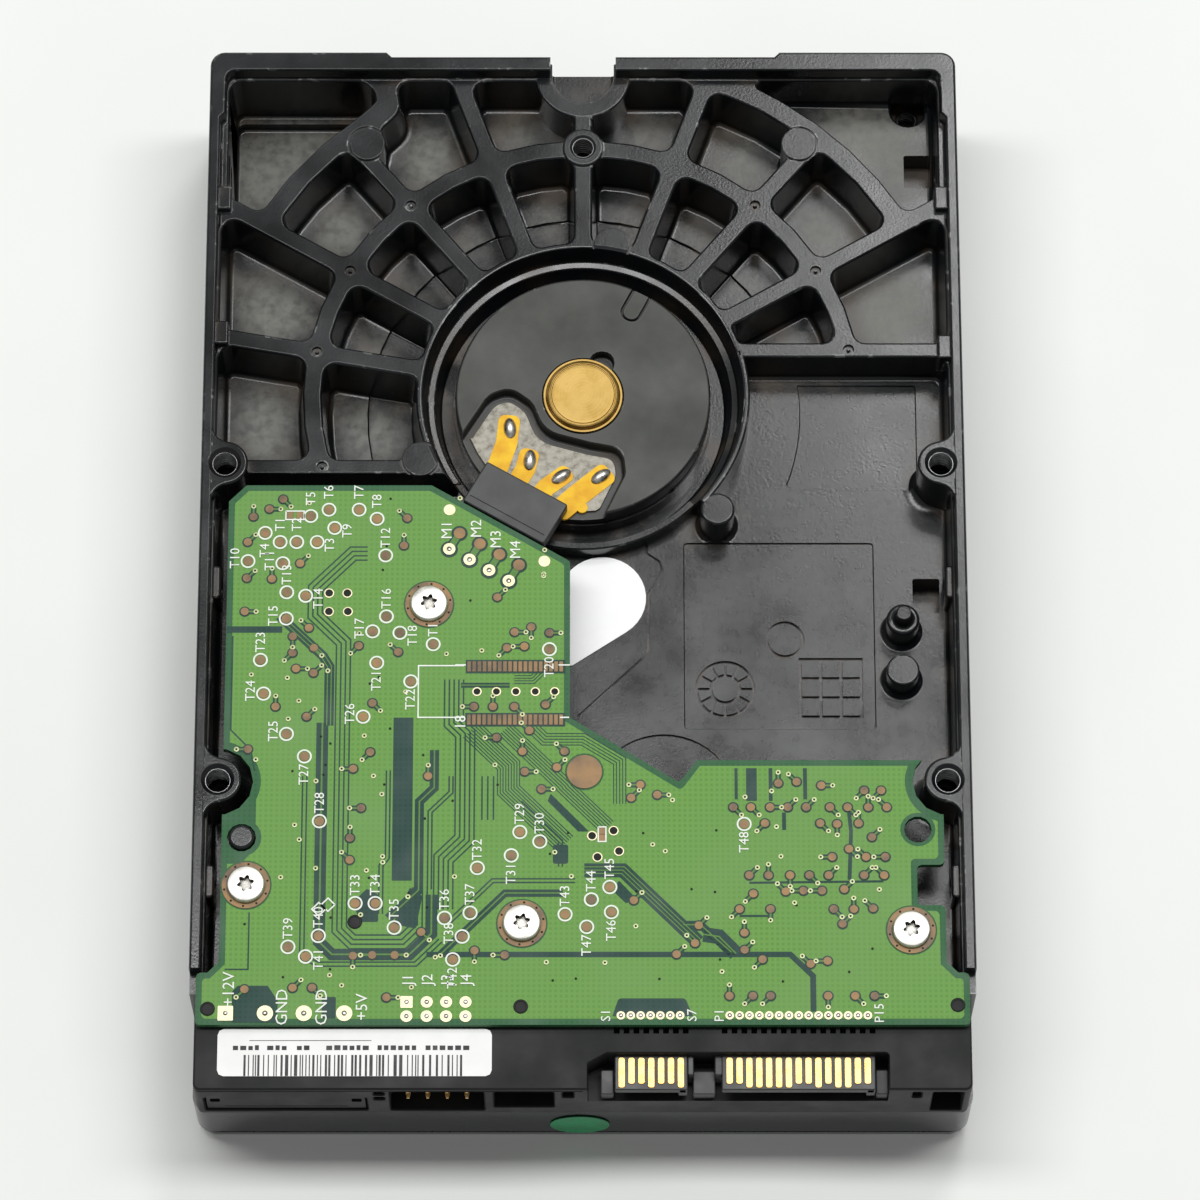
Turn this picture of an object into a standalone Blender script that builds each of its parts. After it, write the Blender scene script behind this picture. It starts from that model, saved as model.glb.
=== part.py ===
"""A 3.5-inch hard disk drive lying on its top cover, circuit-board side up.

Frame: X across the drive, Y from the connector end (-Y) to the far end (+Y), Z up. The origin is the middle
of the cover face that the drive rests on. All lengths are in metres.
"""

import math

import bmesh
import bpy
from mathutils import Matrix, Vector

for leftover in list(bpy.data.objects):
    bpy.data.objects.remove(leftover, do_unlink=True)

# Case
CASE_WIDTH = 0.1016
CASE_LENGTH = 0.14605
CASE_HEIGHT = 0.0261
CASE_CORNER = 0.002
SIDE_WALL = 0.0015
CORNER_WALL = 0.0022
CORNER_WALL_LENGTH = 0.007
FAR_WALL = 0.0021
FAR_STEP_DEPTH = 0.0007
FAR_STEP_WIDTH = 0.0522
BAND_STEP = 0.0003
CHAMBER_SIDE_WALL = 0.0026
CHAMBER_FAR_WALL = 0.0014
FLOOR_THICKNESS = 0.0026
DECK_THICKNESS = 0.0026
SEAT_GAP = 0.0003
CUT_REACH = 0.01
RUN_GAP = 0.0005

# Mounting holes, measured from the connector end, the sides and the board side
MOUNT_INSET = 0.003175
MOUNT_NEAR = 0.04128
MOUNT_FAR = 0.08573
MOUNT_BOSS_RADIUS = 0.0031
MOUNT_HOLE_RADIUS = 0.00165
MOUNT_SINK_RADIUS = 0.0021
MOUNT_SINK_DEPTH = 0.0005
MOUNT_HOLE_DEPTH = 0.0075
SIDE_HOLE_ENDS = (0.0285, 0.0701)
SIDE_HOLE_FAR_INSET = 0.01595
SIDE_HOLE_DROP = 0.00635
SIDE_HOLE_RADIUS = 0.0015
SIDE_PAD_WIDTH = 0.0046
SIDE_PAD_REACH = 0.0013
SIDE_PAD_DROP = 0.0035

# Ribs and pockets round the motor
RIB_DROP = 0.0026
SPOKE_ANGLE = 20.0
SPOKE_WIDTH = 0.0025
RIB_RING_RADIUS = 0.0363
RIB_RING_WIDTH = 0.0026
OUTER_RIB_WIDTH = 0.0028
OUTER_RIB_GAP = 0.0002
CROSS_RIB_WIDTH = 0.0021
RIGHT_RIB_RISE = 0.0066
LEFT_RIB_DROP = 0.0103
POCKET_CORNER = 0.0013
POCKET_DRAFT = 0.0003
WALL_LEDGE = 0.0003
POCKET_STEP_RADIUS = 0.0298
POCKET_STEP = 0.0008
CURVED_RIB_X = -0.0270
CURVED_RIB_WIDTH = 0.0028
CURVED_RIB_DROP = 0.0050
LEFT_CORNER_FLOOR = 0.0113
RIGHT_CORNER_FLOOR = 0.0165
CORNER_LEDGE_WIDTH = 0.0013
CORNER_LEDGE_RISE = 0.0017
PAD_RADIUS = 0.0024
PAD_RISE = 0.00015
NOTCH_RADIUS = 0.0042
NOTCH_WALL = 0.0023
NOTCH_CENTRE_INSET = 0.0022
NOTCH_DEPTH = 0.0065
RING_BOSS_RADIUS = 0.0028
RING_BOSS_HOLE = 0.00145
RING_BOSS_HOLE_DEPTH = 0.006

# Deck beside the board
RECESS_LEFT = 0.0286
RECESS_TOP_GAP = 0.0012
RECESS_LENGTH = 0.0158
RECESS_DEPTH = 0.0005
RECESS_RIGHT_GAP = 0.0065
PANEL_CENTRE = (0.0262, -0.0319)
PANEL_SIZE = (0.0255, 0.0265)
PANEL_DEPTH = 0.0003
PANEL_CORNER = 0.0012
DECK_POST = (0.0179, -0.0163, 0.0023)
STEPPED_PIN = (0.0424, -0.0314)
STEPPED_PIN_RADII = (0.0022, 0.00105)
STEPPED_PIN_HEIGHTS = (0.0050, 0.0074)
ROUND_BOSS = (0.0423, -0.0383)
ROUND_BOSS_RADIUS = 0.0022
ROUND_BOSS_HEIGHT = 0.0044
WINDOW_SIZE = (0.0035, 0.0049)
WINDOW_DEPTH = 0.003
CORNER_HOLE_RADIUS = 0.0024
CORNER_HOLE_INSET = (0.0061, 0.0043)
CORNER_HOLE_DEPTH = 0.004
SEAL_BEARING = -84.4
SEAL_WELL_OVERLAP = 0.0005
SEAL_RADIUS = 0.0058
SEAL_TAIL = (-0.0048, -0.0101)
STICKER_THICKNESS = 0.0001
STICKER_GAP = 0.0001

# Cover, gasket and cover screws
COVER_THICKNESS = 0.001
COVER_INSET = 0.0003
COVER_PANEL_MARGIN = 0.0095
COVER_PANEL_DEPTH = 0.0003
COVER_PANEL_CORNER = 0.006
BREATHER_RADIUS = 0.0006
GASKET_THICKNESS = 0.0006
COVER_SCREW_INSET = 0.0056
COVER_SCREW_FAR_INSET = 0.0047
COVER_SCREW_NEAR_INSET = 0.0135
COVER_SCREW_MIDDLE = 0.054
COVER_HEAD_RADIUS = 0.0028
COVER_HEAD_THICKNESS = 0.0008
COVER_DIMPLE_WALL = 0.0007
COVER_SHANK_RADIUS = 0.0012
COVER_SHANK_LENGTH = 0.0052
SCREW_HOLE_GAP = 0.0002

# Spindle
LOWER_ROOM = 0.0027
PLATTER_THICKNESS = 0.00127
PLATTER_EDGE_GAP = 0.0008
HUB_FLANGE_GAP = 0.0009
HUB_LEDGE = 0.0032
HUB_FLANGE_THICKNESS = 0.0014
HUB_SKIRT_WALL = 0.0011
SPACER_THICKNESS = 0.0022
CLAMP_INSET = 0.0002
CLAMP_THICKNESS = 0.0012
CLAMP_SCREW_RADIUS = 0.0026
CLAMP_SCREW_HEAD = 0.0007
CLAMP_SHANK_RADIUS = 0.001
CEILING_GAP = 0.0010
SHAFT_RADIUS = 0.002
MAGNET_WALL = 0.0012
MAGNET_INSET = 0.0006
SLEEVE_WALL = 0.0016
STATOR_TEETH = 9
WOUND_TOOTH_WIDTH = 0.0030
STATOR_SHOE_WIDTH = 0.0062
STATOR_SHOE_DEPTH = 0.0011
STATOR_CORE_WALL = 0.0012
STATOR_MARGIN = 0.0012
WINDING_BULGE = 0.0007

# Motor plate and what sits on it
PLATE_RADIUS = 0.0171
PLATE_DROP = 0.0003
PLATE_THICKNESS = 0.003
MOTOR_WELL_MARGIN = 0.0044
WELL_RIB_WIDTH = 0.0009
WELL_RIB_SPAN = (-44.0, 18.0)
WELL_LEDGE_MARGINS = (0.0030, 0.0013)
WELL_LEDGE_DROPS = (0.0039, 0.0047)
WELL_GROOVE_DROP = 0.0063
WELL_COLLAR_WALL = 0.0008
PLATE_RECESS_DEPTH = 0.0019
CAP_RADIUS = 0.00477
CAP_HEIGHT = 0.0007
CAP_RIM = 0.0004
CAP_SEAT_RADIUS = 0.0054
CAP_SEAT_DEPTH = 0.0006
PLATE_HOLE_RADIUS = 0.0017
PLATE_HOLE_ANGLE = 62.0
PLATE_SLOT_WIDTH = 0.0029
PLATE_SLOT_LENGTH = 0.0046
PLATE_SLOT_ANGLE = 62.0
PLATE_SLOT_DEPTH = 0.0006
FLEX_THICKNESS = 0.0002
FLEX_MARGIN = 0.0011
MOTOR_PLUG_SIZE = (0.0125, 0.0065, 0.0018)
MOTOR_PLUG_OVERHANG = 0.0009
MOTOR_PLUG_BEARING = 240.0
MOTOR_PLUG_ANGLE = -30.0
MOTOR_PLUG_CORNER = 0.0003
# Corners of the flex recess, round the spindle, as shares of the plate's radius
FLEX_WAVE = (
    (-0.96, -0.345, 0.035),
    (-0.74, 0.005, 0.175),
    (-0.573, 0.07, 0.175),
    (-0.398, -0.058, 0.175),
    (-0.304, -0.298, 0.235),
    (0.058, -0.398, 0.235),
    (0.304, -0.444, 0.117),
    (0.327, -0.655, 0.117),
    (0.187, -0.953, 0.035),
)
FLEX_OPEN_ANGLES = (-22.0, 40.0)

# Actuator
PIVOT_ANGLE = -79.05
PIVOT_PLATTER_GAP = 0.0017
PIVOT_POST_RADIUS = 0.002
PIVOT_SLEEVE_RADIUS = 0.0042
PIVOT_HUB_RADIUS = 0.0072
ARM_THICKNESS = 0.0008
ARM_ROOT_WIDTH = 0.0115
ARM_TIP_WIDTH = 0.0048
ARM_CORNER = 0.001
HEAD_SHORTFALL = 0.0053
HEAD_PARK_RADIUS = 0.0200
SUSPENSION_ROOT_WIDTH = 0.0042
SUSPENSION_TIP_WIDTH = 0.0012
SUSPENSION_THICKNESS = 0.0002
SUSPENSION_LENGTH = 0.0175
SUSPENSION_OVERLAP = 0.0045
SLIDER_SIZE = 0.0012
SWING_DEGREES = 28.0
COIL_HUB_GAP = 0.0053
COIL_HALF_ANGLE = 24.0
COIL_WIRE_SHARE = 0.16
COIL_THICKNESS = 0.002
COIL_FORK_WIDTH = 0.0016
YOKE_THICKNESS = 0.0015
YOKE_COVER_GAP = 0.0007
YOKE_SIDE_ANGLE = 16.0
YOKE_CLEARANCE = 0.0012
MAGNET_THICKNESS = 0.0011
MAGNET_MARGIN = 0.0012
YOKE_POST_RADIUS = 0.0016
YOKE_HEADROOM = 0.0034
STOP_RADIUS = 0.001
STOP_FREE_ANGLE = 1.0

# Bay for the actuator
BAY_LEFT_INSET = 0.0212
BAY_RIGHT_INSET = 0.0108
BAY_NEAR_WALL = 0.0045
BAY_CORNER = 0.004

# Circuit board
BOARD_THICKNESS = 0.0011
BOARD_DROP = 0.0011
BOARD_SIDE_GAP = 0.0038
BOARD_TAIL_GAP = 0.0009
BOARD_TAIL_LENGTH = 0.0070
BOARD_NEAR_INSET = 0.0083
BOARD_BOSS_GAPS = (0.0015, 0.0008)
BOARD_TOP_DROP = 0.0136
BOARD_WELL_GAP = 0.0004
BOARD_DIAGONAL_NORMAL = 239.6
BOARD_INNER_X = -0.0017
BOARD_STEP_END = 0.05015
BOARD_DIP = (0.0126, 0.04115)
BOARD_SHELF_END = 0.04425
BOARD_EDGE_CORNER = 0.0006
BOARD_SHELF_LEFT = 0.0149
BOARD_CORNER_CUT = 0.0023
BOARD_NOTCH = (0.0065, 0.0055)
BOARD_NOTCH_END = 0.0244
BOARD_SCREW_FAR = (-0.0203, -0.0305)
BOARD_SCREW_LEFT = (0.0071, 0.0271)
BOARD_SCREW_MIDDLE = (-0.0079, 0.0219)
BOARD_SCREW_RIGHT = (0.0083, 0.0210)
BOARD_SCREW_HEAD = 0.00235
BOARD_SCREW_HEAD_HEIGHT = 0.0007
BOARD_SCREW_SHANK = 0.0013
BOARD_SCREW_LENGTH = 0.0052
BOARD_POST_RADIUS = 0.0027
SIX_LOBE_RADIUS = 0.0011
SIX_LOBE_DEPTH = 0.0006
BOARD_PIN_INSET = (0.0064, 0.0336)
BOARD_PIN_RADIUS = 0.0017
BOARD_HOLE_INSET = (0.0072, 0.0347)
BOARD_HOLE_RADIUS = 0.0018
CHIP_THICKNESS = 0.0012
CHIP_LEAD = 0.0009
CONTROLLER_INSET = (0.0428, 0.0340)
CONTROLLER_SIZE = (0.0140, 0.0140)
MEMORY_INSET = (0.0238, 0.0270)
MEMORY_SIZE = (0.0180, 0.0100)
DRIVER_PLACE = (-0.0310, -0.0364)
DRIVER_SIZE = (0.0100, 0.0100)
FLASH_PLACE = (-0.0270, 0.0330)
FLASH_SIZE = (0.0052, 0.0060)
HEAD_PLUG_SIZE = (0.0128, 0.0076)
HEAD_PLUG_PLACE = (-0.0089, -0.0426)
HEAD_PLUG_FLANGE = 0.0012

# Interface connector
PLUG_SIDE_INSET = 0.0007
PLUG_LENGTH = 0.0125
PLUG_SEAM = 0.0125
PLUG_WALL = 0.0011
POWER_SOCKET_INSET = 0.0012
POWER_SOCKET_WIDTH = 0.0210
POWER_PIN_PITCH = 0.00508
POWER_PIN_RADIUS = 0.00105
POWER_PIN_LENGTH = 0.0042
SOCKET_DEPTH = 0.0090
JUMPER_GAP = 0.00305
JUMPER_SOCKET_WIDTH = 0.0121
JUMPER_PITCH = 0.00254
JUMPER_PIN = 0.00064
JUMPER_COLUMNS = 4
SPARE_SOCKET_GAPS = (0.0013, 0.00475)
END_SOCKET_INSET = 0.0010
END_SOCKET_WIDTH = 0.0040
SATA_LEFT = 0.0010
SATA_RIGHT = 0.0394
SATA_DEPTH = 0.0050
SATA_BEVEL = 0.0021
TONGUE_DROP = 0.0014
TONGUE_THICKNESS = 0.0012
TONGUE_REACH = 0.0045
TONGUE_SPANS = ((0.0042, 0.0134), (0.0180, 0.0376))
TONGUE_KEY = 0.0012
SATA_PITCH = 0.00127
SATA_DATA = (0.0050, 7)
SATA_POWER = (0.0189, 15)
CONTACT_WIDTH = 0.0009
CONTACT_RISE = 0.00012
LABEL_INSET = 0.0031
LABEL_SIZE = (0.0353, 0.0063)
LABEL_CORNER = 0.0008
DOT_X = -0.0004
DOT_RADIUS = 0.0039
DOT_HEIGHT = 0.0064

# Filters in the chamber
BREATHER_FILTER_SIZE = (0.010, 0.008, 0.0040)
RECIRCULATION_FILTER_SIZE = (0.0022, 0.0060, 0.0055)
FILTER_ANGLE = 243.0
FILTER_CORNER = 0.001

ROUND_STEPS = 14
HOLE_STEPS = 10
RING_STEPS = 36
HIDDEN_STEPS = 22
FILLET_STEPS = 2

# Levels and places that follow from the driving dimensions
HALF_WIDTH = CASE_WIDTH / 2
HALF_LENGTH = CASE_LENGTH / 2
NEAR_END = -HALF_LENGTH
SIDE_INNER = HALF_WIDTH - SIDE_WALL
FAR_INNER = HALF_LENGTH - FAR_STEP_DEPTH - FAR_WALL
CHAMBER_RADIUS = HALF_WIDTH - CHAMBER_SIDE_WALL
SPINDLE_X = 0.0
SPINDLE_Y = HALF_LENGTH - CHAMBER_FAR_WALL - CHAMBER_RADIUS
SPINDLE = Vector((SPINDLE_X, SPINDLE_Y))
PLATTER_RADIUS = CHAMBER_RADIUS - PLATTER_EDGE_GAP
PIVOT_DISTANCE = PLATTER_RADIUS + PIVOT_PLATTER_GAP + PIVOT_HUB_RADIUS
PIVOT_OFFSET = Vector((PIVOT_DISTANCE, 0.0)) @ Matrix.Rotation(-math.radians(PIVOT_ANGLE), 2)
PIVOT = SPINDLE + PIVOT_OFFSET
HEAD_REACH = PIVOT_DISTANCE - HEAD_SHORTFALL
ARM_LENGTH = HEAD_REACH - SUSPENSION_LENGTH
COIL_INNER = PIVOT_HUB_RADIUS + COIL_HUB_GAP
BASE_BOTTOM = COVER_THICKNESS + GASKET_THICKNESS + 2 * SEAT_GAP
RIB_TOP = CASE_HEIGHT - RIB_DROP
PLATTER_LOW_1 = COVER_THICKNESS + LOWER_ROOM
SPACER_LOW = PLATTER_LOW_1 + PLATTER_THICKNESS + SEAT_GAP
PLATTER_LOW_2 = SPACER_LOW + SPACER_THICKNESS + SEAT_GAP
FLANGE_LOW = PLATTER_LOW_2 + PLATTER_THICKNESS + SEAT_GAP
FLANGE_TOP = FLANGE_LOW + HUB_FLANGE_THICKNESS
CHAMBER_CEILING = FLANGE_TOP + CEILING_GAP
POCKET_FLOOR = CHAMBER_CEILING + FLOOR_THICKNESS
YOKE_LOW = COVER_THICKNESS + YOKE_COVER_GAP
ARM_MIDDLE = (SPACER_LOW + PLATTER_LOW_2 - SEAT_GAP) / 2
YOKE_TOP = 2 * ARM_MIDDLE - YOKE_LOW
BAY_CEILING = YOKE_TOP + YOKE_HEADROOM
DECK = BAY_CEILING + DECK_THICKNESS
PLATE_TOP = RIB_TOP - PLATE_DROP
PLATE_BOTTOM = PLATE_TOP - PLATE_THICKNESS
BOARD_TOP = CASE_HEIGHT - BOARD_DROP
BOARD_BOTTOM = BOARD_TOP - BOARD_THICKNESS
BOARD_NEAR = NEAR_END + BOARD_NEAR_INSET
MOUNT_X = HALF_WIDTH - MOUNT_INSET
MOUNT_YS = (NEAR_END + MOUNT_NEAR, NEAR_END + MOUNT_FAR)
SIDE_HOLE_YS = (*(NEAR_END + end for end in SIDE_HOLE_ENDS), HALF_LENGTH - SIDE_HOLE_FAR_INSET)
OUTER_RIB_INNER = CHAMBER_RADIUS + OUTER_RIB_GAP
OUTER_RIB_OUTER = OUTER_RIB_INNER + OUTER_RIB_WIDTH
RING_INNER = RIB_RING_RADIUS - RIB_RING_WIDTH / 2
RING_OUTER = RIB_RING_RADIUS + RIB_RING_WIDTH / 2
MOTOR_WELL_RADIUS = PLATE_RADIUS + MOTOR_WELL_MARGIN
WELL_RIB_OUTER = MOTOR_WELL_RADIUS + WELL_RIB_WIDTH
WELL_LEDGE_RADII = tuple(PLATE_RADIUS + margin for margin in WELL_LEDGE_MARGINS)
MOTOR_BORE_RADIUS = PLATE_RADIUS + SEAT_GAP - WELL_COLLAR_WALL
HUB_FLANGE_RADIUS = MOTOR_BORE_RADIUS - HUB_FLANGE_GAP
HUB_RADIUS = HUB_FLANGE_RADIUS - HUB_LEDGE
SPACER_RADIUS = HUB_FLANGE_RADIUS - CLAMP_INSET
CLAMP_RADIUS = SPACER_RADIUS
LEFT_RIB_Y = SPINDLE_Y - LEFT_RIB_DROP
RIGHT_RIB_Y = SPINDLE_Y + RIGHT_RIB_RISE
PLUG_TOP = BOARD_BOTTOM - SEAT_GAP
PLUG_BACK = NEAR_END + PLUG_LENGTH
PLUG_HALF = HALF_WIDTH - PLUG_SIDE_INSET
GASKET_WIDTH = (CHAMBER_FAR_WALL - FAR_STEP_DEPTH) * 0.8
OVER_RIBS = RIB_TOP + WALL_LEDGE
YOKE_HALF_ANGLE = SWING_DEGREES / 2 + COIL_HALF_ANGLE + YOKE_SIDE_ANGLE
ABOVE = CASE_HEIGHT + CUT_REACH
BELOW = -CUT_REACH


# Outlines: lists of (x, y, fillet radius) corners, counter-clockwise
def polar(radius, degrees, centre=SPINDLE):
    """Point at a radius and an angle round a centre."""
    angle = math.radians(degrees)
    return (centre[0] + radius * math.cos(angle), centre[1] + radius * math.sin(angle))


def arc(radius, start, end, steps, centre=SPINDLE):
    """Sharp corners along an arc, with both ends."""
    return [
        (*polar(radius, start + (end - start) * i / steps, centre), 0.0)
        for i in range(steps + 1)
    ]


def angle_of(point, centre=SPINDLE):
    """Angle of a point round a centre, in degrees from 0 to 360."""
    return math.degrees(math.atan2(point[1] - centre[1], point[0] - centre[0])) % 360


def rectangle(left, near, right, far, radius=0.0):
    """Corners of an upright rectangle."""
    return [(left, near, radius), (right, near, radius), (right, far, radius), (left, far, radius)]


def circle(centre, radius, steps=ROUND_STEPS):
    """Corners of a many-sided circle."""
    return arc(radius, 0, 360 - 360 / steps, steps - 1, centre)


def turned_box(centre, size, degrees, radius=0.0):
    """Corners of a rectangle turned about its centre."""
    along = Vector(polar(1, degrees, (0, 0)))
    across = Vector((-along.y, along.x))
    middle = Vector(centre)
    corners = []
    for u, v in ((-1, -1), (1, -1), (1, 1), (-1, 1)):
        point = middle + along * (u * size[0] / 2) + across * (v * size[1] / 2)
        corners.append((point.x, point.y, radius))
    return corners


def drawn(corners, inset=0.0, steps=FILLET_STEPS):
    """Points round an outline moved in by an inset, with its filleted corners as arcs."""
    count = len(corners)
    flat = [Vector(corner[:2]) for corner in corners]
    moved = []
    for i, here in enumerate(flat):
        a = (here - flat[i - 1]).normalized()
        b = (flat[(i + 1) % count] - here).normalized()
        normals = Vector((-a.y - b.y, a.x + b.x))
        moved.append(here + normals * (inset / (1 + a.dot(b))))
    points = []
    for i, here in enumerate(moved):
        radius = corners[i][2]
        before, after = here - moved[i - 1], moved[(i + 1) % count] - here
        a, b = before.normalized(), after.normalized()
        turn = math.atan2(a.x * b.y - a.y * b.x, a.dot(b))
        if radius <= 0 or abs(turn) < math.radians(4):
            points.append(here)
            continue
        room = 0.45 * min(before.length, after.length)
        reach = min(abs(radius * math.tan(turn / 2)), room)
        bend = reach / math.tan(abs(turn) / 2)
        side = math.copysign(1, turn)
        start = here - a * reach
        centre = start + Vector((-a.y, a.x)) * bend * side
        spoke = start - centre
        for k in range(steps + 1):
            swing = turn * k / steps
            cos, sin = math.cos(swing), math.sin(swing)
            points.append(centre + Vector((spoke.x * cos - spoke.y * sin, spoke.x * sin + spoke.y * cos)))
    return points


# Solids
def material(name, colour, roughness, metallic):
    """Principled material of one colour."""
    made = bpy.data.materials.new(name)
    made.use_nodes = True
    shader = made.node_tree.nodes["Principled BSDF"]
    shader.inputs["Base Color"].default_value = (*colour, 1.0)
    shader.inputs["Roughness"].default_value = roughness
    shader.inputs["Metallic"].default_value = metallic
    made.diffuse_color = (*colour, 1.0)
    return made


PAINT = material("black_painted_casting", (0.035, 0.036, 0.038), 0.55, 0.1)
STEEL = material("zinc_plated_steel", (0.62, 0.62, 0.60), 0.35, 1.0)
COVER_STEEL = material("cover_steel", (0.42, 0.43, 0.44), 0.45, 0.9)
RUBBER = material("black_rubber", (0.02, 0.02, 0.02), 0.8, 0.0)
LAMINATE = material("green_board_laminate", (0.10, 0.32, 0.08), 0.45, 0.0)
PLASTIC = material("black_moulded_plastic", (0.03, 0.03, 0.032), 0.6, 0.0)
PAPER = material("white_label_paper", (0.85, 0.85, 0.83), 0.7, 0.0)
GREEN_PAPER = material("green_sticker_paper", (0.08, 0.45, 0.16), 0.6, 0.0)
GREY_PAINT = material("dark_motor_plate", (0.06, 0.062, 0.065), 0.5, 0.4)
BRASS = material("brass", (0.80, 0.56, 0.22), 0.3, 1.0)
POLYIMIDE = material("orange_polyimide", (0.80, 0.36, 0.03), 0.45, 0.0)
ALUMINIUM = material("machined_aluminium", (0.70, 0.71, 0.72), 0.35, 1.0)
MIRROR_METAL = material("sputtered_platter", (0.75, 0.75, 0.76), 0.06, 1.0)
COPPER = material("enamelled_copper", (0.62, 0.26, 0.12), 0.4, 0.9)
FERRITE = material("nickel_plated_magnet", (0.50, 0.50, 0.49), 0.3, 1.0)
EPOXY = material("chip_epoxy", (0.025, 0.025, 0.027), 0.5, 0.0)
FELT = material("white_filter_felt", (0.75, 0.75, 0.72), 0.9, 0.0)


def object_of(name, shape, finish, parent=None):
    """Scene object from a closed bmesh, with its faces turned outwards."""
    bmesh.ops.recalc_face_normals(shape, faces=shape.faces)
    mesh = bpy.data.meshes.new(name)
    shape.to_mesh(mesh)
    shape.free()
    made = bpy.data.objects.new(name, mesh)
    bpy.context.scene.collection.objects.link(made)
    made.parent = parent
    if finish is not None:
        mesh.materials.append(finish)
        mesh.shade_smooth()
        mesh.set_sharp_from_angle(angle=math.radians(30))
    return made


def loft(rings):
    """Closed bmesh through rings of as many points each, from (points, height) pairs."""
    shape = bmesh.new()
    made = [[shape.verts.new((p[0], p[1], height)) for p in points] for points, height in rings]
    for low, high in zip(made, made[1:]):
        for i in range(len(low)):
            shape.faces.new((low[i - 1], low[i], high[i], high[i - 1]))
    shape.faces.new(list(reversed(made[0])))
    shape.faces.new(made[-1])
    return shape


def prism(corners, low, high, draft=0.0):
    """Upright prism of an outline, drawn in by the draft at its low end."""
    return loft([(drawn(corners, draft), low), (drawn(corners), high)])


def rod(centre, radius, low, high, steps=ROUND_STEPS):
    """Upright cylinder."""
    return prism(circle(centre, radius, steps), low, high)


def lathe(profile, centre=(0.0, 0.0), steps=HIDDEN_STEPS):
    """Closed (radius, height) profile turned about an upright axis."""
    shape = bmesh.new()
    rings = []
    for radius, height in profile:
        if radius <= 0:
            rings.append([shape.verts.new((centre[0], centre[1], height))])
            continue
        angles = [2 * math.pi * i / steps for i in range(steps)]
        rings.append([
            shape.verts.new((centre[0] + radius * math.cos(a), centre[1] + radius * math.sin(a), height))
            for a in angles
        ])
    for k, ring in enumerate(rings):
        other = rings[(k + 1) % len(rings)]
        if len(ring) == 1 and len(other) == 1:
            continue
        for i in range(steps):
            quad = [ring[i - 1], ring[i], other[i], other[i - 1]] if len(ring) > 1 and len(other) > 1 else (
                [ring[0], other[i], other[i - 1]] if len(ring) == 1 else [ring[i - 1], ring[i], other[0]]
            )
            shape.faces.new(quad)
    return shape


def crosswise(centre, radius, start, end, axis, steps=ROUND_STEPS):
    """Cylinder along X or Y, centred at (the other of x and y, height)."""
    shape = rod(centre, radius, start, end, steps)
    for vert in shape.verts:
        a, b, along = vert.co
        vert.co = (along, a, b) if axis == "X" else (a, along, b)
    return shape


def box(left, near, low, right, far, high):
    """Upright box."""
    return prism(rectangle(left, near, right, far), low, high)


def shaped(target, operation, label, shapes):
    """Boolean of one object with several helper shapes, which stay hidden."""
    group = bpy.data.collections.new(f"{target.name}_{label}")
    bpy.context.scene.collection.children.link(group)
    for i, shape in enumerate(shapes):
        helper = object_of(f"{target.name}_{label}_{i}", shape, None)
        bpy.context.scene.collection.objects.unlink(helper)
        group.objects.link(helper)
        helper.parent = target.parent
        helper.hide_render = True
        helper.display_type = "WIRE"
    change = target.modifiers.new(label, "BOOLEAN")
    change.operation = operation
    change.operand_type = "COLLECTION"
    change.collection = group
    change.solver = "EXACT"
    return target


def axis_empty(name, place):
    """Empty on a joint axis, which the moving pieces hang on."""
    made = bpy.data.objects.new(name, None)
    made.location = (place[0], place[1], 0.0)
    bpy.context.scene.collection.objects.link(made)
    return made


# Rib fan
def spoke_line(degrees, side):
    """Foot and direction of one edge of a spoke; side is 1 for the edge at larger angles."""
    along = Vector(polar(1, degrees, (0, 0)))
    across = Vector((-along.y, along.x))
    return SPINDLE + across * (side * SPOKE_WIDTH / 2), along


def spoke_at_radius(degrees, side, radius):
    """Point of a spoke's edge at a distance from the spindle."""
    foot, along = spoke_line(degrees, side)
    point = foot + along * math.sqrt(radius**2 - (SPOKE_WIDTH / 2) ** 2)
    return point.x, point.y


def spoke_at_x(degrees, side, x):
    """Point of a spoke's edge at a distance across."""
    foot, along = spoke_line(degrees, side)
    point = foot + along * ((x - foot.x) / along.x)
    return point.x, point.y


def spoke_at_y(degrees, side, y):
    """Point of a spoke's edge at a distance along the drive."""
    foot, along = spoke_line(degrees, side)
    point = foot + along * ((y - foot.y) / along.y)
    return point.x, point.y


def circle_at_y(radius, y, side):
    """Point of a circle round the spindle at a distance along the drive, on the left (-1) or right (1)."""
    return SPINDLE.x + side * math.sqrt(radius**2 - (y - SPINDLE.y) ** 2), y


def between(radius, start, end, steps=3):
    """Arc corners round the spindle between two points, with filleted ends."""
    first, last = angle_of(start), angle_of(end)
    inner = arc(radius, first, last, steps)[1:-1]
    return [(*start, POCKET_CORNER), *inner, (*end, POCKET_CORNER)]


def sector_pocket(first, last, inner, outer):
    """Pocket between two spokes and two rings."""
    return between(outer, spoke_at_radius(first, 1, outer), spoke_at_radius(last, -1, outer)) + between(
        inner, spoke_at_radius(last, -1, inner), spoke_at_radius(first, 1, inner)
    )


def spoke(number):
    """Angle of a spoke counted from the middle one towards the left."""
    return 90 + number * SPOKE_ANGLE


def filleted(*points):
    """Corners with the pocket's fillet."""
    return [(*point, POCKET_CORNER) for point in points]


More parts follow.
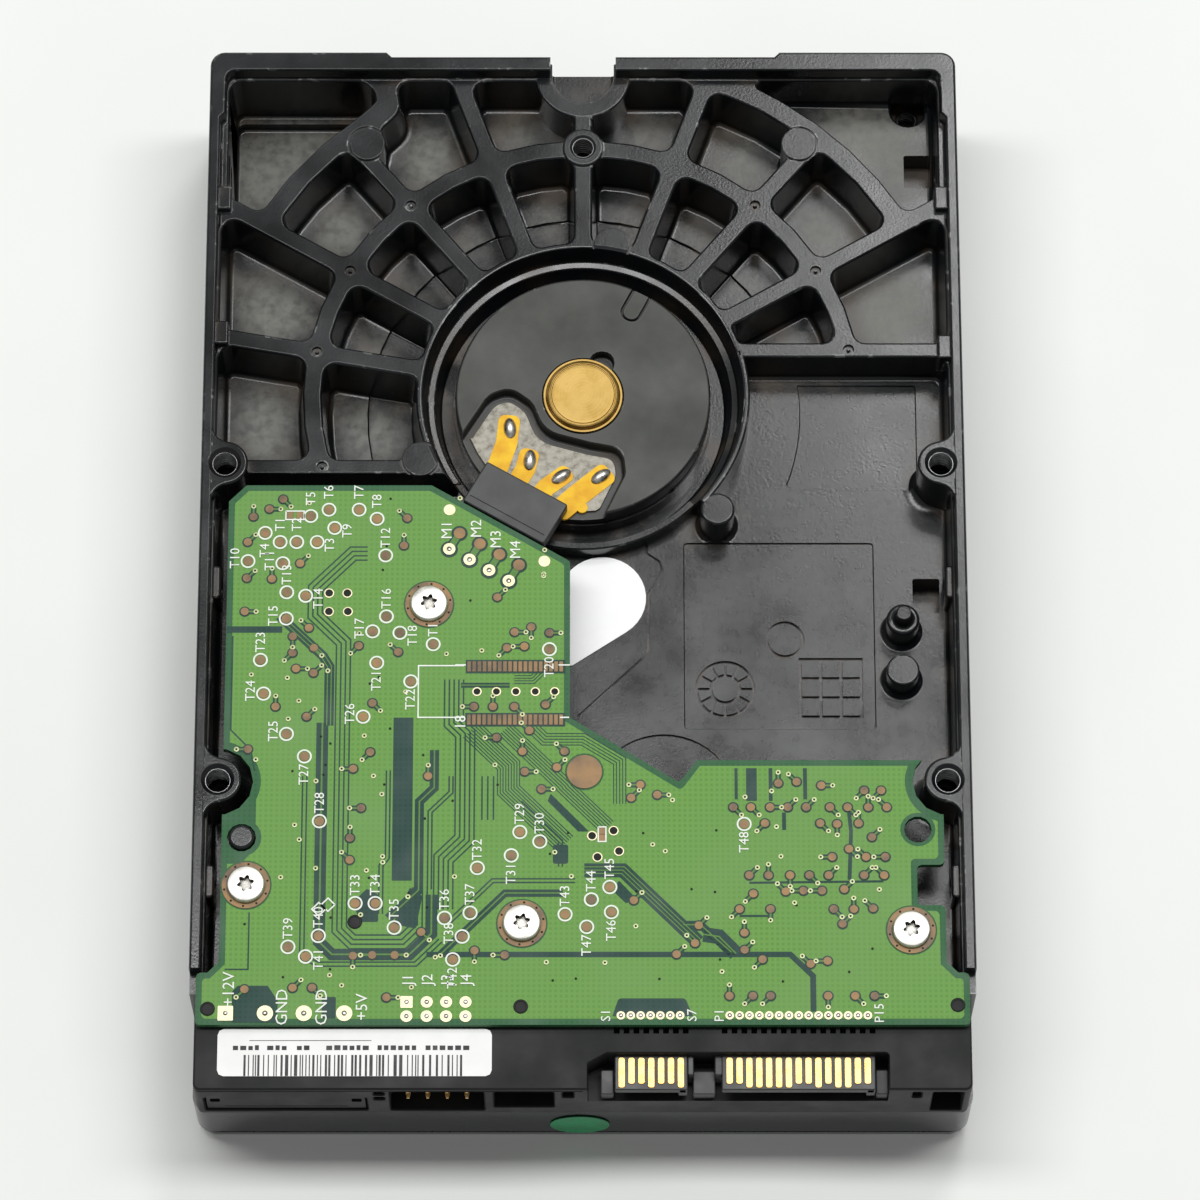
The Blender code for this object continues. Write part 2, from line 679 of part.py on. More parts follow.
def fan_pockets():
    """Cutters of the pockets between the spokes."""
    right = SIDE_INNER - WALL_LEDGE
    left = -right
    far = FAR_INNER - WALL_LEDGE
    left_rib_top = LEFT_RIB_Y + CROSS_RIB_WIDTH / 2
    right_rib_top = RIGHT_RIB_Y + CROSS_RIB_WIDTH / 2
    outer_fan = []
    inner_fan = []
    inner_step = []
    for number in (-3, -2, -1, 0, 1, 2, 3):
        first, last = spoke(number), spoke(number + 1)
        inner_fan.append(sector_pocket(first, last, WELL_RIB_OUTER, RING_INNER))
        inner_step.append(sector_pocket(first, last, WELL_RIB_OUTER, POCKET_STEP_RADIUS))
    for number in (-3, -2, 2):
        outer_fan.append(sector_pocket(spoke(number), spoke(number + 1), RING_OUTER, OUTER_RIB_INNER))
    # Two pockets beside the notch reach the far wall
    for number in (-1, 0):
        first, last = spoke(number), spoke(number + 1)
        outer_fan.append(
            filleted(spoke_at_y(first, 1, far), spoke_at_y(last, -1, far))
            + between(RING_OUTER, spoke_at_radius(last, -1, RING_OUTER), spoke_at_radius(first, 1, RING_OUTER))
        )
    # The pocket beside the curved rib
    rib_right = CURVED_RIB_X + CURVED_RIB_WIDTH / 2
    pad_radius = (RING_OUTER + OUTER_RIB_INNER) / 2
    outer_fan.append(
        filleted(
            spoke_at_y(spoke(1), 1, far),
            (rib_right, far),
            (rib_right + CURVED_RIB_WIDTH / 3, far - CURVED_RIB_DROP),
            spoke_at_radius(spoke(2), -1, pad_radius),
        )
        + between(
            RING_OUTER, spoke_at_radius(spoke(2), -1, RING_OUTER), spoke_at_radius(spoke(1), 1, RING_OUTER)
        )
    )
    # Pockets that reach the side walls
    outer_fan.append(
        filleted(spoke_at_x(spoke(3), 1, left), spoke_at_x(spoke(4), -1, left))
        + between(
            RING_OUTER, spoke_at_radius(spoke(4), -1, RING_OUTER), spoke_at_radius(spoke(3), 1, RING_OUTER)
        )
    )
    outer_fan.append(
        filleted(spoke_at_x(spoke(4), 1, left), (left, left_rib_top))
        + between(RING_OUTER, circle_at_y(RING_OUTER, left_rib_top, -1), spoke_at_radius(spoke(4), 1, RING_OUTER))
    )
    outer_fan.append(
        filleted((right, right_rib_top), spoke_at_x(spoke(-3), -1, right))
        + between(
            RING_OUTER,
            spoke_at_radius(spoke(-3), -1, RING_OUTER),
            circle_at_y(RING_OUTER, right_rib_top, 1),
        )
    )
    for inner, pockets in ((RING_INNER, inner_fan), (POCKET_STEP_RADIUS, inner_step)):
        pockets.append(
            between(inner, spoke_at_radius(spoke(4), 1, inner), circle_at_y(inner, left_rib_top, -1))
            + between(
                WELL_RIB_OUTER,
                circle_at_y(WELL_RIB_OUTER, left_rib_top, -1),
                spoke_at_radius(spoke(4), 1, WELL_RIB_OUTER),
            )
        )
    inner_fan.append(
        between(RING_INNER, circle_at_y(RING_INNER, right_rib_top, 1), spoke_at_radius(spoke(-3), -1, RING_INNER))
        + between(
            WELL_RIB_OUTER,
            spoke_at_radius(spoke(-3), -1, WELL_RIB_OUTER),
            circle_at_y(WELL_RIB_OUTER, right_rib_top, 1),
        )
    )
    deeper = [[(*corner[:2], 0.0) for corner in outline] for outline in inner_step]
    return (
        [prism(outline, POCKET_FLOOR, OVER_RIBS, POCKET_DRAFT) for outline in outer_fan + inner_fan]
        + [sunk(outline, POCKET_FLOOR, POCKET_STEP) for outline in deeper]
        + corner_pockets()
    )


def sunk(outline, floor, depth):
    """Cutter that deepens a pocket, standing clear of the pocket's drafted walls."""
    inner = [(p.x, p.y, 0.0) for p in drawn(outline, 2 * POCKET_DRAFT)]
    return prism(inner, floor - depth, floor + WALL_LEDGE)


def corner_pockets():
    """Cutters of the two deep pockets outside the outer rib."""
    rib_left = CURVED_RIB_X - CURVED_RIB_WIDTH / 2
    side = HALF_WIDTH - CORNER_WALL - WALL_LEDGE
    far = FAR_INNER - WALL_LEDGE
    arc_top = circle_at_y(OUTER_RIB_OUTER, far - CURVED_RIB_DROP, -1)
    left = between(OUTER_RIB_OUTER, spoke_at_radius(spoke(3), -1, OUTER_RIB_OUTER), arc_top, 6) + filleted(
        (rib_left, far - CURVED_RIB_DROP / 2),
        (rib_left, far),
        (-side, far),
        spoke_at_x(spoke(3), -1, -side),
    )
    far_meet = circle_at_y(OUTER_RIB_OUTER, far, 1)
    right = between(OUTER_RIB_OUTER, far_meet, spoke_at_radius(spoke(-3), 1, OUTER_RIB_OUTER), 8) + filleted(
        spoke_at_x(spoke(-3), 1, side), (side, far)
    )
    ledge = [(x, min(y, far - CORNER_LEDGE_WIDTH), 0.0) for x, y, _ in left]
    shelf = LEFT_CORNER_FLOOR + CORNER_LEDGE_RISE
    return [
        prism(left, shelf, OVER_RIBS, POCKET_DRAFT),
        sunk(ledge, shelf, CORNER_LEDGE_RISE),
        prism(right, RIGHT_CORNER_FLOOR, OVER_RIBS, POCKET_DRAFT),
    ]


def case_outline(inset=0.0):
    """Outline of the base, with the middle of the far end stepped in."""
    half, far, near = HALF_WIDTH - inset, HALF_LENGTH - inset, NEAR_END + BAND_STEP + inset
    step, stepped = FAR_STEP_WIDTH / 2 - inset, far - FAR_STEP_DEPTH
    return [
        (-half, near, CASE_CORNER),
        (half, near, CASE_CORNER),
        (half, far, CASE_CORNER),
        (step + FAR_STEP_DEPTH, far, 0.0),
        (step, stepped, 0.0),
        (-step, stepped, 0.0),
        (-step - FAR_STEP_DEPTH, far, 0.0),
        (-half, far, CASE_CORNER),
    ]


def bay_outline(spread=0.0):
    """Outline of the actuator's room beside the platters."""
    return rectangle(
        -HALF_WIDTH + BAY_LEFT_INSET - spread,
        NEAR_END + BAY_NEAR_WALL - spread,
        HALF_WIDTH - BAY_RIGHT_INSET + spread,
        LEFT_RIB_Y - CROSS_RIB_WIDTH,
        BAY_CORNER,
    )


def screw_places():
    """Places of the cover screws."""
    side = HALF_WIDTH - COVER_SCREW_INSET
    far = HALF_LENGTH - COVER_SCREW_FAR_INSET
    rows = (far, NEAR_END + COVER_SCREW_MIDDLE, NEAR_END + COVER_SCREW_NEAR_INSET)
    return [(sign * side, y) for y in rows for sign in (-1, 1)]


def breather_place():
    """Middle of the breather filter and of the hole under it, in the bay's corner."""
    width, length, _ = BREATHER_FILTER_SIZE
    return -HALF_WIDTH + BAY_LEFT_INSET + width, NEAR_END + BAY_NEAR_WALL + length


def board_place(place):
    """Point given by its distance across and from the connector end."""
    return place[0], NEAR_END + place[1]


def spindle_place(place):
    """Point given by its distances from the spindle."""
    return SPINDLE.x + place[0], SPINDLE.y + place[1]


def side_place(side, inset):
    """Point given by its distances in from the left (-1) or right (1) side and from the connector end."""
    return side * (HALF_WIDTH - inset[0]), NEAR_END + inset[1]


def board_screws():
    """Places of the four screws that hold the board."""
    return (
        spindle_place(BOARD_SCREW_FAR),
        side_place(-1, BOARD_SCREW_LEFT),
        board_place(BOARD_SCREW_MIDDLE),
        side_place(1, BOARD_SCREW_RIGHT),
    )


def base_casting():
    """Die-cast base: walls, ribs, bosses and deck above, disc chamber and actuator bay below."""
    base = object_of("base_casting", prism(case_outline(), BASE_BOTTOM, CASE_HEIGHT), PAINT)
    corner_side = HALF_WIDTH - CORNER_WALL
    corner_near = FAR_INNER - CORNER_WALL_LENGTH
    tray = [
        (-SIDE_INNER, NEAR_END - SIDE_WALL, 0.0),
        (SIDE_INNER, NEAR_END - SIDE_WALL, 0.0),
        (SIDE_INNER, corner_near, 0.0),
        (corner_side, corner_near + (SIDE_INNER - corner_side), 0.0),
        (corner_side, FAR_INNER, POCKET_CORNER),
        (-corner_side, FAR_INNER, POCKET_CORNER),
        (-corner_side, corner_near + (SIDE_INNER - corner_side), 0.0),
        (-SIDE_INNER, corner_near, 0.0),
    ]
    deck_near = PLUG_BACK + SEAT_GAP
    deck_side = SIDE_INNER - WALL_LEDGE
    deck = [
        (-deck_side, deck_near - PLUG_WALL, 0.0),
        (deck_side, deck_near - PLUG_WALL, 0.0),
        (deck_side, RIGHT_RIB_Y - CROSS_RIB_WIDTH / 2, POCKET_CORNER),
        (SPINDLE.x, RIGHT_RIB_Y - CROSS_RIB_WIDTH / 2, 0.0),
        (SPINDLE.x, LEFT_RIB_Y - CROSS_RIB_WIDTH / 2, 0.0),
        (-deck_side, LEFT_RIB_Y - CROSS_RIB_WIDTH / 2, POCKET_CORNER),
    ]
    beyond = HALF_WIDTH + SIDE_WALL
    tail_far = BOARD_NEAR + BOARD_TAIL_LENGTH
    cuts = [
        prism(tray, RIB_TOP, ABOVE),
        prism(deck, DECK, OVER_RIBS),
        box(-beyond, NEAR_END - SIDE_WALL, PLUG_SEAM, beyond, deck_near, ABOVE),
        box(-beyond, NEAR_END - SIDE_WALL, PLUG_TOP, beyond, tail_far + SEAT_GAP, ABOVE),
    ]
    shaped(base, "DIFFERENCE", "pockets", cuts + fan_pockets())
    shaped(base, "UNION", "bosses", base_bosses())
    shaped(base, "DIFFERENCE", "holes", base_holes())
    shaped(
        base,
        "DIFFERENCE",
        "chamber",
        [
            rod(SPINDLE, CHAMBER_RADIUS, BELOW, CHAMBER_CEILING, RING_STEPS),
            prism(bay_outline(), BELOW, BAY_CEILING),
        ],
    )


def base_bosses():
    """Raised shapes of the base: bosses, pads, posts and rings."""
    notch_centre = (SPINDLE.x, HALF_LENGTH - NOTCH_CENTRE_INSET)
    ring_boss = polar(RIB_RING_RADIUS, 90)
    foot = DECK - FLOOR_THICKNESS / 2
    well_collar = (WELL_LEDGE_RADII[0] + MOTOR_WELL_RADIUS) / 2
    half_step = 180 / RING_STEPS
    shapes = [
        prism(
            arc(well_collar, half_step, 360 - half_step, RING_STEPS - 1),
            foot,
            RIB_TOP - WELL_LEDGE_DROPS[0] + SEAT_GAP,
        ),
        prism(
            arc(WELL_RIB_OUTER, *WELL_RIB_SPAN, 12) + arc(PLATE_RADIUS, *reversed(WELL_RIB_SPAN), 12),
            foot + SEAT_GAP,
            RIB_TOP,
        ),
        prism(
            arc(NOTCH_RADIUS + NOTCH_WALL, 180, 360, 10, notch_centre),
            POCKET_FLOOR - FLOOR_THICKNESS / 2,
            RIB_TOP,
        ),
        rod(ring_boss, RING_BOSS_RADIUS, POCKET_FLOOR - FLOOR_THICKNESS / 2, RIB_TOP + PAD_RISE),
    ]
    for x in (-MOUNT_X, MOUNT_X):
        for y in MOUNT_YS:
            shapes.append(rod((x, y), MOUNT_BOSS_RADIUS, foot, CASE_HEIGHT))
    pad_radius = OUTER_RIB_INNER - PAD_RADIUS / 2
    pads = (polar(pad_radius, spoke(2) - 1.5), polar(pad_radius, spoke(-2) + 1.5))
    pads += (polar(WELL_RIB_OUTER, spoke(0) - SPOKE_ANGLE / 2),)
    pads += (circle_at_y(WELL_RIB_OUTER + PAD_RADIUS / 2, LEFT_RIB_Y + CROSS_RIB_WIDTH / 2, -1),)
    for place in pads:
        shapes.append(rod(place, PAD_RADIUS, POCKET_FLOOR - FLOOR_THICKNESS / 2, RIB_TOP + PAD_RISE))
    shapes.append(rod(spindle_place(DECK_POST[:2]), DECK_POST[2], foot, RIB_TOP))
    shapes.append(rod(spindle_place(ROUND_BOSS), ROUND_BOSS_RADIUS, foot, DECK + ROUND_BOSS_HEIGHT))
    shapes.append(
        lathe(
            [
                (0, foot),
                (STEPPED_PIN_RADII[0], foot),
                (STEPPED_PIN_RADII[0], DECK + STEPPED_PIN_HEIGHTS[0]),
                (STEPPED_PIN_RADII[1], DECK + STEPPED_PIN_HEIGHTS[0]),
                (STEPPED_PIN_RADII[1], DECK + STEPPED_PIN_HEIGHTS[1]),
                (0, DECK + STEPPED_PIN_HEIGHTS[1]),
            ],
            spindle_place(STEPPED_PIN),
            ROUND_STEPS,
        )
    )
    for place in board_screws():
        shapes.append(rod(place, BOARD_POST_RADIUS, foot, BOARD_BOTTOM - SEAT_GAP))
    shapes.append(rod(side_place(-1, BOARD_PIN_INSET), BOARD_PIN_RADIUS, foot, BOARD_TOP))
    for y in SIDE_HOLE_YS:
        low = min(DECK, LEFT_CORNER_FLOOR) - FLOOR_THICKNESS / 2
        for side in (-1, 1):
            edges = sorted((side * (SIDE_INNER - SIDE_PAD_REACH), side * (HALF_WIDTH - SIDE_WALL / 2)))
            near, far = y - SIDE_PAD_WIDTH / 2, y + SIDE_PAD_WIDTH / 2
            shapes.append(box(edges[0], near, low, edges[1], far, CASE_HEIGHT - SIDE_PAD_DROP))
    return shapes


def base_holes():
    """Holes and shallow recesses of the base."""
    notch_centre = (SPINDLE.x, HALF_LENGTH - NOTCH_CENTRE_INSET)
    notch_floor = CASE_HEIGHT - NOTCH_DEPTH
    collar = PLATE_BOTTOM - SEAT_GAP
    rim_radius = PLATE_RADIUS + SEAT_GAP
    shapes = [
        lathe(
            [
                (0, ABOVE),
                (MOTOR_WELL_RADIUS, ABOVE),
                (MOTOR_WELL_RADIUS, RIB_TOP - WELL_LEDGE_DROPS[0]),
                (WELL_LEDGE_RADII[0], RIB_TOP - WELL_LEDGE_DROPS[0]),
                (WELL_LEDGE_RADII[0], RIB_TOP - WELL_LEDGE_DROPS[1]),
                (WELL_LEDGE_RADII[1], RIB_TOP - WELL_LEDGE_DROPS[1]),
                (WELL_LEDGE_RADII[1], RIB_TOP - WELL_GROOVE_DROP),
                (rim_radius, RIB_TOP - WELL_GROOVE_DROP),
                (rim_radius, collar),
                (MOTOR_BORE_RADIUS, collar),
                (MOTOR_BORE_RADIUS, BELOW),
                (0, BELOW),
            ],
            SPINDLE,
            RING_STEPS,
        ),
        prism(
            arc(NOTCH_RADIUS, 180, 360, 10, notch_centre)
            + [
                (SPINDLE.x + NOTCH_RADIUS, HALF_LENGTH + FAR_WALL, 0.0),
                (SPINDLE.x - NOTCH_RADIUS, HALF_LENGTH + FAR_WALL, 0.0),
            ],
            notch_floor,
            ABOVE,
        ),
        rod(polar(RIB_RING_RADIUS, 90), RING_BOSS_HOLE, RIB_TOP - RING_BOSS_HOLE_DEPTH, ABOVE, HOLE_STEPS),
    ]
    for x in (-MOUNT_X, MOUNT_X):
        for y in MOUNT_YS:
            shapes.append(
                lathe(
                    [
                        (0, CASE_HEIGHT - MOUNT_HOLE_DEPTH),
                        (MOUNT_HOLE_RADIUS, CASE_HEIGHT - MOUNT_HOLE_DEPTH),
                        (MOUNT_HOLE_RADIUS, CASE_HEIGHT - MOUNT_SINK_DEPTH),
                        (MOUNT_SINK_RADIUS, CASE_HEIGHT),
                        (MOUNT_SINK_RADIUS, ABOVE),
                        (0, ABOVE),
                    ],
                    (x, y),
                    ROUND_STEPS,
                )
            )
    for place in board_screws():
        shaft = BOARD_SCREW_SHANK + SCREW_HOLE_GAP
        depth = BOARD_TOP - BOARD_SCREW_LENGTH - RUN_GAP
        shapes.append(rod(place, shaft, depth, ABOVE, HOLE_STEPS))
    for y in SIDE_HOLE_YS:
        for side in (-1, 1):
            span = sorted((side * (SIDE_INNER - SIDE_PAD_REACH - RUN_GAP), side * (HALF_WIDTH + SIDE_WALL)))
            shapes.append(
                crosswise((y, CASE_HEIGHT - SIDE_HOLE_DROP), SIDE_HOLE_RADIUS, span[0], span[1], "X", HOLE_STEPS)
            )
    for place in screw_places():
        top = BASE_BOTTOM + COVER_SHANK_LENGTH + RUN_GAP
        shapes.append(rod(place, COVER_SHANK_RADIUS + SCREW_HOLE_GAP, BELOW, top, HOLE_STEPS))
    recess_far = RIGHT_RIB_Y - CROSS_RIB_WIDTH / 2 - RECESS_TOP_GAP
    shapes.append(
        prism(
            rectangle(
                RECESS_LEFT,
                recess_far - RECESS_LENGTH,
                HALF_WIDTH - RECESS_RIGHT_GAP,
                recess_far,
                PANEL_CORNER,
            ),
            DECK - RECESS_DEPTH,
            DECK + RECESS_DEPTH,
        )
    )
    panel = spindle_place(PANEL_CENTRE)
    shapes.append(
        prism(turned_box(panel, PANEL_SIZE, 0, PANEL_CORNER), DECK - PANEL_DEPTH, DECK + PANEL_DEPTH)
    )
    window_right = SIDE_INNER - SIDE_PAD_REACH - SEAT_GAP
    for y, floor in ((SIDE_HOLE_YS[1], DECK), (SIDE_HOLE_YS[2], RIGHT_CORNER_FLOOR)):
        shapes.append(
            box(
                window_right - WINDOW_SIZE[0],
                y - WINDOW_SIZE[1] / 2,
                floor - WINDOW_DEPTH,
                window_right,
                y + WINDOW_SIZE[1] / 2,
                floor + WINDOW_DEPTH / 2,
            )
        )
    corner_hole = (HALF_WIDTH - CORNER_HOLE_INSET[0], HALF_LENGTH - CORNER_HOLE_INSET[1])
    shapes.append(
        rod(corner_hole, CORNER_HOLE_RADIUS, RIGHT_CORNER_FLOOR - CORNER_HOLE_DEPTH, RIGHT_CORNER_FLOOR + SEAT_GAP)
    )
    shapes.append(
        prism(
            turned_box(spindle_place(HEAD_PLUG_PLACE), [side + 2 * SEAT_GAP for side in HEAD_PLUG_SIZE], 0),
            BAY_CEILING - SEAT_GAP,
            DECK + SEAT_GAP,
        )
    )
    return shapes


def cover_and_gasket():
    """Stamped top cover with its dimpled screw seats, the gasket ring, and the screws."""
    half, far = HALF_WIDTH - COVER_INSET, HALF_LENGTH - COVER_INSET
    cover = object_of("top_cover", prism(case_outline(COVER_INSET), 0, COVER_THICKNESS), COVER_STEEL)
    seat_radius = COVER_HEAD_RADIUS + SCREW_HOLE_GAP
    dimples = [
        rod(place, seat_radius + COVER_DIMPLE_WALL, COVER_THICKNESS / 2, BASE_BOTTOM - SEAT_GAP, HOLE_STEPS)
        for place in screw_places()
    ]
    shaped(cover, "UNION", "dimples", dimples)
    panel = rectangle(
        -half + COVER_PANEL_MARGIN,
        -far + 2 * COVER_PANEL_MARGIN,
        half - COVER_PANEL_MARGIN,
        far - COVER_PANEL_MARGIN,
        COVER_PANEL_CORNER,
    )
    cuts = [prism(panel, BELOW, COVER_PANEL_DEPTH), rod(breather_place(), BREATHER_RADIUS, BELOW, ABOVE, HOLE_STEPS)]
    head_top = SEAT_GAP + COVER_HEAD_THICKNESS
    for place in screw_places():
        cuts.append(
            lathe(
                [
                    (0, BELOW),
                    (seat_radius, BELOW),
                    (seat_radius, head_top + SEAT_GAP),
                    (COVER_SHANK_RADIUS + SCREW_HOLE_GAP, head_top + SEAT_GAP),
                    (COVER_SHANK_RADIUS + SCREW_HOLE_GAP, ABOVE),
                    (0, ABOVE),
                ],
                place,
                HOLE_STEPS,
            )
        )
    shaped(cover, "DIFFERENCE", "cuts", cuts)
    for number, place in enumerate(screw_places(), 1):
        screw = object_of(
            f"cover_screw_{number}",
            lathe(
                [
                    (0, SEAT_GAP),
                    (COVER_HEAD_RADIUS, SEAT_GAP),
                    (COVER_HEAD_RADIUS, head_top),
                    (COVER_SHANK_RADIUS, head_top),
                    (COVER_SHANK_RADIUS, BASE_BOTTOM + COVER_SHANK_LENGTH),
                    (0, BASE_BOTTOM + COVER_SHANK_LENGTH),
                ],
                place,
                HOLE_STEPS,
            ),
            STEEL,
        )
        shaped(screw, "DIFFERENCE", "recess", [six_lobe(place, BELOW, SEAT_GAP + COVER_HEAD_THICKNESS / 2)])

    low, high = COVER_THICKNESS + SEAT_GAP, COVER_THICKNESS + SEAT_GAP + GASKET_THICKNESS
    inner = CHAMBER_RADIUS
    gasket = object_of("cover_gasket", rod(SPINDLE, inner + GASKET_WIDTH, low, high, RING_STEPS), RUBBER)
    shaped(gasket, "UNION", "bay_band", [prism(bay_outline(GASKET_WIDTH), low, high)])
    shaped(
        gasket,
        "DIFFERENCE",
        "opening",
        [rod(SPINDLE, inner, BELOW, ABOVE, RING_STEPS), prism(bay_outline(), BELOW, ABOVE)],
    )


def six_lobe(place, low, high):
    """Prism of a six-lobe screw recess."""
    points = []
    for i in range(12):
        radius = SIX_LOBE_RADIUS if i % 2 == 0 else SIX_LOBE_RADIUS * 0.72
        points.append((*polar(radius, 30 * i, place), 0.0))
    return prism(points, low, high)


def board_outline():
    """Outline of the circuit board."""
    left = -HALF_WIDTH + BOARD_SIDE_GAP
    right = HALF_WIDTH - BOARD_SIDE_GAP
    tail = HALF_WIDTH - BOARD_TAIL_GAP
    tail_far = BOARD_NEAR + BOARD_TAIL_LENGTH
    flare = (BOARD_SIDE_GAP - BOARD_TAIL_GAP) / 2
    top = SPINDLE_Y - BOARD_TOP_DROP
    # The diagonal edge keeps clear of the motor's well
    reach = MOTOR_WELL_RADIUS + BOARD_WELL_GAP
    normal = Vector(polar(1.0, BOARD_DIAGONAL_NORMAL, (0.0, 0.0)))
    diagonal_start = SPINDLE.x + (reach + BOARD_TOP_DROP * normal.y) / normal.x
    diagonal_end = SPINDLE.y + (reach - (BOARD_INNER_X - SPINDLE.x) * normal.x) / normal.y
    step = NEAR_END + BOARD_STEP_END
    dip = board_place(BOARD_DIP)
    shelf = NEAR_END + BOARD_SHELF_END
    notch_far = NEAR_END + BOARD_NOTCH_END + BOARD_NOTCH[1]
    corner = BOARD_EDGE_CORNER
    return [
        (-tail, BOARD_NEAR, corner),
        (tail, BOARD_NEAR, corner),
        (tail, tail_far, corner),
        (right + flare, tail_far, 0.0),
        (right, tail_far + flare, 0.0),
        (right, notch_far - BOARD_NOTCH[1], corner),
        (tail - BOARD_NOTCH[0], notch_far - BOARD_NOTCH[1], corner),
        (tail - BOARD_NOTCH[0], notch_far, corner),
        (right, notch_far, corner),
        (right, shelf, corner),
        (BOARD_SHELF_LEFT, shelf, 0.0),
        (dip[0], dip[1], corner),
        (BOARD_INNER_X, step, 0.0),
        (BOARD_INNER_X, diagonal_end, corner),
        (diagonal_start, top, 0.0),
        (left + BOARD_CORNER_CUT, top, 0.0),
        (left, top - BOARD_CORNER_CUT, 0.0),
        (left, tail_far + flare, 0.0),
        (left - flare, tail_far, 0.0),
        (-tail, tail_far, corner),
    ]


def circuit_board():
    """Board with its holes, the screws that hold it, and the chips on its hidden side."""
    board = object_of("circuit_board", prism(board_outline(), BOARD_BOTTOM, BOARD_TOP), LAMINATE)
    holes = []
    for y, gap in zip(MOUNT_YS, BOARD_BOSS_GAPS):
        for x in (-MOUNT_X, MOUNT_X):
            holes.append(rod((x, y), MOUNT_BOSS_RADIUS + gap, BELOW, ABOVE))
    for place in board_screws():
        holes.append(rod(place, BOARD_SCREW_SHANK + SCREW_HOLE_GAP, BELOW, ABOVE, HOLE_STEPS))
    holes.append(rod(side_place(-1, BOARD_PIN_INSET), BOARD_PIN_RADIUS + SCREW_HOLE_GAP, BELOW, ABOVE))
    holes.append(rod(side_place(1, BOARD_HOLE_INSET), BOARD_HOLE_RADIUS, BELOW, ABOVE))
    shaped(board, "DIFFERENCE", "holes", holes)
    head_low = BOARD_TOP + SEAT_GAP
    head_top = head_low + BOARD_SCREW_HEAD_HEIGHT
    for number, centre in enumerate(board_screws(), 1):
        screw = object_of(
            f"board_screw_{number}",
            lathe(
                [
                    (0, BOARD_TOP - BOARD_SCREW_LENGTH),
                    (BOARD_SCREW_SHANK, BOARD_TOP - BOARD_SCREW_LENGTH),
                    (BOARD_SCREW_SHANK, head_low),
                    (BOARD_SCREW_HEAD, head_low),
                    (BOARD_SCREW_HEAD, head_low + BOARD_SCREW_HEAD_HEIGHT / 2),
                    (BOARD_SCREW_HEAD * 0.82, head_top),
                    (0, head_top),
                ],
                centre,
                ROUND_STEPS,
            ),
            STEEL,
        )
        shaped(screw, "DIFFERENCE", "recess", [six_lobe(centre, head_top - SIX_LOBE_DEPTH, ABOVE)])
    chip_top = BOARD_BOTTOM - SEAT_GAP
    chips = (
        ("controller_chip", side_place(1, CONTROLLER_INSET), CONTROLLER_SIZE),
        ("motor_driver_chip", spindle_place(DRIVER_PLACE), DRIVER_SIZE),
        ("memory_chip", side_place(1, MEMORY_INSET), MEMORY_SIZE),
        ("flash_chip", board_place(FLASH_PLACE), FLASH_SIZE),
    )
    for name, centre, (width, length) in chips:
        lead = CHIP_LEAD
        body = turned_box(centre, (width, length), 0, lead / 3)
        foot = turned_box(centre, (width + 2 * lead, length - 2 * lead), 0)
        chip = object_of(name, prism(body, chip_top - CHIP_THICKNESS, chip_top - lead / 4), EPOXY)
        shaped(chip, "UNION", "leads", [prism(foot, chip_top - CHIP_THICKNESS / 2, chip_top)])
    plug_top = BOARD_BOTTOM - SEAT_GAP
    plug_centre = spindle_place(HEAD_PLUG_PLACE)
    plug = object_of(
        "head_connector", prism(turned_box(plug_centre, HEAD_PLUG_SIZE, 0), BAY_CEILING, plug_top), PLASTIC
    )
    flange = [side + 2 * HEAD_PLUG_FLANGE for side in HEAD_PLUG_SIZE]
    shaped(
        plug,
        "UNION",
        "flange",
        [prism(turned_box(plug_centre, flange, 0, HEAD_PLUG_FLANGE / 2), DECK + SEAT_GAP, DECK + HEAD_PLUG_FLANGE)],
    )


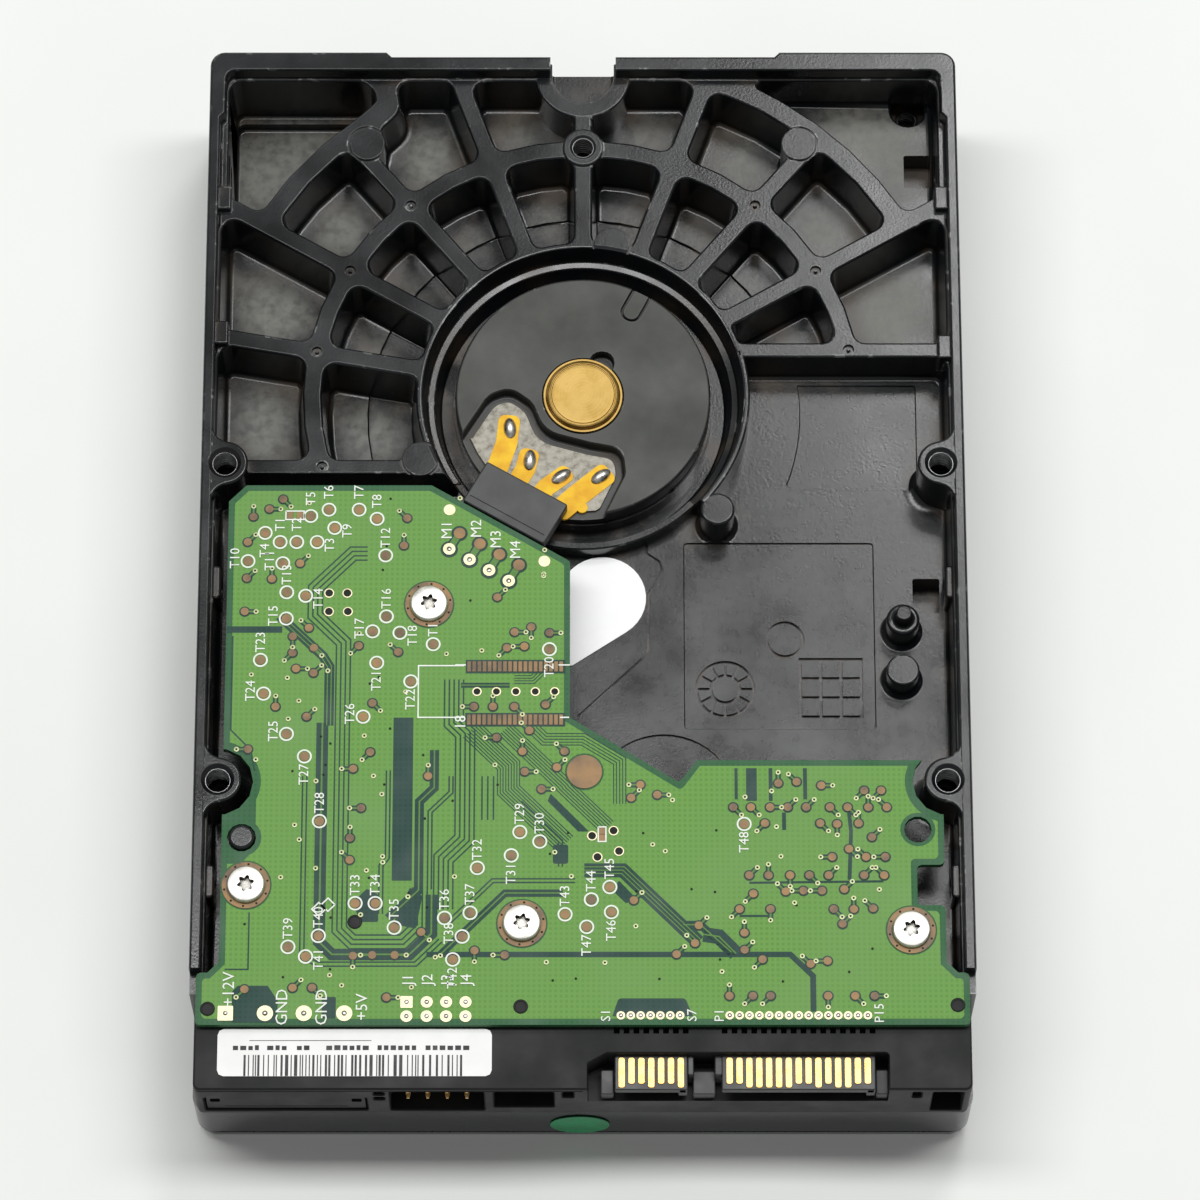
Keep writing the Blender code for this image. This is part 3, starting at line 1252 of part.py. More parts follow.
def interface_connector():
    """Moulded connector block with its sockets, the contact tongue, the pins and the label."""
    front = NEAR_END
    block = object_of(
        "interface_connector",
        box(-PLUG_HALF, front, PLUG_SEAM + SEAT_GAP, PLUG_HALF, PLUG_BACK, PLUG_TOP),
        PLASTIC,
    )
    low, high = PLUG_SEAM + SEAT_GAP + PLUG_WALL, PLUG_TOP - PLUG_WALL
    middle = (low + high) / 2
    back = front + SOCKET_DEPTH
    ahead = front - PLUG_WALL
    chamfer = (high - low) / 3
    power_left = -PLUG_HALF + POWER_SOCKET_INSET
    power_right = power_left + POWER_SOCKET_WIDTH
    jumper_left = power_right + JUMPER_GAP
    jumper_right = jumper_left + JUMPER_SOCKET_WIDTH
    end_right = PLUG_HALF - END_SOCKET_INSET
    # The four-pin socket has two bevelled corners at its top
    socket = [
        (power_left, low, 0.0),
        (power_right, low, 0.0),
        (power_right, high - chamfer, 0.0),
        (power_right - chamfer, high, 0.0),
        (power_left + chamfer, high, 0.0),
        (power_left, high - chamfer, 0.0),
    ]
    plain_sockets = (
        (jumper_left, jumper_right),
        (jumper_right + SPARE_SOCKET_GAPS[0], SATA_LEFT - SPARE_SOCKET_GAPS[1]),
        (end_right - END_SOCKET_WIDTH, end_right),
    )
    cuts = [upright(prism(socket, ahead, back))]
    cuts += [box(left, ahead, low, right, back, high) for left, right in plain_sockets]
    recess = [
        (SATA_LEFT + SATA_BEVEL, front + SATA_DEPTH, 0.0),
        (SATA_LEFT, front + SATA_DEPTH - SATA_BEVEL / 2, 0.0),
        (SATA_LEFT, ahead, 0.0),
        (SATA_RIGHT, ahead, 0.0),
        (SATA_RIGHT, front + SATA_DEPTH, 0.0),
    ]
    cuts.append(prism(recess, low, ABOVE))
    shaped(block, "DIFFERENCE", "sockets", cuts)
    tongue_top = PLUG_TOP - TONGUE_DROP
    root = front + SATA_DEPTH + PLUG_WALL / 2
    tip = front + SATA_DEPTH - TONGUE_REACH
    adds = []
    for left, right in TONGUE_SPANS:
        adds.append(box(left, tip, tongue_top - TONGUE_THICKNESS, right, root, tongue_top))
        adds.append(
            box(right - TONGUE_KEY, tip, tongue_top - 2 * TONGUE_THICKNESS, right, root, tongue_top - CONTACT_RISE)
        )
    for first, count in (SATA_DATA, SATA_POWER):
        for i in range(count):
            x = first + i * SATA_PITCH
            adds.append(
                box(
                    x - CONTACT_WIDTH / 2,
                    tip + CONTACT_WIDTH / 2,
                    tongue_top - CONTACT_RISE,
                    x + CONTACT_WIDTH / 2,
                    root,
                    tongue_top + CONTACT_RISE,
                )
            )
    for i in range(4):
        x = (power_left + power_right) / 2 + (i - 1.5) * POWER_PIN_PITCH
        adds.append(
            crosswise((x, middle), POWER_PIN_RADIUS, back - POWER_PIN_LENGTH, back + PLUG_WALL, "Y", HOLE_STEPS)
        )
    for i in range(JUMPER_COLUMNS):
        x = (jumper_left + jumper_right) / 2 + (i - (JUMPER_COLUMNS - 1) / 2) * JUMPER_PITCH
        for z in (middle - JUMPER_PITCH / 2, middle + JUMPER_PITCH / 2):
            half = JUMPER_PIN / 2
            adds.append(box(x - half, back - POWER_PIN_LENGTH, z - half, x + half, back + PLUG_WALL, z + half))
    shaped(block, "UNION", "contacts", adds)
    label_far = BOARD_NEAR - SCREW_HOLE_GAP
    label_left = -PLUG_HALF + LABEL_INSET
    label = rectangle(
        label_left, label_far - LABEL_SIZE[1], label_left + LABEL_SIZE[0], label_far, LABEL_CORNER
    )
    label_low = PLUG_TOP + STICKER_GAP
    object_of("bar_label", prism(label, label_low, label_low + STICKER_THICKNESS), PAPER)


def upright(shape):
    """Shape drawn in X and Z and extruded along Y, from one drawn in X and Y."""
    for vert in shape.verts:
        x, z, y = vert.co
        vert.co = (x, y, z)
    return shape


def stickers():
    """Seal sticker on the deck and the round dot on the front of the base."""
    centre = Vector(polar(MOTOR_WELL_RADIUS + SEAL_RADIUS - SEAL_WELL_OVERLAP, SEAL_BEARING))
    tail = centre + Vector(SEAL_TAIL)
    towards = angle_of(tail, centre)
    spread = math.degrees(math.acos(SEAL_RADIUS / (tail - centre).length))
    outline = arc(SEAL_RADIUS, towards + spread, towards + 360 - spread, 24, centre)
    outline.append((tail.x, tail.y, BOARD_EDGE_CORNER))
    low = DECK + STICKER_GAP
    object_of("seal_sticker", prism(outline, low, low + STICKER_THICKNESS), PAPER)
    front = NEAR_END + BAND_STEP - STICKER_GAP
    dot = crosswise((DOT_X, DOT_HEIGHT), DOT_RADIUS, front - STICKER_THICKNESS, front, "Y", HIDDEN_STEPS)
    object_of("dot_sticker", dot, GREEN_PAPER)


def motor():
    """Motor plate, bearing cap, flex, plug, stator and sleeve."""
    plate = object_of(
        "motor_plate",
        lathe(
            [
                (0, PLATE_BOTTOM),
                (PLATE_RADIUS - SEAT_GAP, PLATE_BOTTOM),
                (PLATE_RADIUS, PLATE_BOTTOM + PLATE_THICKNESS / 4),
                (PLATE_RADIUS, PLATE_TOP),
                (0, PLATE_TOP),
            ],
            SPINDLE,
            RING_STEPS,
        ),
        GREY_PAINT,
    )
    sleeve_outer = SHAFT_RADIUS + RUN_GAP + SLEEVE_WALL
    recess_floor = PLATE_TOP - PLATE_RECESS_DEPTH
    slot_centre = polar(PLATE_RADIUS, PLATE_SLOT_ANGLE)
    slot_size = (2 * PLATE_SLOT_LENGTH, PLATE_SLOT_WIDTH)
    shaped(
        plate,
        "DIFFERENCE",
        "cuts",
        [
            prism(flex_outline(0.0), recess_floor, ABOVE),
            rod(SPINDLE, CAP_SEAT_RADIUS, PLATE_TOP - CAP_SEAT_DEPTH, ABOVE, HIDDEN_STEPS),
            rod(SPINDLE, sleeve_outer + SEAT_GAP, BELOW, ABOVE, ROUND_STEPS),
            rod(polar(CAP_SEAT_RADIUS, PLATE_HOLE_ANGLE), PLATE_HOLE_RADIUS, recess_floor, ABOVE),
            prism(
                turned_box(slot_centre, slot_size, PLATE_SLOT_ANGLE, PLATE_SLOT_WIDTH / 2),
                PLATE_TOP - PLATE_SLOT_DEPTH,
                ABOVE,
            ),
        ],
    )
    cap_low = PLATE_TOP - CAP_SEAT_DEPTH + SEAT_GAP
    cap_top = PLATE_TOP + CAP_HEIGHT
    object_of(
        "bearing_cap",
        lathe(
            [
                (0, cap_low),
                (CAP_RADIUS, cap_low),
                (CAP_RADIUS, cap_top - CAP_RIM / 2),
                (CAP_RADIUS - CAP_RIM / 2, cap_top),
                (CAP_RADIUS - 1.5 * CAP_RIM, cap_top),
                (CAP_RADIUS - 2 * CAP_RIM, cap_top - CAP_RIM / 2),
                (0, cap_top - CAP_RIM / 2),
            ],
            SPINDLE,
            RING_STEPS,
        ),
        BRASS,
    )
    flex_low = recess_floor + SEAT_GAP
    object_of("motor_flex", prism(flex_outline(FLEX_MARGIN), flex_low, flex_low + FLEX_THICKNESS), POLYIMIDE)
    plug_low = flex_low + FLEX_THICKNESS + SEAT_GAP
    plug_place = polar(PLATE_RADIUS + MOTOR_PLUG_OVERHANG, MOTOR_PLUG_BEARING)
    plug = turned_box(plug_place, MOTOR_PLUG_SIZE[:2], MOTOR_PLUG_ANGLE, MOTOR_PLUG_CORNER)
    object_of("motor_connector", prism(plug, plug_low, plug_low + MOTOR_PLUG_SIZE[2]), PLASTIC)

    sleeve_low = FLANGE_TOP + RUN_GAP
    bore = SHAFT_RADIUS + RUN_GAP / 2
    sleeve_top = PLATE_TOP - CAP_SEAT_DEPTH - SEAT_GAP
    object_of(
        "bearing_sleeve",
        lathe(
            [
                (bore, sleeve_low),
                (sleeve_outer, sleeve_low),
                (sleeve_outer, sleeve_top),
                (bore, sleeve_top),
            ],
            SPINDLE,
            ROUND_STEPS,
        ),
        BRASS,
    )
    skirt_inner = HUB_FLANGE_RADIUS - HUB_SKIRT_WALL
    stator_outer = skirt_inner - SEAT_GAP - MAGNET_WALL - RUN_GAP
    low, high = FLANGE_TOP + STATOR_MARGIN, PLATE_BOTTOM - STATOR_MARGIN
    core_inner = sleeve_outer + SEAT_GAP
    core_outer = core_inner + STATOR_CORE_WALL
    stator = object_of(
        "wound_stator",
        lathe([(core_inner, low), (core_outer, low), (core_outer, high), (core_inner, high)], SPINDLE),
        COPPER,
    )
    teeth = []
    for i in range(STATOR_TEETH):
        angle = 360 * i / STATOR_TEETH
        shoe_span = math.degrees(STATOR_SHOE_WIDTH / stator_outer)
        shoe_inner = stator_outer - STATOR_SHOE_DEPTH
        tooth_middle = (core_outer + shoe_inner) / 2
        tooth_length = shoe_inner - core_outer + STATOR_CORE_WALL
        teeth.append(
            prism(
                turned_box(polar(tooth_middle, angle), (tooth_length, WOUND_TOOTH_WIDTH), angle),
                low + WINDING_BULGE / 2,
                high - WINDING_BULGE / 2,
            )
        )
        teeth.append(
            prism(
                arc(stator_outer, angle - shoe_span / 2, angle + shoe_span / 2, 2)
                + arc(shoe_inner, angle + shoe_span / 2, angle - shoe_span / 2, 2),
                low + WINDING_BULGE,
                high - WINDING_BULGE,
            )
        )
    shaped(stator, "UNION", "teeth", teeth)


def flex_outline(margin):
    """Wavy outline of the flex recess, or of the flex itself, which keeps a margin inside it."""
    corners = [
        (SPINDLE.x + x * PLATE_RADIUS, SPINDLE.y + y * PLATE_RADIUS, fillet * PLATE_RADIUS)
        for x, y, fillet in reversed(FLEX_WAVE)
    ]
    open_side = PLATE_RADIUS * 1.02 if margin == 0.0 else PLATE_RADIUS - margin
    middle = MOTOR_PLUG_BEARING
    sweep = arc(open_side, middle + FLEX_OPEN_ANGLES[0], middle + FLEX_OPEN_ANGLES[1], 8)
    if margin > 0:
        points = drawn([(x, y, r) for x, y, r in corners + sweep], margin)
        return [(p.x, p.y, 0.0) for p in points]
    return corners + sweep


def spindle():
    """Turning body: hub, shaft, rotor magnet, platters, spacer, clamp and its screw."""
    axis = axis_empty("spindle_axis", SPINDLE)
    bore = CLAMP_SHANK_RADIUS + SCREW_HOLE_GAP
    hub_low = PLATTER_LOW_1
    skirt_top = PLATE_BOTTOM - RUN_GAP
    skirt_inner = HUB_FLANGE_RADIUS - HUB_SKIRT_WALL
    shaft_bore = SHAFT_RADIUS + SEAT_GAP
    screw_top = (hub_low + FLANGE_LOW) / 2
    object_of(
        "rotor_hub",
        lathe(
            [
                (0, screw_top),
                (bore, screw_top),
                (bore, hub_low),
                (HUB_RADIUS, hub_low),
                (HUB_RADIUS, FLANGE_LOW),
                (HUB_FLANGE_RADIUS, FLANGE_LOW),
                (HUB_FLANGE_RADIUS, skirt_top),
                (skirt_inner, skirt_top),
                (skirt_inner, FLANGE_TOP),
                (shaft_bore, FLANGE_TOP),
                (shaft_bore, FLANGE_LOW),
                (0, FLANGE_LOW),
            ]
        ),
        ALUMINIUM,
        axis,
    )
    shaft_top = PLATE_TOP - CAP_SEAT_DEPTH - RUN_GAP
    object_of(
        "spindle_shaft",
        lathe(
            [
                (0, FLANGE_LOW + SEAT_GAP),
                (SHAFT_RADIUS, FLANGE_LOW + SEAT_GAP),
                (SHAFT_RADIUS, shaft_top),
                (0, shaft_top),
            ],
            steps=ROUND_STEPS,
        ),
        STEEL,
        axis,
    )
    magnet_outer = skirt_inner - SEAT_GAP
    magnet_inner = magnet_outer - MAGNET_WALL
    low, high = FLANGE_TOP + MAGNET_INSET, skirt_top - MAGNET_INSET
    object_of(
        "rotor_magnet",
        lathe([(magnet_inner, low), (magnet_outer, low), (magnet_outer, high), (magnet_inner, high)]),
        FERRITE,
        axis,
    )
    disc_bore = HUB_RADIUS + SEAT_GAP
    rings = (
        ("platter_1", PLATTER_LOW_1, PLATTER_THICKNESS, PLATTER_RADIUS, MIRROR_METAL),
        ("platter_spacer", SPACER_LOW, SPACER_THICKNESS, SPACER_RADIUS, ALUMINIUM),
        ("platter_2", PLATTER_LOW_2, PLATTER_THICKNESS, PLATTER_RADIUS, MIRROR_METAL),
    )
    for name, base, thickness, radius, finish in rings:
        top = base + thickness
        ring = [(disc_bore, base), (radius, base), (radius, top), (disc_bore, top)]
        object_of(name, lathe(ring, steps=RING_STEPS), finish, axis)
    clamp_top = PLATTER_LOW_1 - SEAT_GAP
    clamp_low = clamp_top - CLAMP_THICKNESS
    dish = CLAMP_THICKNESS / 3
    object_of(
        "disk_clamp",
        lathe(
            [
                (bore, clamp_low + dish),
                (CLAMP_RADIUS - 2 * CLAMP_THICKNESS, clamp_low + dish),
                (CLAMP_RADIUS - CLAMP_THICKNESS, clamp_low),
                (CLAMP_RADIUS, clamp_low + dish),
                (CLAMP_RADIUS, clamp_top),
                (bore, clamp_top),
            ]
        ),
        STEEL,
        axis,
    )
    head_top = clamp_low + dish - SEAT_GAP
    object_of(
        "clamp_screw",
        lathe(
            [
                (0, head_top - CLAMP_SCREW_HEAD),
                (CLAMP_SCREW_RADIUS, head_top - CLAMP_SCREW_HEAD),
                (CLAMP_SCREW_RADIUS, head_top),
                (CLAMP_SHANK_RADIUS, head_top),
                (CLAMP_SHANK_RADIUS, screw_top - SEAT_GAP),
                (0, screw_top - SEAT_GAP),
            ],
            steps=ROUND_STEPS,
        ),
        STEEL,
        axis,
    )


def park_angle():
    """Direction of the arms, in degrees, with the heads at their parking radius."""
    cosine = (PIVOT_DISTANCE**2 + HEAD_REACH**2 - HEAD_PARK_RADIUS**2) / (2 * PIVOT_DISTANCE * HEAD_REACH)
    return angle_of(SPINDLE, PIVOT) - math.degrees(math.acos(cosine))


def along_arm(degrees, distance, across=0.0, centre=(0.0, 0.0)):
    """Point at a distance along a direction and across it."""
    ahead = Vector(polar(distance, degrees, centre))
    side = Vector(polar(across, degrees + 90, (0, 0)))
    return ahead.x + side.x, ahead.y + side.y


def taper(degrees, start, end, start_width, end_width, radius=0.0, centre=(0.0, 0.0)):
    """Outline of a bar along a direction, narrowing from its start to its end."""
    ends = ((start, -start_width), (end, -end_width), (end, end_width), (start, start_width))
    return [(*along_arm(degrees, distance, width / 2, centre), radius) for distance, width in ends]


def wedge(degrees, half_angle, inner, outer, centre, steps=8):
    """Outline of a ring sector about a direction."""
    return arc(outer, degrees - half_angle, degrees + half_angle, steps, centre) + arc(
        inner, degrees + half_angle, degrees - half_angle, steps, centre
    )


def coil_reach():
    """Outer radius that the bay's near and left walls leave for the coil and the yokes, as (coil, yoke)."""
    near_room = PIVOT.y - (NEAR_END + BAY_NEAR_WALL)
    left_room = PIVOT.x + HALF_WIDTH - BAY_LEFT_INSET
    room = min(near_room, left_room) - YOKE_CLEARANCE
    return room - MAGNET_MARGIN - RUN_GAP, room


def actuator():
    """Swinging body: arm block, suspensions, pivot sleeve and voice coil."""
    axis = axis_empty("actuator_axis", PIVOT)
    ahead = park_angle()
    behind = ahead + 180
    coil_outer, _ = coil_reach()
    low_arm = COVER_THICKNESS + RUN_GAP + ARM_THICKNESS / 2
    high_arm = 2 * ARM_MIDDLE - low_arm - ARM_THICKNESS
    levels = (low_arm, ARM_MIDDLE - ARM_THICKNESS / 2, high_arm)
    hub_low, hub_top = low_arm, high_arm + ARM_THICKNESS
    bore = PIVOT_SLEEVE_RADIUS + SEAT_GAP
    block = object_of(
        "actuator_arm",
        lathe([(bore, hub_low), (PIVOT_HUB_RADIUS, hub_low), (PIVOT_HUB_RADIUS, hub_top), (bore, hub_top)]),
        ALUMINIUM,
        axis,
    )
    root = (bore + PIVOT_HUB_RADIUS) / 2
    adds = [
        prism(taper(ahead, root, ARM_LENGTH, ARM_ROOT_WIDTH, ARM_TIP_WIDTH, ARM_CORNER), level, level + ARM_THICKNESS)
        for level in levels
    ]
    coil_low = ARM_MIDDLE - COIL_THICKNESS / 2
    coil_high = coil_low + COIL_THICKNESS
    side_angle = COIL_HALF_ANGLE + math.degrees(SEAT_GAP / COIL_INNER)
    wire = (coil_outer - COIL_INNER) * COIL_WIRE_SHARE
    fork_reach = coil_outer - wire
    for side in (-1, 1):
        angle = behind + side * side_angle
        fork = [
            (*along_arm(angle, root, 0.0), 0.0),
            (*along_arm(angle, fork_reach, 0.0), 0.0),
            (*along_arm(angle, fork_reach, side * COIL_FORK_WIDTH), 0.0),
            (*along_arm(angle, root, side * COIL_FORK_WIDTH), 0.0),
        ]
        if side < 0:
            fork.reverse()
        adds.append(prism(fork, coil_low, coil_high))
    shaped(block, "UNION", "arms", adds)
    shaped(block, "DIFFERENCE", "bore", [rod((0, 0), bore, BELOW, ABOVE, HIDDEN_STEPS)])
    coil = object_of(
        "voice_coil",
        prism(wedge(behind, COIL_HALF_ANGLE, COIL_INNER, coil_outer, (0, 0)), coil_low, coil_high),
        COPPER,
        axis,
    )
    inner_half = COIL_HALF_ANGLE - math.degrees(wire / ((COIL_INNER + coil_outer) / 2))
    shaped(
        coil,
        "DIFFERENCE",
        "window",
        [prism(wedge(behind, inner_half, COIL_INNER + wire, coil_outer - wire, (0, 0)), BELOW, ABOVE)],
    )
    object_of(
        "pivot_sleeve",
        lathe(
            [
                (PIVOT_POST_RADIUS + RUN_GAP, hub_low),
                (PIVOT_SLEEVE_RADIUS, hub_low),
                (PIVOT_SLEEVE_RADIUS, hub_top),
                (PIVOT_POST_RADIUS + RUN_GAP, hub_top),
            ],
            steps=ROUND_STEPS,
        ),
        STEEL,
        axis,
    )
    # Each suspension lies on an arm and carries its slider to a platter face
    faces = (
        (levels[0] + ARM_THICKNESS, 1, PLATTER_LOW_1),
        (levels[1], -1, PLATTER_LOW_1 + PLATTER_THICKNESS),
        (levels[1] + ARM_THICKNESS, 1, PLATTER_LOW_2),
        (levels[2], -1, PLATTER_LOW_2 + PLATTER_THICKNESS),
    )
    start = ARM_LENGTH - SUSPENSION_OVERLAP
    end = HEAD_REACH + SLIDER_SIZE / 2
    for number, (face, up, platter) in enumerate(faces, 1):
        near, away = face + up * SEAT_GAP, face + up * (SEAT_GAP + SUSPENSION_THICKNESS)
        beam = object_of(
            f"head_suspension_{number}",
            prism(
                taper(ahead, start, end, SUSPENSION_ROOT_WIDTH, SUSPENSION_TIP_WIDTH),
                min(near, away),
                max(near, away),
            ),
            STEEL,
            axis,
        )
        tip = platter - up * SEAT_GAP
        slider = turned_box(polar(HEAD_REACH, ahead, (0, 0)), (SLIDER_SIZE, 0.8 * SLIDER_SIZE), ahead)
        shaped(beam, "UNION", "slider", [prism(slider, min(near, tip), max(near, tip))])


def voice_coil_motor():
    """Fixed iron and magnets round the voice coil, the pivot post and the crash stops."""
    behind = park_angle() + 180
    middle = behind - SWING_DEGREES / 2
    _, yoke_outer = coil_reach()
    yoke_inner = COIL_INNER - MAGNET_MARGIN
    magnet = wedge(middle, YOKE_HALF_ANGLE - YOKE_SIDE_ANGLE, COIL_INNER, yoke_outer - MAGNET_MARGIN, PIVOT)
    for name, low in (("lower_yoke", YOKE_LOW), ("upper_yoke", YOKE_TOP - YOKE_THICKNESS)):
        object_of(
            name,
            prism(wedge(middle, YOKE_HALF_ANGLE, yoke_inner, yoke_outer, PIVOT), low, low + YOKE_THICKNESS),
            STEEL,
        )
    for name, low in (
        ("lower_magnet", YOKE_LOW + YOKE_THICKNESS + SEAT_GAP),
        ("upper_magnet", YOKE_TOP - YOKE_THICKNESS - SEAT_GAP - MAGNET_THICKNESS),
    ):
        object_of(name, prism(magnet, low, low + MAGNET_THICKNESS), FERRITE)
    post_low, post_top = YOKE_LOW + YOKE_THICKNESS + SEAT_GAP, YOKE_TOP - YOKE_THICKNESS - SEAT_GAP
    post_radius = yoke_outer - 2 * YOKE_POST_RADIUS
    stop_radius = post_radius - YOKE_POST_RADIUS - STOP_RADIUS - RUN_GAP
    stop_reach = COIL_FORK_WIDTH + STOP_RADIUS + RUN_GAP
    stop_angle = SWING_DEGREES / 2 + COIL_HALF_ANGLE + math.degrees(math.atan(stop_reach / stop_radius))
    for number, side in enumerate((-1, 1), 1):
        place = polar(post_radius, middle + side * (YOKE_HALF_ANGLE - YOKE_SIDE_ANGLE / 4), PIVOT)
        object_of(f"yoke_post_{number}", rod(place, YOKE_POST_RADIUS, post_low, post_top), STEEL)
        stop = polar(stop_radius, middle + side * (stop_angle + STOP_FREE_ANGLE), PIVOT)
        object_of(f"crash_stop_{number}", rod(stop, STOP_RADIUS, post_low, post_top), RUBBER)
    object_of(
        "pivot_post",
        lathe(
            [
                (0, COVER_THICKNESS + SEAT_GAP),
                (PIVOT_POST_RADIUS, COVER_THICKNESS + SEAT_GAP),
                (PIVOT_POST_RADIUS, BAY_CEILING - SEAT_GAP),
                (0, BAY_CEILING - SEAT_GAP),
            ],
            PIVOT,
            ROUND_STEPS,
        ),
        STEEL,
    )


def filters():
    """Breather filter over the cover's hole and the recirculation filter at the platters' edge."""
    width, length, height = BREATHER_FILTER_SIZE
    low = COVER_THICKNESS + SEAT_GAP
    breather = turned_box(breather_place(), (width, length), 0, FILTER_CORNER)
    object_of("breather_filter", prism(breather, low, low + height), FELT)
    width, length, height = RECIRCULATION_FILTER_SIZE
    place = polar(CHAMBER_RADIUS + RUN_GAP + length / 2, FILTER_ANGLE)
    object_of(
        "recirculation_filter", prism(turned_box(place, (length, width), FILTER_ANGLE), low, low + height), FELT
    )


base_casting()
cover_and_gasket()
circuit_board()
interface_connector()
stickers()
motor()
spindle()
actuator()
voice_coil_motor()
filters()
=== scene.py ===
"""Looks of a 3.5-inch hard disk drive that lies on its cover with the circuit board up.

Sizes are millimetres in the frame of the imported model: X across, Y away from the connector end, Z up.
"""

import logging
import math
import random
from dataclasses import dataclass, field
from enum import Enum
from typing import Any, Iterable, Sequence

import bmesh
import bpy
from mathutils import Matrix, Vector


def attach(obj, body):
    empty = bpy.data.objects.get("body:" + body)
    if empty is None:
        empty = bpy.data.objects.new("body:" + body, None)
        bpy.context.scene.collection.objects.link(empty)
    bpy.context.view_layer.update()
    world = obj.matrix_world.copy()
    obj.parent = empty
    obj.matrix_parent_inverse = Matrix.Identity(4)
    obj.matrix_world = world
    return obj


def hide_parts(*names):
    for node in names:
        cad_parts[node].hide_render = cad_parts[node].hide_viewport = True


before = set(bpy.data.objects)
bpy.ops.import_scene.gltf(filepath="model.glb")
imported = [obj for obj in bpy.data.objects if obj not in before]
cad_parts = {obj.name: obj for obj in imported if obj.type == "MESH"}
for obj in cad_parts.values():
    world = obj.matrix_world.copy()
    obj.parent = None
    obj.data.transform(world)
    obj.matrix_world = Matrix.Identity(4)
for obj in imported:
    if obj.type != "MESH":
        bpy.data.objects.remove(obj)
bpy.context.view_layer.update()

LOG = logging.getLogger("drive")
MM = 0.001
# How far a cutter stands out of the surface that it opens
REACH = 2.0
# Distance by which cut faces keep clear of others at their level
SKIM = 0.02
# A wave texture of scale 1 repeats at this distance
WAVE_PERIOD = math.pi / 10
# Angles in degrees at which a rounded edge is drawn
QUARTER = (0.0, 30.0, 60.0, 90.0)
# Edges flatter than this many degrees are shaded smooth
SMOOTH = 40.0
# Every piece that scene.py adds stays on the closed case
BODY = "drive_body"
MOTOR_AXIS = (0.0, 23.425)

Place = tuple[float, float]
# A corner of an outline: its place and its fillet
Corner = tuple[float, float, float]
Shape = bmesh.types.BMesh
Piece = bpy.types.Object
Tree = bpy.types.NodeTree
Socket = bpy.types.NodeSocket


class Join(Enum):
    """How shapes meet a mesh."""

    ADD = "UNION"
    CUT = "DIFFERENCE"


def linear(code: str) -> tuple[float, float, float, float]:
    """Turn an sRGB hex value into the linear colour that a shader takes.

    Args:
        code: Six hex digits.

    Returns:
        Red, green, blue and alpha.
    """
    parts = [int(code[i : i + 2], 16) / 255 for i in (0, 2, 4)]
    red, green, blue = (c / 12.92 if c <= 0.04045 else ((c + 0.055) / 1.055) ** 2.4 for c in parts)
    return red, green, blue, 1.0


def per_mm(size: float) -> float:
    """Texture scale at which a pattern repeats about every so many millimetres."""
    return 1 / (size * MM)


def add(
    tree: Tree,
    kind: str,
    inputs: dict[str | int, Any] | Sequence[Any] = (),
    output: str | int = 0,
    **settings: Any,
) -> Socket:
    """Add a node with its settings, values and links.

    Args:
        tree: Tree that takes the node.
        kind: Node type without its ShaderNode prefix.
        inputs: Values or sockets by the input's name or number, or in the inputs' order.
        output: Name or number of the output that is wanted.
        **settings: Properties of the node.

    Returns:
        The output.
    """
    node = tree.nodes.new("ShaderNode" + kind)
    for key, value in settings.items():
        setattr(node, key, value)
    for key, value in inputs.items() if isinstance(inputs, dict) else enumerate(inputs):
        if isinstance(value, Socket):
            tree.links.new(value, node.inputs[key])
        else:
            node.inputs[key].default_value = value
    return node.outputs[output]


def polar(radius: float, degrees: float, centre: Place = (0.0, 0.0)) -> Place:
    """Point at a radius and an angle round a centre."""
    angle = math.radians(degrees)
    return centre[0] + radius * math.cos(angle), centre[1] + radius * math.sin(angle)


def arc(radius: float, start: float, end: float, steps: int, centre: Place = (0.0, 0.0)) -> list[Corner]:
    """Sharp corners along an arc from one angle in degrees to another, both ends among them."""
    return [(*polar(radius, start + (end - start) * i / steps, centre), 0.0) for i in range(steps + 1)]


def rectangle(left: float, near: float, right: float, far: float, radius: float = 0.0) -> list[Corner]:
    """Corners of a rectangle, counter-clockwise."""
    return [(left, near, radius), (right, near, radius), (right, far, radius), (left, far, radius)]


def turned(centre: Place, size: Place, degrees: float, radius: float = 0.0) -> list[Corner]:
    """Corners of a rectangle turned about its middle.

    Args:
        centre: Middle of the rectangle.
        size: Its two sides.
        degrees: Turn, counter-clockwise.
        radius: Fillet of its corners.

    Returns:
        The corners.
    """
    spin = Matrix.Rotation(math.radians(degrees), 2)
    signs = ((-1, -1), (1, -1), (1, 1), (-1, 1))
    points = [spin @ Vector((sx * size[0] / 2, sy * size[1] / 2)) for sx, sy in signs]
    return [(centre[0] + p.x, centre[1] + p.y, radius) for p in points]


def quarter(radius: float) -> list[Place]:
    """Steps of a quarter round: how far each has turned in, and how far it has risen."""
    angles = [math.radians(turn) for turn in QUARTER]
    return [(radius * (1 - math.cos(angle)), radius * math.sin(angle)) for angle in angles]


def cove(radius: float, turns: Sequence[float] = QUARTER) -> list[Place]:
    """Steps of a hollow quarter round: how far each is from the wall, and how far it has risen."""
    angles = [math.radians(turn) for turn in turns]
    return [(radius * (1 - math.sin(angle)), radius * (1 - math.cos(angle))) for angle in angles]


def mitre(before: Vector, after: Vector, distance: float, least: float) -> Vector:
    """How far a bend's corner moves left with its sides, kept short at sharp bends by a least divisor."""
    one, two = Vector((-before.y, before.x)), Vector((-after.y, after.x))
    return (one + two) * distance / max(1 + one.dot(two), least)


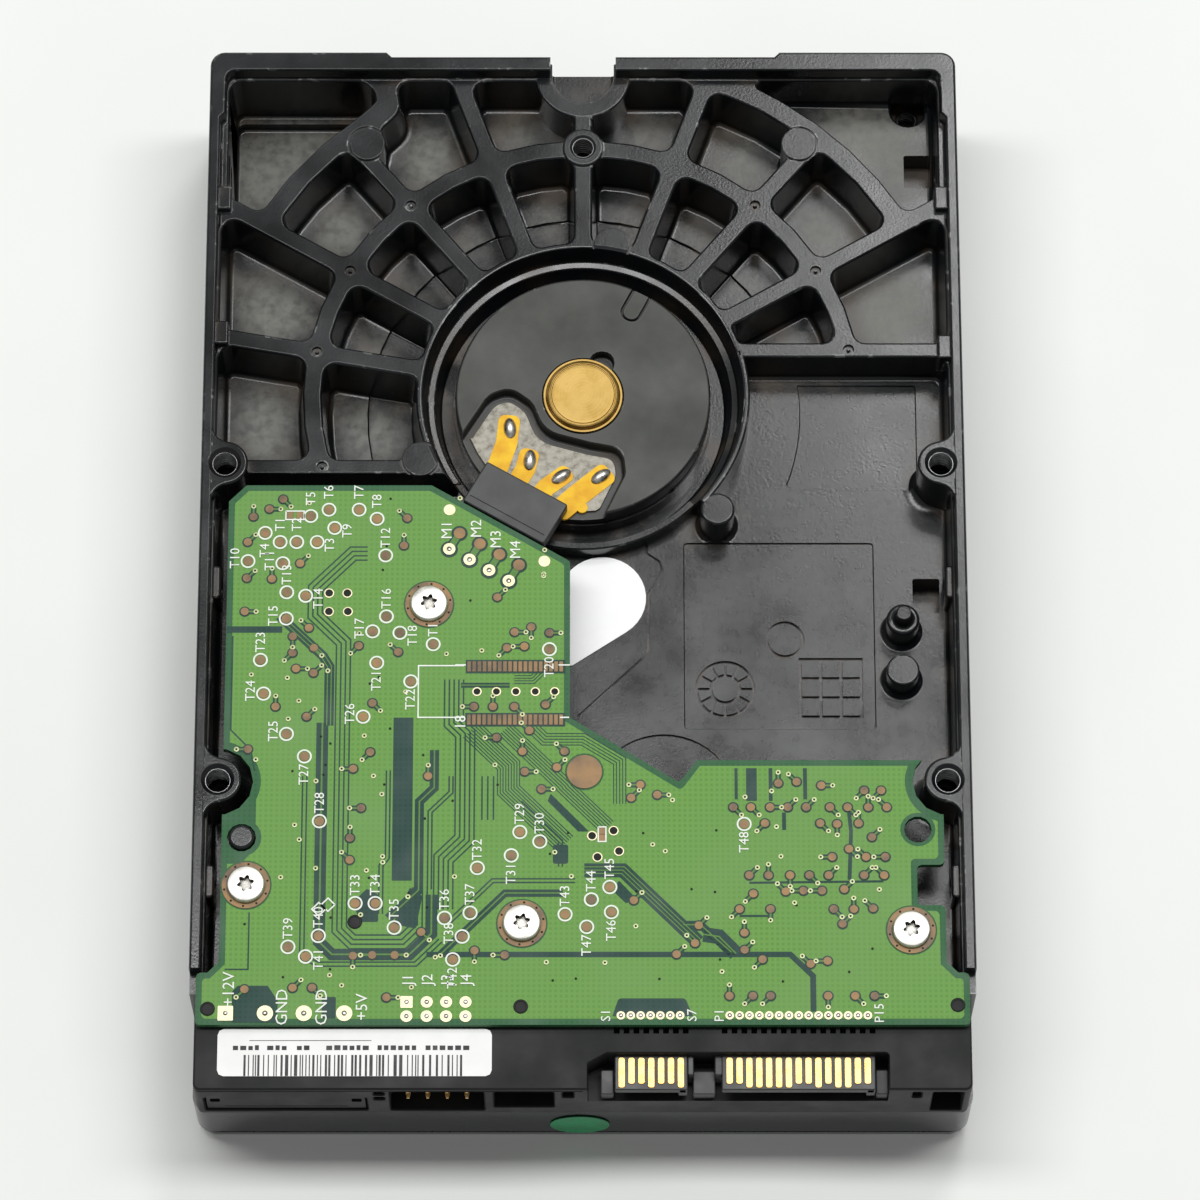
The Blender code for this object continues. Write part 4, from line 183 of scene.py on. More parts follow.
def rounded(corners: Sequence[Corner], inset: float = 0.0, steps: int = 4) -> list[Vector]:
    """Draw an outline with its fillets, moved inwards by an inset.

    Args:
        corners: Corners and fillet radii, counter-clockwise.
        inset: Distance inwards, or outwards if negative.
        steps: Chords in each fillet.

    Returns:
        Points of the outline, as many for every inset.
    """
    mitre_limit, straight, smallest, most_of_side = 0.2, 0.02, 0.06, 0.46
    count = len(corners)
    moved, turns = [], []
    for i, corner in enumerate(corners):
        here = Vector(corner[:2])
        before = (here - Vector(corners[i - 1][:2])).normalized()
        after = (Vector(corners[(i + 1) % count][:2]) - here).normalized()
        moved.append(here + mitre(before, after, inset, mitre_limit))
        turns.append(math.atan2(before.cross(after), before.dot(after)))
    points = []
    for i, (here, turn) in enumerate(zip(moved, turns)):
        fillet = corners[i][2]
        if fillet <= 0 or abs(turn) < straight:
            points.append(here)
            continue
        before, after = here - moved[i - 1], moved[(i + 1) % count] - here
        side = math.copysign(1.0, turn)
        radius = max(fillet - side * inset, smallest)
        tangent = math.tan(abs(turn) / 2)
        cut = min(radius * tangent, most_of_side * before.length, most_of_side * after.length)
        radius = cut / tangent
        start = here - before.normalized() * cut
        across = Vector((-before.y, before.x)).normalized() * side
        middle = start + across * radius
        for k in range(steps + 1):
            points.append(middle + Matrix.Rotation(turn * k / steps, 2) @ (start - middle))
    return points


def loft(rings: Sequence[tuple[Sequence[Vector], float]]) -> Shape:
    """Closed shape through outlines at rising levels.

    Args:
        rings: Outlines of equal counts, each with its level.

    Returns:
        The shape.
    """
    shape = bmesh.new()
    rows = [[shape.verts.new((p[0], p[1], level)) for p in points] for points, level in rings]
    for low, high in zip(rows, rows[1:]):
        for i in range(len(low)):
            shape.faces.new((low[i - 1], low[i], high[i], high[i - 1]))
    shape.faces.new(list(reversed(rows[0])))
    shape.faces.new(rows[-1])
    return shape


def prism(corners: Sequence[Corner], low: float, high: float, edge: float = 0.0, steps: int = 4) -> Shape:
    """Upright solid of an outline, with an optional rounded top edge.

    Args:
        corners: Outline.
        low: Lower level.
        high: Upper level.
        edge: Radius of the top edge.
        steps: Chords in each fillet of the outline.

    Returns:
        The shape.
    """
    levels = [(0.0, low)]
    if edge > 0:
        levels += [(inset, high - edge + rise) for inset, rise in quarter(edge)]
    else:
        levels.append((0.0, high))
    return loft([(rounded(corners, inset, steps), level) for inset, level in levels])


def pocket(
    corners: Sequence[Corner], floor: float, top: float, foot: float, lip: float, draft: float
) -> Shape:
    """Cutter with a filleted floor, drafted walls and a mouth that rounds the edge it leaves.

    Args:
        corners: Outline at the mouth.
        floor: Level of the floor.
        top: Level of the surface that it opens in.
        foot: Fillet between wall and floor.
        lip: Radius of the rounded edge at the mouth.
        draft: How far the walls lean in towards the floor.

    Returns:
        The cutter.
    """
    foot_turns = (0.0, 25.0, 50.0, 70.0, 90.0)
    levels = [(draft + side, floor + rise) for side, rise in cove(foot, foot_turns)]
    levels += [(-side, top + SKIM - lip + rise) for side, rise in quarter(lip)]
    levels.append((-lip, top + REACH))
    return loft([(rounded(corners, inset), level) for inset, level in levels])


def lathe(profile: Sequence[Place], centre: Place = (0.0, 0.0), steps: int = 48) -> Shape:
    """Solid or ring turned from a profile.

    Args:
        profile: Radii and levels round the section, a radius of 0 lying on the axis.
        centre: Place of the axis.
        steps: Facets round the axis.

    Returns:
        The shape.
    """
    shape = bmesh.new()
    rows = []
    for radius, level in profile:
        if radius <= 0:
            rows.append([shape.verts.new((centre[0], centre[1], level))] * steps)
        else:
            round_points = [polar(radius, 360 * i / steps, centre) for i in range(steps)]
            rows.append([shape.verts.new((*point, level)) for point in round_points])
    closed = profile[0][0] > 0 or profile[-1][0] > 0
    pairs = list(zip(rows, rows[1:])) + ([(rows[-1], rows[0])] if closed else [])
    for one, two in pairs:
        for i in range(steps):
            face = list(dict.fromkeys((one[i - 1], one[i], two[i], two[i - 1])))
            if len(face) > 2:
                shape.faces.new(face)
    bmesh.ops.recalc_face_normals(shape, faces=shape.faces)
    return shape


def boss(
    centre: Place, radius: float, low: float, deck: float, top: float, flare: float, lip: float
) -> Shape:
    """Round cast boss with a flared foot and a rounded top edge.

    Args:
        centre: Place of its axis.
        radius: Radius above the foot.
        low: Level inside the metal from which it rises.
        deck: Level of the surface that it stands on.
        top: Level of its flat top.
        flare: Fillet at the foot.
        lip: Radius of the top edge.

    Returns:
        The shape.
    """
    profile = [(0.0, low), (radius + flare, low)]
    profile += [(radius + side, deck + rise - SKIM) for side, rise in cove(flare)]
    profile += [(radius - side, top - lip + rise) for side, rise in quarter(lip)]
    return lathe(profile + [(0.0, top)], centre, 40)


def threaded(centre: Place, radius: float, low: float, top: float, sink: float, pitch: float) -> Shape:
    """Cutter of a tapped hole with a countersunk mouth.

    Args:
        centre: Place of the hole's axis.
        radius: Radius at the crests of the thread.
        low: Level of the hole's end.
        top: Level of its mouth.
        sink: Width of the countersink.
        pitch: Distance from thread to thread.

    Returns:
        The cutter.
    """
    flank = 0.3 * pitch
    profile = [(0.0, low), (radius, low)]
    level = low + pitch
    while level < top - sink - pitch:
        profile += [(radius, level), (radius + flank, level + pitch / 2)]
        level += pitch
    mouth = radius + sink
    profile += [(radius, top - sink), (mouth, top), (mouth, top + REACH), (0.0, top + REACH)]
    return lathe(profile, centre, 36)


def bore(steps: Sequence[Place], centre: Place, facets: int = 24) -> Shape:
    """Solid turned from the radii and levels of its side, closed to the axis at both ends."""
    return lathe([(0.0, steps[0][1]), *steps, (0.0, steps[-1][1])], centre, facets)


def hoop(centre: Place, inner: float, outer: float, low: float, high: float, facets: int = 48) -> Shape:
    """Upright ring of square section."""
    return lathe([(inner, low), (outer, low), (outer, high), (inner, high)], centre, facets)


def ribbon(path: Sequence[Place], width: float) -> list[Corner]:
    """Outline of a flat strip along a path, with mitred bends.

    Args:
        path: Points along the middle of the strip.
        width: Width of the strip.

    Returns:
        Corners of the outline, counter-clockwise.
    """
    mitre_limit = 0.3
    points = [Vector(p) for p in path]
    sides: tuple[list[Corner], list[Corner]] = ([], [])
    for i, point in enumerate(points):
        before = (point - points[i - 1]).normalized() if i else (points[1] - point).normalized()
        after = (points[i + 1] - point).normalized() if i < len(points) - 1 else before
        offset = mitre(before, after, width / 2, mitre_limit)
        sides[0].append((point.x - offset.x, point.y - offset.y, 0.0))
        sides[1].append((point.x + offset.x, point.y + offset.y, 0.0))
    return sides[0] + sides[1][::-1]


def shifted(path: Sequence[Place], distance: float) -> list[Place]:
    """Path moved sideways, to its left if the distance is positive."""
    outline = ribbon(path, 2 * distance)
    return [(x, y) for x, y, _ in reversed(outline[len(path) :])]


def inset_corners(corners: Sequence[Corner], inset: float) -> list[Corner]:
    """Corners moved inwards by an inset, with their fillets kept."""
    sharp = rounded([(x, y, 0.0) for x, y, _ in corners], inset)
    return [(p.x, p.y, corner[2]) for p, corner in zip(sharp, corners)]


def printed(word: str, place: tuple[float, float, float], degrees: float, height: float) -> Shape:
    """Flat letters of a word.

    Args:
        word: Word to set.
        place: Middle of the word and the level of its face.
        degrees: Turn, counter-clockwise.
        height: Height of the capitals.

    Returns:
        The letters as a thin solid.
    """
    size_per_capital, half_thickness = 1.35, 0.005
    curve = bpy.data.curves.new("word", "FONT")
    curve.body = word
    curve.align_x = "CENTER"
    curve.align_y = "CENTER"
    curve.size = height * size_per_capital
    curve.extrude = half_thickness
    curve.resolution_u = 2
    holder = bpy.data.objects.new("word", curve)
    bpy.context.scene.collection.objects.link(holder)
    graph = bpy.context.evaluated_depsgraph_get()
    mesh = bpy.data.meshes.new_from_object(holder.evaluated_get(graph))
    shape = bmesh.new()
    shape.from_mesh(mesh)
    spin = Matrix.Rotation(math.radians(degrees), 4, "Z")
    shape.transform(Matrix.Translation(place) @ spin)
    bpy.data.objects.remove(holder)
    bpy.data.curves.remove(curve)
    bpy.data.meshes.remove(mesh)
    return shape


def along(shape: Shape, axis: str) -> Shape:
    """Lay a shape that stands on Z along X or Y.

    Args:
        shape: Shape built upright, its own x and y being the other two axes in turn.
        axis: X or Y.

    Returns:
        The same shape.
    """
    rows = {"X": ((0, 0, 1), (1, 0, 0), (0, 1, 0)), "Y": ((1, 0, 0), (0, 0, 1), (0, 1, 0))}[axis]
    shape.transform(Matrix(rows).to_4x4())
    bmesh.ops.recalc_face_normals(shape, faces=shape.faces)
    return shape


def mesh_of(shapes: Iterable[Shape], name: str) -> bpy.types.Mesh:
    """Put shapes into one mesh and free them.

    Args:
        shapes: Shapes to gather.
        name: Name of the mesh.

    Returns:
        The mesh.
    """
    whole = bmesh.new()
    for shape in shapes:
        part = bpy.data.meshes.new("part")
        shape.to_mesh(part)
        shape.free()
        whole.from_mesh(part)
        bpy.data.meshes.remove(part)
    mesh = bpy.data.meshes.new(name)
    whole.to_mesh(mesh)
    whole.free()
    return mesh


def formed(name: str, shapes: Iterable[Shape]) -> Piece:
    """New object of some shapes, still in millimetres."""
    made = bpy.data.objects.new(name, mesh_of(shapes, name))
    bpy.context.scene.collection.objects.link(made)
    return made


def applied(piece: Piece) -> None:
    """Make what a piece's modifiers give its own mesh."""
    graph = bpy.context.evaluated_depsgraph_get()
    mesh = bpy.data.meshes.new_from_object(piece.evaluated_get(graph))
    piece.modifiers.clear()
    old = piece.data
    piece.data = mesh
    bpy.data.meshes.remove(old)


def combined(piece: Piece, join: Join, shapes: Iterable[Shape]) -> None:
    """Add shapes to a piece or cut them out of it.

    Args:
        piece: Object that changes.
        join: Whether the shapes are added or cut.
        shapes: Shapes to use.
    """
    for shape in shapes:
        tool = formed("tool", [shape])
        change = piece.modifiers.new("change", "BOOLEAN")
        change.operation = join.value
        change.object = tool
        change.solver = "EXACT"
        applied(piece)
        mesh = tool.data
        bpy.data.objects.remove(tool)
        bpy.data.meshes.remove(mesh)


def smoothed(piece: Piece) -> None:
    """Shade a piece smooth across its flatter edges, with its flats kept flat."""
    piece.data.polygons.foreach_set("use_smooth", [True] * len(piece.data.polygons))
    piece.data.set_sharp_from_angle(angle=math.radians(SMOOTH))
    level = piece.modifiers.new("level", "WEIGHTED_NORMAL")
    level.keep_sharp = True
    level.weight = 100
    applied(piece)


def published(piece: Piece, finish: "Finish", stands_for: str = "") -> None:
    """Bring a piece to metres, dress it and hand it to its body.

    Args:
        piece: Object in millimetres.
        finish: Its finish.
        stands_for: Node that it replaces.
    """
    smoothed(piece)
    piece.data.transform(Matrix.Scale(MM, 4))
    piece.data.materials.clear()
    piece.data.materials.append(finish.material())
    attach(piece, BODY)
    if stands_for:
        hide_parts(stands_for)
    LOG.info("%s: %d faces on %s", piece.name, len(piece.data.polygons), BODY)


def made(name: str, shapes: Iterable[Shape], finish: "Finish", slot: str, stands_for: str = "") -> None:
    """Publish a new piece of some shapes under a name."""
    published(formed(name, shapes), finish, stands_for)


def dress_nodes(names: Sequence[str], finish: "Finish") -> None:
    """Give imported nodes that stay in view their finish."""
    for name in names:
        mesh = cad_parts[name].data
        mesh.materials.clear()
        mesh.materials.append(finish.material())
        LOG.info("%s: %s", name, finish.name)


@dataclass(frozen=True)
class Finish:
    """A finish with even colour, soft mottling and fine texture, its pattern sizes in millimetres."""

    name: str
    colour: str
    shade: str
    roughness: float = 0.5
    metallic: float = 0.0
    mottle: float = 6.0
    grain: float = 0.4
    relief: float = 0.01
    spread: float = 0.12
    gloss: float = 0.5
    # Colour of the painted shade in recesses and corners, if any
    hollow_shade: str = ""

    def material(self) -> bpy.types.Material:
        """Material of this finish, made on first use."""
        made = bpy.data.materials.get(self.name)
        if made is None:
            made = bpy.data.materials.new(self.name)
            made.use_nodes = True
            tree = made.node_tree
            shader = tree.nodes["Principled BSDF"]
            shader.inputs["Metallic"].default_value = self.metallic
            shader.inputs["Specular IOR Level"].default_value = self.gloss
            self.dress(tree, shader, add(tree, "TexCoord", output="Object"))
        return made

    def two_tone(self, tree: Tree, factor: Socket) -> Socket:
        """Colour where a factor is 0, turning to the shade where it is 1."""
        tones = {0: factor, 6: linear(self.colour), 7: linear(self.shade)}
        return add(tree, "Mix", tones, 2, data_type="RGBA")

    def surface(
        self,
        tree: Tree,
        shader: bpy.types.Node,
        sheen: Socket,
        height: Socket,
        strength: float = 1.0,
        dull: Socket | None = None,
    ) -> None:
        """Let the roughness swing about its typical value, and raise the surface by the relief.

        Args:
            tree: Tree of the material.
            shader: Its Principled BSDF.
            sheen: Pattern of the roughness.
            height: Pattern of the relief.
            strength: How much of the relief shows.
            dull: Where dust dulls the surface.
        """
        ends = self.roughness - self.spread, self.roughness + self.spread
        rough = add(tree, "MapRange", [sheen, 0.3, 0.7, *ends])
        if dull is not None:
            rough = add(tree, "Math", [dull, 0.25, rough], operation="MULTIPLY_ADD", use_clamp=True)
        raised = add(tree, "Bump", {"Height": height, "Distance": self.relief * MM, "Strength": strength})
        tree.links.new(rough, shader.inputs["Roughness"])
        tree.links.new(raised, shader.inputs["Normal"])

    def dress(self, tree: Tree, shader: bpy.types.Node, coords: Socket) -> None:
        """Build the nodes of the finish.

        Args:
            tree: Tree of the material.
            shader: Its Principled BSDF.
            coords: Object coordinates in metres.
        """
        cloud = add(tree, "TexNoise", {"Vector": coords, "Scale": per_mm(self.mottle), "Detail": 4.0})
        fine = add(tree, "TexNoise", {"Vector": coords, "Scale": per_mm(self.grain), "Detail": 3.0})
        body = self.two_tone(tree, add(tree, "MapRange", [cloud, 0.35, 0.65, 0.0, 1.0]))
        if self.hollow_shade:
            # Painted shade darkens recesses and corners
            open_sky = add(tree, "AmbientOcclusion", {"Distance": 1.2 * MM}, "AO", samples=6)
            hollow_shade_share = add(tree, "MapRange", [open_sky, 0.85, 0.4, 0.0, 0.9])
            body = add(tree, "Mix", {0: hollow_shade_share, 6: body, 7: linear(self.hollow_shade)}, 2, data_type="RGBA")
        tree.links.new(body, shader.inputs["Base Color"])
        self.surface(tree, shader, cloud, fine)


@dataclass(frozen=True)
class CastPaint(Finish):
    """Electro-coated metal: satin black, orange-peel grain, rubbed edges, brown dust in corners.

    The grey film on open faces that look up is part dust and part painted sheen. Each pair of heights gives
    two levels between which the film thins out or wear sets in.
    """

    # Grey film on open upward faces: part dust, part painted sheen
    dust_and_sheen: str = "6f6f67"
    dust: str = "4a3c2a"
    worn: str = "6b6d6d"
    metal: str = "b9bbb8"
    # Strength of that film of dust and painted sheen, and its share at rib height and from deck height up
    dust_and_sheen_amount: float = 0.9
    rib_film: float = 0.3
    deck_film: float = 0.1
    rib_film_heights: Place = (23.3, 20.0)
    deck_film_heights: Place = (16.7, 16.55)
    handled_heights: Place = (19.0, 21.0)
    patches: float = 11.0
    grit: float = 1.4
    stains: float = 8.0
    nicks: float = 1.6
    shelter: float = 6.0
    edge: float = 0.35

    def dress(self, tree: Tree, shader: bpy.types.Node, coords: Socket) -> None:
        """Build coat, a film of dust and painted sheen, rubbed edges and chips."""
        sizes = (self.mottle, self.grain, self.patches, self.grit, self.stains, self.nicks)
        cloud, fine, patch, grit, stain, nick = (
            add(tree, "TexNoise", {"Vector": coords, "Scale": per_mm(size), "Detail": detail})
            for size, detail in zip(sizes, (5.0, 4.0, 8.0, 6.0, 6.0, 3.0))
        )
        height = add(tree, "SeparateXYZ", [coords], "Z")
        rib_film, deck_film, handled = (
            [height, levels[0] * MM, levels[1] * MM]
            for levels in (self.rib_film_heights, self.deck_film_heights, self.handled_heights)
        )
        normal = add(tree, "NewGeometry", output="Normal")
        up = add(tree, "SeparateXYZ", [normal], "Z")
        open_sky = add(tree, "AmbientOcclusion", {"Distance": self.shelter * MM}, "AO", samples=6)
        soft = add(tree, "Bevel", {"Radius": self.edge * MM}, samples=4)
        match = add(tree, "VectorMath", [soft, normal], "Value", operation="DOT_PRODUCT")
        # A grey film lies on open faces that look up, most in the pockets, least on the ribs; it is part dust
        # and part painted sheen
        film = (
            [patch, 0.40, 0.62, 0.75, 1.0],
            [*rib_film, self.rib_film, 1.0],
            [*deck_film, self.deck_film, 1.0],
            [open_sky, 0.5, 0.85, 0.0, 1.0],
            [up, 0.80, 0.99, 0.0, 1.0],
            [grit, 0.36, 0.60, 0.55, 1.0],
        )
        # Brown dirt fills the corners
        dirt = ([open_sky, 0.80, 0.45, 0.0, 1.0], [stain, 0.45, 0.66, 0.0, 0.8], [up, 0.3, 0.9, 0.15, 1.0])
        # Edges rub bright where the bevelled and the true normal part, and lose their coat in small chips
        edge = ([match, 0.995, 0.90, 0.0, 1.0], [*handled, 0.0, 1.0])
        rub = (*edge, [cloud, 0.40, 0.62, 0.05, 0.5])
        chip = (*edge, [nick, 0.60, 0.64, 0.0, 1.0], [cloud, 0.48, 0.56, 0.0, 1.0])
        layers = (
            (film, self.dust_and_sheen, self.dust_and_sheen_amount),
            (dirt, self.dust, 1.0),
            (rub, self.worn, 1.0),
            (chip, self.metal, 1.0),
        )
        body = self.two_tone(tree, add(tree, "MapRange", [cloud, 0.3, 0.7, 0.0, 1.0]))
        shares = []
        for limits, colour, amount in layers:
            share = add(tree, "MapRange", limits[0])
            for limit in limits[1:]:
                share = add(tree, "Math", [share, add(tree, "MapRange", limit)], operation="MULTIPLY")
            shares.append(share)
            laid = add(tree, "Math", [share, amount], operation="MULTIPLY")
            body = add(tree, "Mix", {0: laid, 6: body, 7: linear(colour)}, 2, data_type="RGBA")
        tree.links.new(body, shader.inputs["Base Color"])
        dusty = add(tree, "Math", shares[:2], operation="MAXIMUM")
        self.surface(tree, shader, cloud, fine, dull=dusty)


@dataclass(frozen=True)
class SolderMask(Finish):
    """Solder mask over copper on glass-epoxy: even green with the faint hatch of weave and ground mesh."""

    hatch: float = 0.7

    def dress(self, tree: Tree, shader: bpy.types.Node, coords: Socket) -> None:
        """Build the mask, with a hatch drawn a little coarser than the real one so that it shows."""
        cloud = add(tree, "TexNoise", {"Vector": coords, "Scale": per_mm(self.mottle), "Detail": 3.0})
        bands = {"Vector": coords, "Scale": per_mm(self.hatch) * WAVE_PERIOD, "Distortion": 0.0}
        lines = [add(tree, "TexWave", bands, "Fac", bands_direction=axis) for axis in ("X", "Y")]
        mesh = add(tree, "Math", lines, operation="MAXIMUM")
        faded = add(tree, "MapRange", [cloud, 0.35, 0.65, 0.35, 0.7])
        mixed = add(tree, "Math", [mesh, faded], operation="MULTIPLY")
        tree.links.new(self.two_tone(tree, mixed), shader.inputs["Base Color"])
        self.surface(tree, shader, cloud, mesh)


@dataclass(frozen=True)
class TurnedMetal(Finish):
    """Metal with the ring marks of turning or stamping about the motor's axis, and light tarnish."""

    ring: float = 0.5

    def dress(self, tree: Tree, shader: bpy.types.Node, coords: Socket) -> None:
        """Build rings about the axis, drawn coarser than real ones so that they show, over soft tarnish."""
        middle = (MOTOR_AXIS[0] * MM, MOTOR_AXIS[1] * MM, 0.0)
        local = add(tree, "VectorMath", [coords, middle], "Vector", operation="SUBTRACT")
        bands = {"Vector": local, "Scale": per_mm(self.ring) * WAVE_PERIOD, "Distortion": 1.5, "Detail": 2.0}
        rings = add(tree, "TexWave", bands, "Fac", wave_type="RINGS", rings_direction="Z")
        cloud = add(tree, "TexNoise", {"Vector": coords, "Scale": per_mm(self.mottle), "Detail": 5.0})
        tarnish = add(tree, "MapRange", [cloud, 0.38, 0.66, 0.0, 1.0])
        tree.links.new(self.two_tone(tree, tarnish), shader.inputs["Base Color"])
        self.surface(tree, shader, cloud, rings, 0.5)


@dataclass(frozen=True)
class BrushedSheet(Finish):
    """Rolled sheet with a straight grain along the drive."""

    stretch: float = 40.0

    def dress(self, tree: Tree, shader: bpy.types.Node, coords: Socket) -> None:
        """Build long streaks over soft clouds."""
        drawn = add(tree, "Mapping", {"Vector": coords, "Scale": (1.0, 1 / self.stretch, 1.0)})
        streak = add(tree, "TexNoise", {"Vector": drawn, "Scale": per_mm(self.grain), "Detail": 4.0})
        cloud = add(tree, "TexNoise", {"Vector": coords, "Scale": per_mm(self.mottle), "Detail": 3.0})
        mixed = add(tree, "Math", [streak, cloud, 0.15], operation="MULTIPLY_ADD", use_clamp=True)
        tree.links.new(self.two_tone(tree, mixed), shader.inputs["Base Color"])
        self.surface(tree, shader, streak, streak)


class Finishes:
    """Every finish of the drive, named for the material and how its surface was made.

    Values follow the fields: name, colour, shade, roughness, metallic, mottle, grain, relief, spread.
    """

    # Cathodic black paint on the die casting: satin, faintly pebbled, greyer where it is handled
    # Its grey film, most on the pocket floors, is part dust and part painted sheen
    paint = CastPaint(
        "electro_coated_die_cast_aluminium", "0d0f11", "14171a", 0.20, 0.0, 9.0, 0.35, 0.012, 0.06
    )
    # The motor's cover plate is a smoother coated stamping under an even grey film, part dust and part
    # painted sheen
    plate = CastPaint(
        "coated_steel_stamping", "181a19", "222423", 0.42, 0.0, 7.0, 0.5, 0.006, dust_and_sheen="4d4f49", rib_film=0.8,
        deck_film=1.0,
    )
    # Zinc-plated steel screws: bright, softly satin heads, with painted shade in the recess
    zinc = Finish("zinc_plated_steel", "d4d1c9", "eae7e0", 0.48, 1.0, 1.5, 0.25, 0.004, hollow_shade="3d3c38")
    # Nickel-plated cover sheet with rolled grain
    sheet = BrushedSheet("rolled_nickel_plated_steel", "8f9192", "b4b6b6", 0.34, 1.0, 18.0, 0.25, 0.003)
    # Black nitrile rubber, moulded matt
    rubber = Finish("moulded_nitrile_rubber", "161616", "222222", 0.85, 0.0, 3.0, 0.3, 0.01)
    # Green solder mask over the copper ground, darker where no copper lies below and on the cut edge
    mask = SolderMask("solder_mask_over_copper", "5f8f40", "74a551", 0.58, 0.0, 14.0, 0.3, 0.006, gloss=0.3)
    bare = SolderMask(
        "solder_mask_over_glass_epoxy", "22403a", "2d4d44", 0.58, 0.0, 6.0, 0.3, 0.003, gloss=0.3
    )
    run = SolderMask("solder_mask_over_tracks", "55803f", "628c4a", 0.58, 0.0, 6.0, 0.3, 0.002, gloss=0.3)
    edge = SolderMask("solder_mask_on_cut_edge", "2c5b3a", "3b6b44", 0.58, 0.0, 5.0, 0.3, 0.004, gloss=0.3)
    # Copper lands with an organic coat that has browned
    land = Finish("browned_copper_land", "54422f", "9a7a54", 0.5, 0.35, 3.5, 0.2, 0.004)
    # Tinned lands round the soldered pins: pale and a little lumpy
    tin = Finish("hot_air_levelled_tin", "cfc49c", "e6debf", 0.45, 0.4, 0.8, 0.2, 0.006)
    # Vias shine pale through the mask that covers them
    via = Finish("tented_copper_via", "9aa878", "b8b98c", 0.4, 0.3, 0.6, 0.2, 0.004)
    # White epoxy ink, screen printed
    ink = Finish("screen_printed_epoxy_ink", "dfe6da", "f2f5ee", 0.6, 0.0, 1.0, 0.15, 0.003)
    # Drilled holes are painted as black shade
    hole = Finish("painted_hole_shade", "0d120e", "1a1f18", 0.8, 0.0, 1.0, 0.2, 0.01)
    # Glass-filled polyester of the connector: black, slightly grained by the tool
    plastic = Finish(
        "moulded_glass_filled_polyester", "131314", "1c1d1e", 0.58, 0.0, 7.0, 0.5, 0.012, gloss=0.3
    )
    # The plug's polymer is a greyer black with a soft sheen
    plug = Finish("moulded_liquid_crystal_polymer", "313332", "3f413f", 0.5, 0.0, 4.0, 0.35, 0.010)
    # Gold flashed contacts: warm and satin
    gold = Finish("gold_flashed_contact", "e0ae5c", "f3d296", 0.46, 1.0, 1.2, 0.25, 0.003)
    # Label stock: coated paper, matt white, and its thermal-transfer ink
    paper = Finish("coated_label_paper", "eeeeec", "f9f9f7", 0.62, 0.0, 5.0, 0.2, 0.003)
    print_ink = Finish("thermal_transfer_ink", "1b1b1d", "2b2b2e", 0.55, 0.0, 2.0, 0.2, 0.002)
    # Sticker films: a clean white seal and a flat green dot
    foil = Finish("white_polyester_film", "f1f2f2", "fbfbfb", 0.5, 0.0, 8.0, 0.3, 0.002)
    green = Finish("printed_vinyl_dot", "157a4a", "1d8d58", 0.55, 0.0, 3.0, 0.2, 0.003)
    # Turned brass of the bearing cap, with the tarnish of handling, and the bronze of the sleeve below it
    brass = TurnedMetal("turned_brass", "977c44", "c0a262", 0.52, 1.0, 2.4, 0.2, 0.004, 0.10, ring=0.45)
    sleeve = TurnedMetal("sintered_bronze", "9a7440", "b98d55", 0.45, 1.0, 2.0, 0.2, 0.004, 0.10)
    # Polyimide film over copper: clear orange with a soft gloss
    film = Finish("polyimide_film", "e2a61a", "f6c836", 0.5, 0.0, 2.2, 0.3, 0.008, gloss=0.2)
    # Stiffener of the flex, blotched by flux, and the rounded solder on it
    backing = Finish("flux_stained_stiffener", "6a665b", "9a968a", 0.4, 0.35, 0.9, 0.3, 0.02)
    solder = Finish("hand_soldered_tin", "a3a099", "dddad3", 0.36, 1.0, 0.9, 0.3, 0.01)
    # Threads tapped after painting show bare metal, darkened deep in the hole by painted shade
    thread = Finish("tapped_bare_aluminium", "8f9191", "c4c6c6", 0.36, 1.0, 1.5, 0.2, 0.004, hollow_shade="1d1d1c")
    # Machined hub parts with fine turning marks, and the drawn grain of the arm
    aluminium = TurnedMetal(
        "machined_aluminium", "a9abad", "c8cacb", 0.32, 1.0, 3.0, 0.2, 0.003, 0.10, ring=0.4
    )
    arm = BrushedSheet("extruded_aluminium", "a9abad", "c6c8c9", 0.36, 1.0, 4.0, 0.2, 0.003)
    # Discs are near mirrors
    disc = TurnedMetal("sputtered_disc_film", "8c8884", "a09c97", 0.10, 1.0, 20.0, 0.3, 0.001, 0.03, ring=0.8)
    # Plated iron of yokes and posts is bright, the magnets between them dark and grainy
    iron = BrushedSheet("nickel_plated_iron", "9b9c9d", "bcbdbd", 0.3, 1.0, 5.0, 0.2, 0.003)
    magnet = Finish("sintered_magnet", "3a3b3d", "55575a", 0.45, 0.8, 2.0, 0.3, 0.01)
    # Enamelled wire lies in close turns of copper brown
    winding = BrushedSheet(
        "enamelled_copper_wire", "8a4a22", "c0763f", 0.35, 0.9, 2.0, 0.12, 0.02, stretch=0.1
    )
    # Chip packages are satin black
    epoxy = Finish("moulded_epoxy_package", "17181a", "232527", 0.55, 0.0, 2.0, 0.15, 0.006)
    # Filters are soft off-white felt
    felt = Finish("pressed_filter_felt", "c9c8c2", "e6e5e0", 0.95, 0.0, 1.0, 0.25, 0.08)


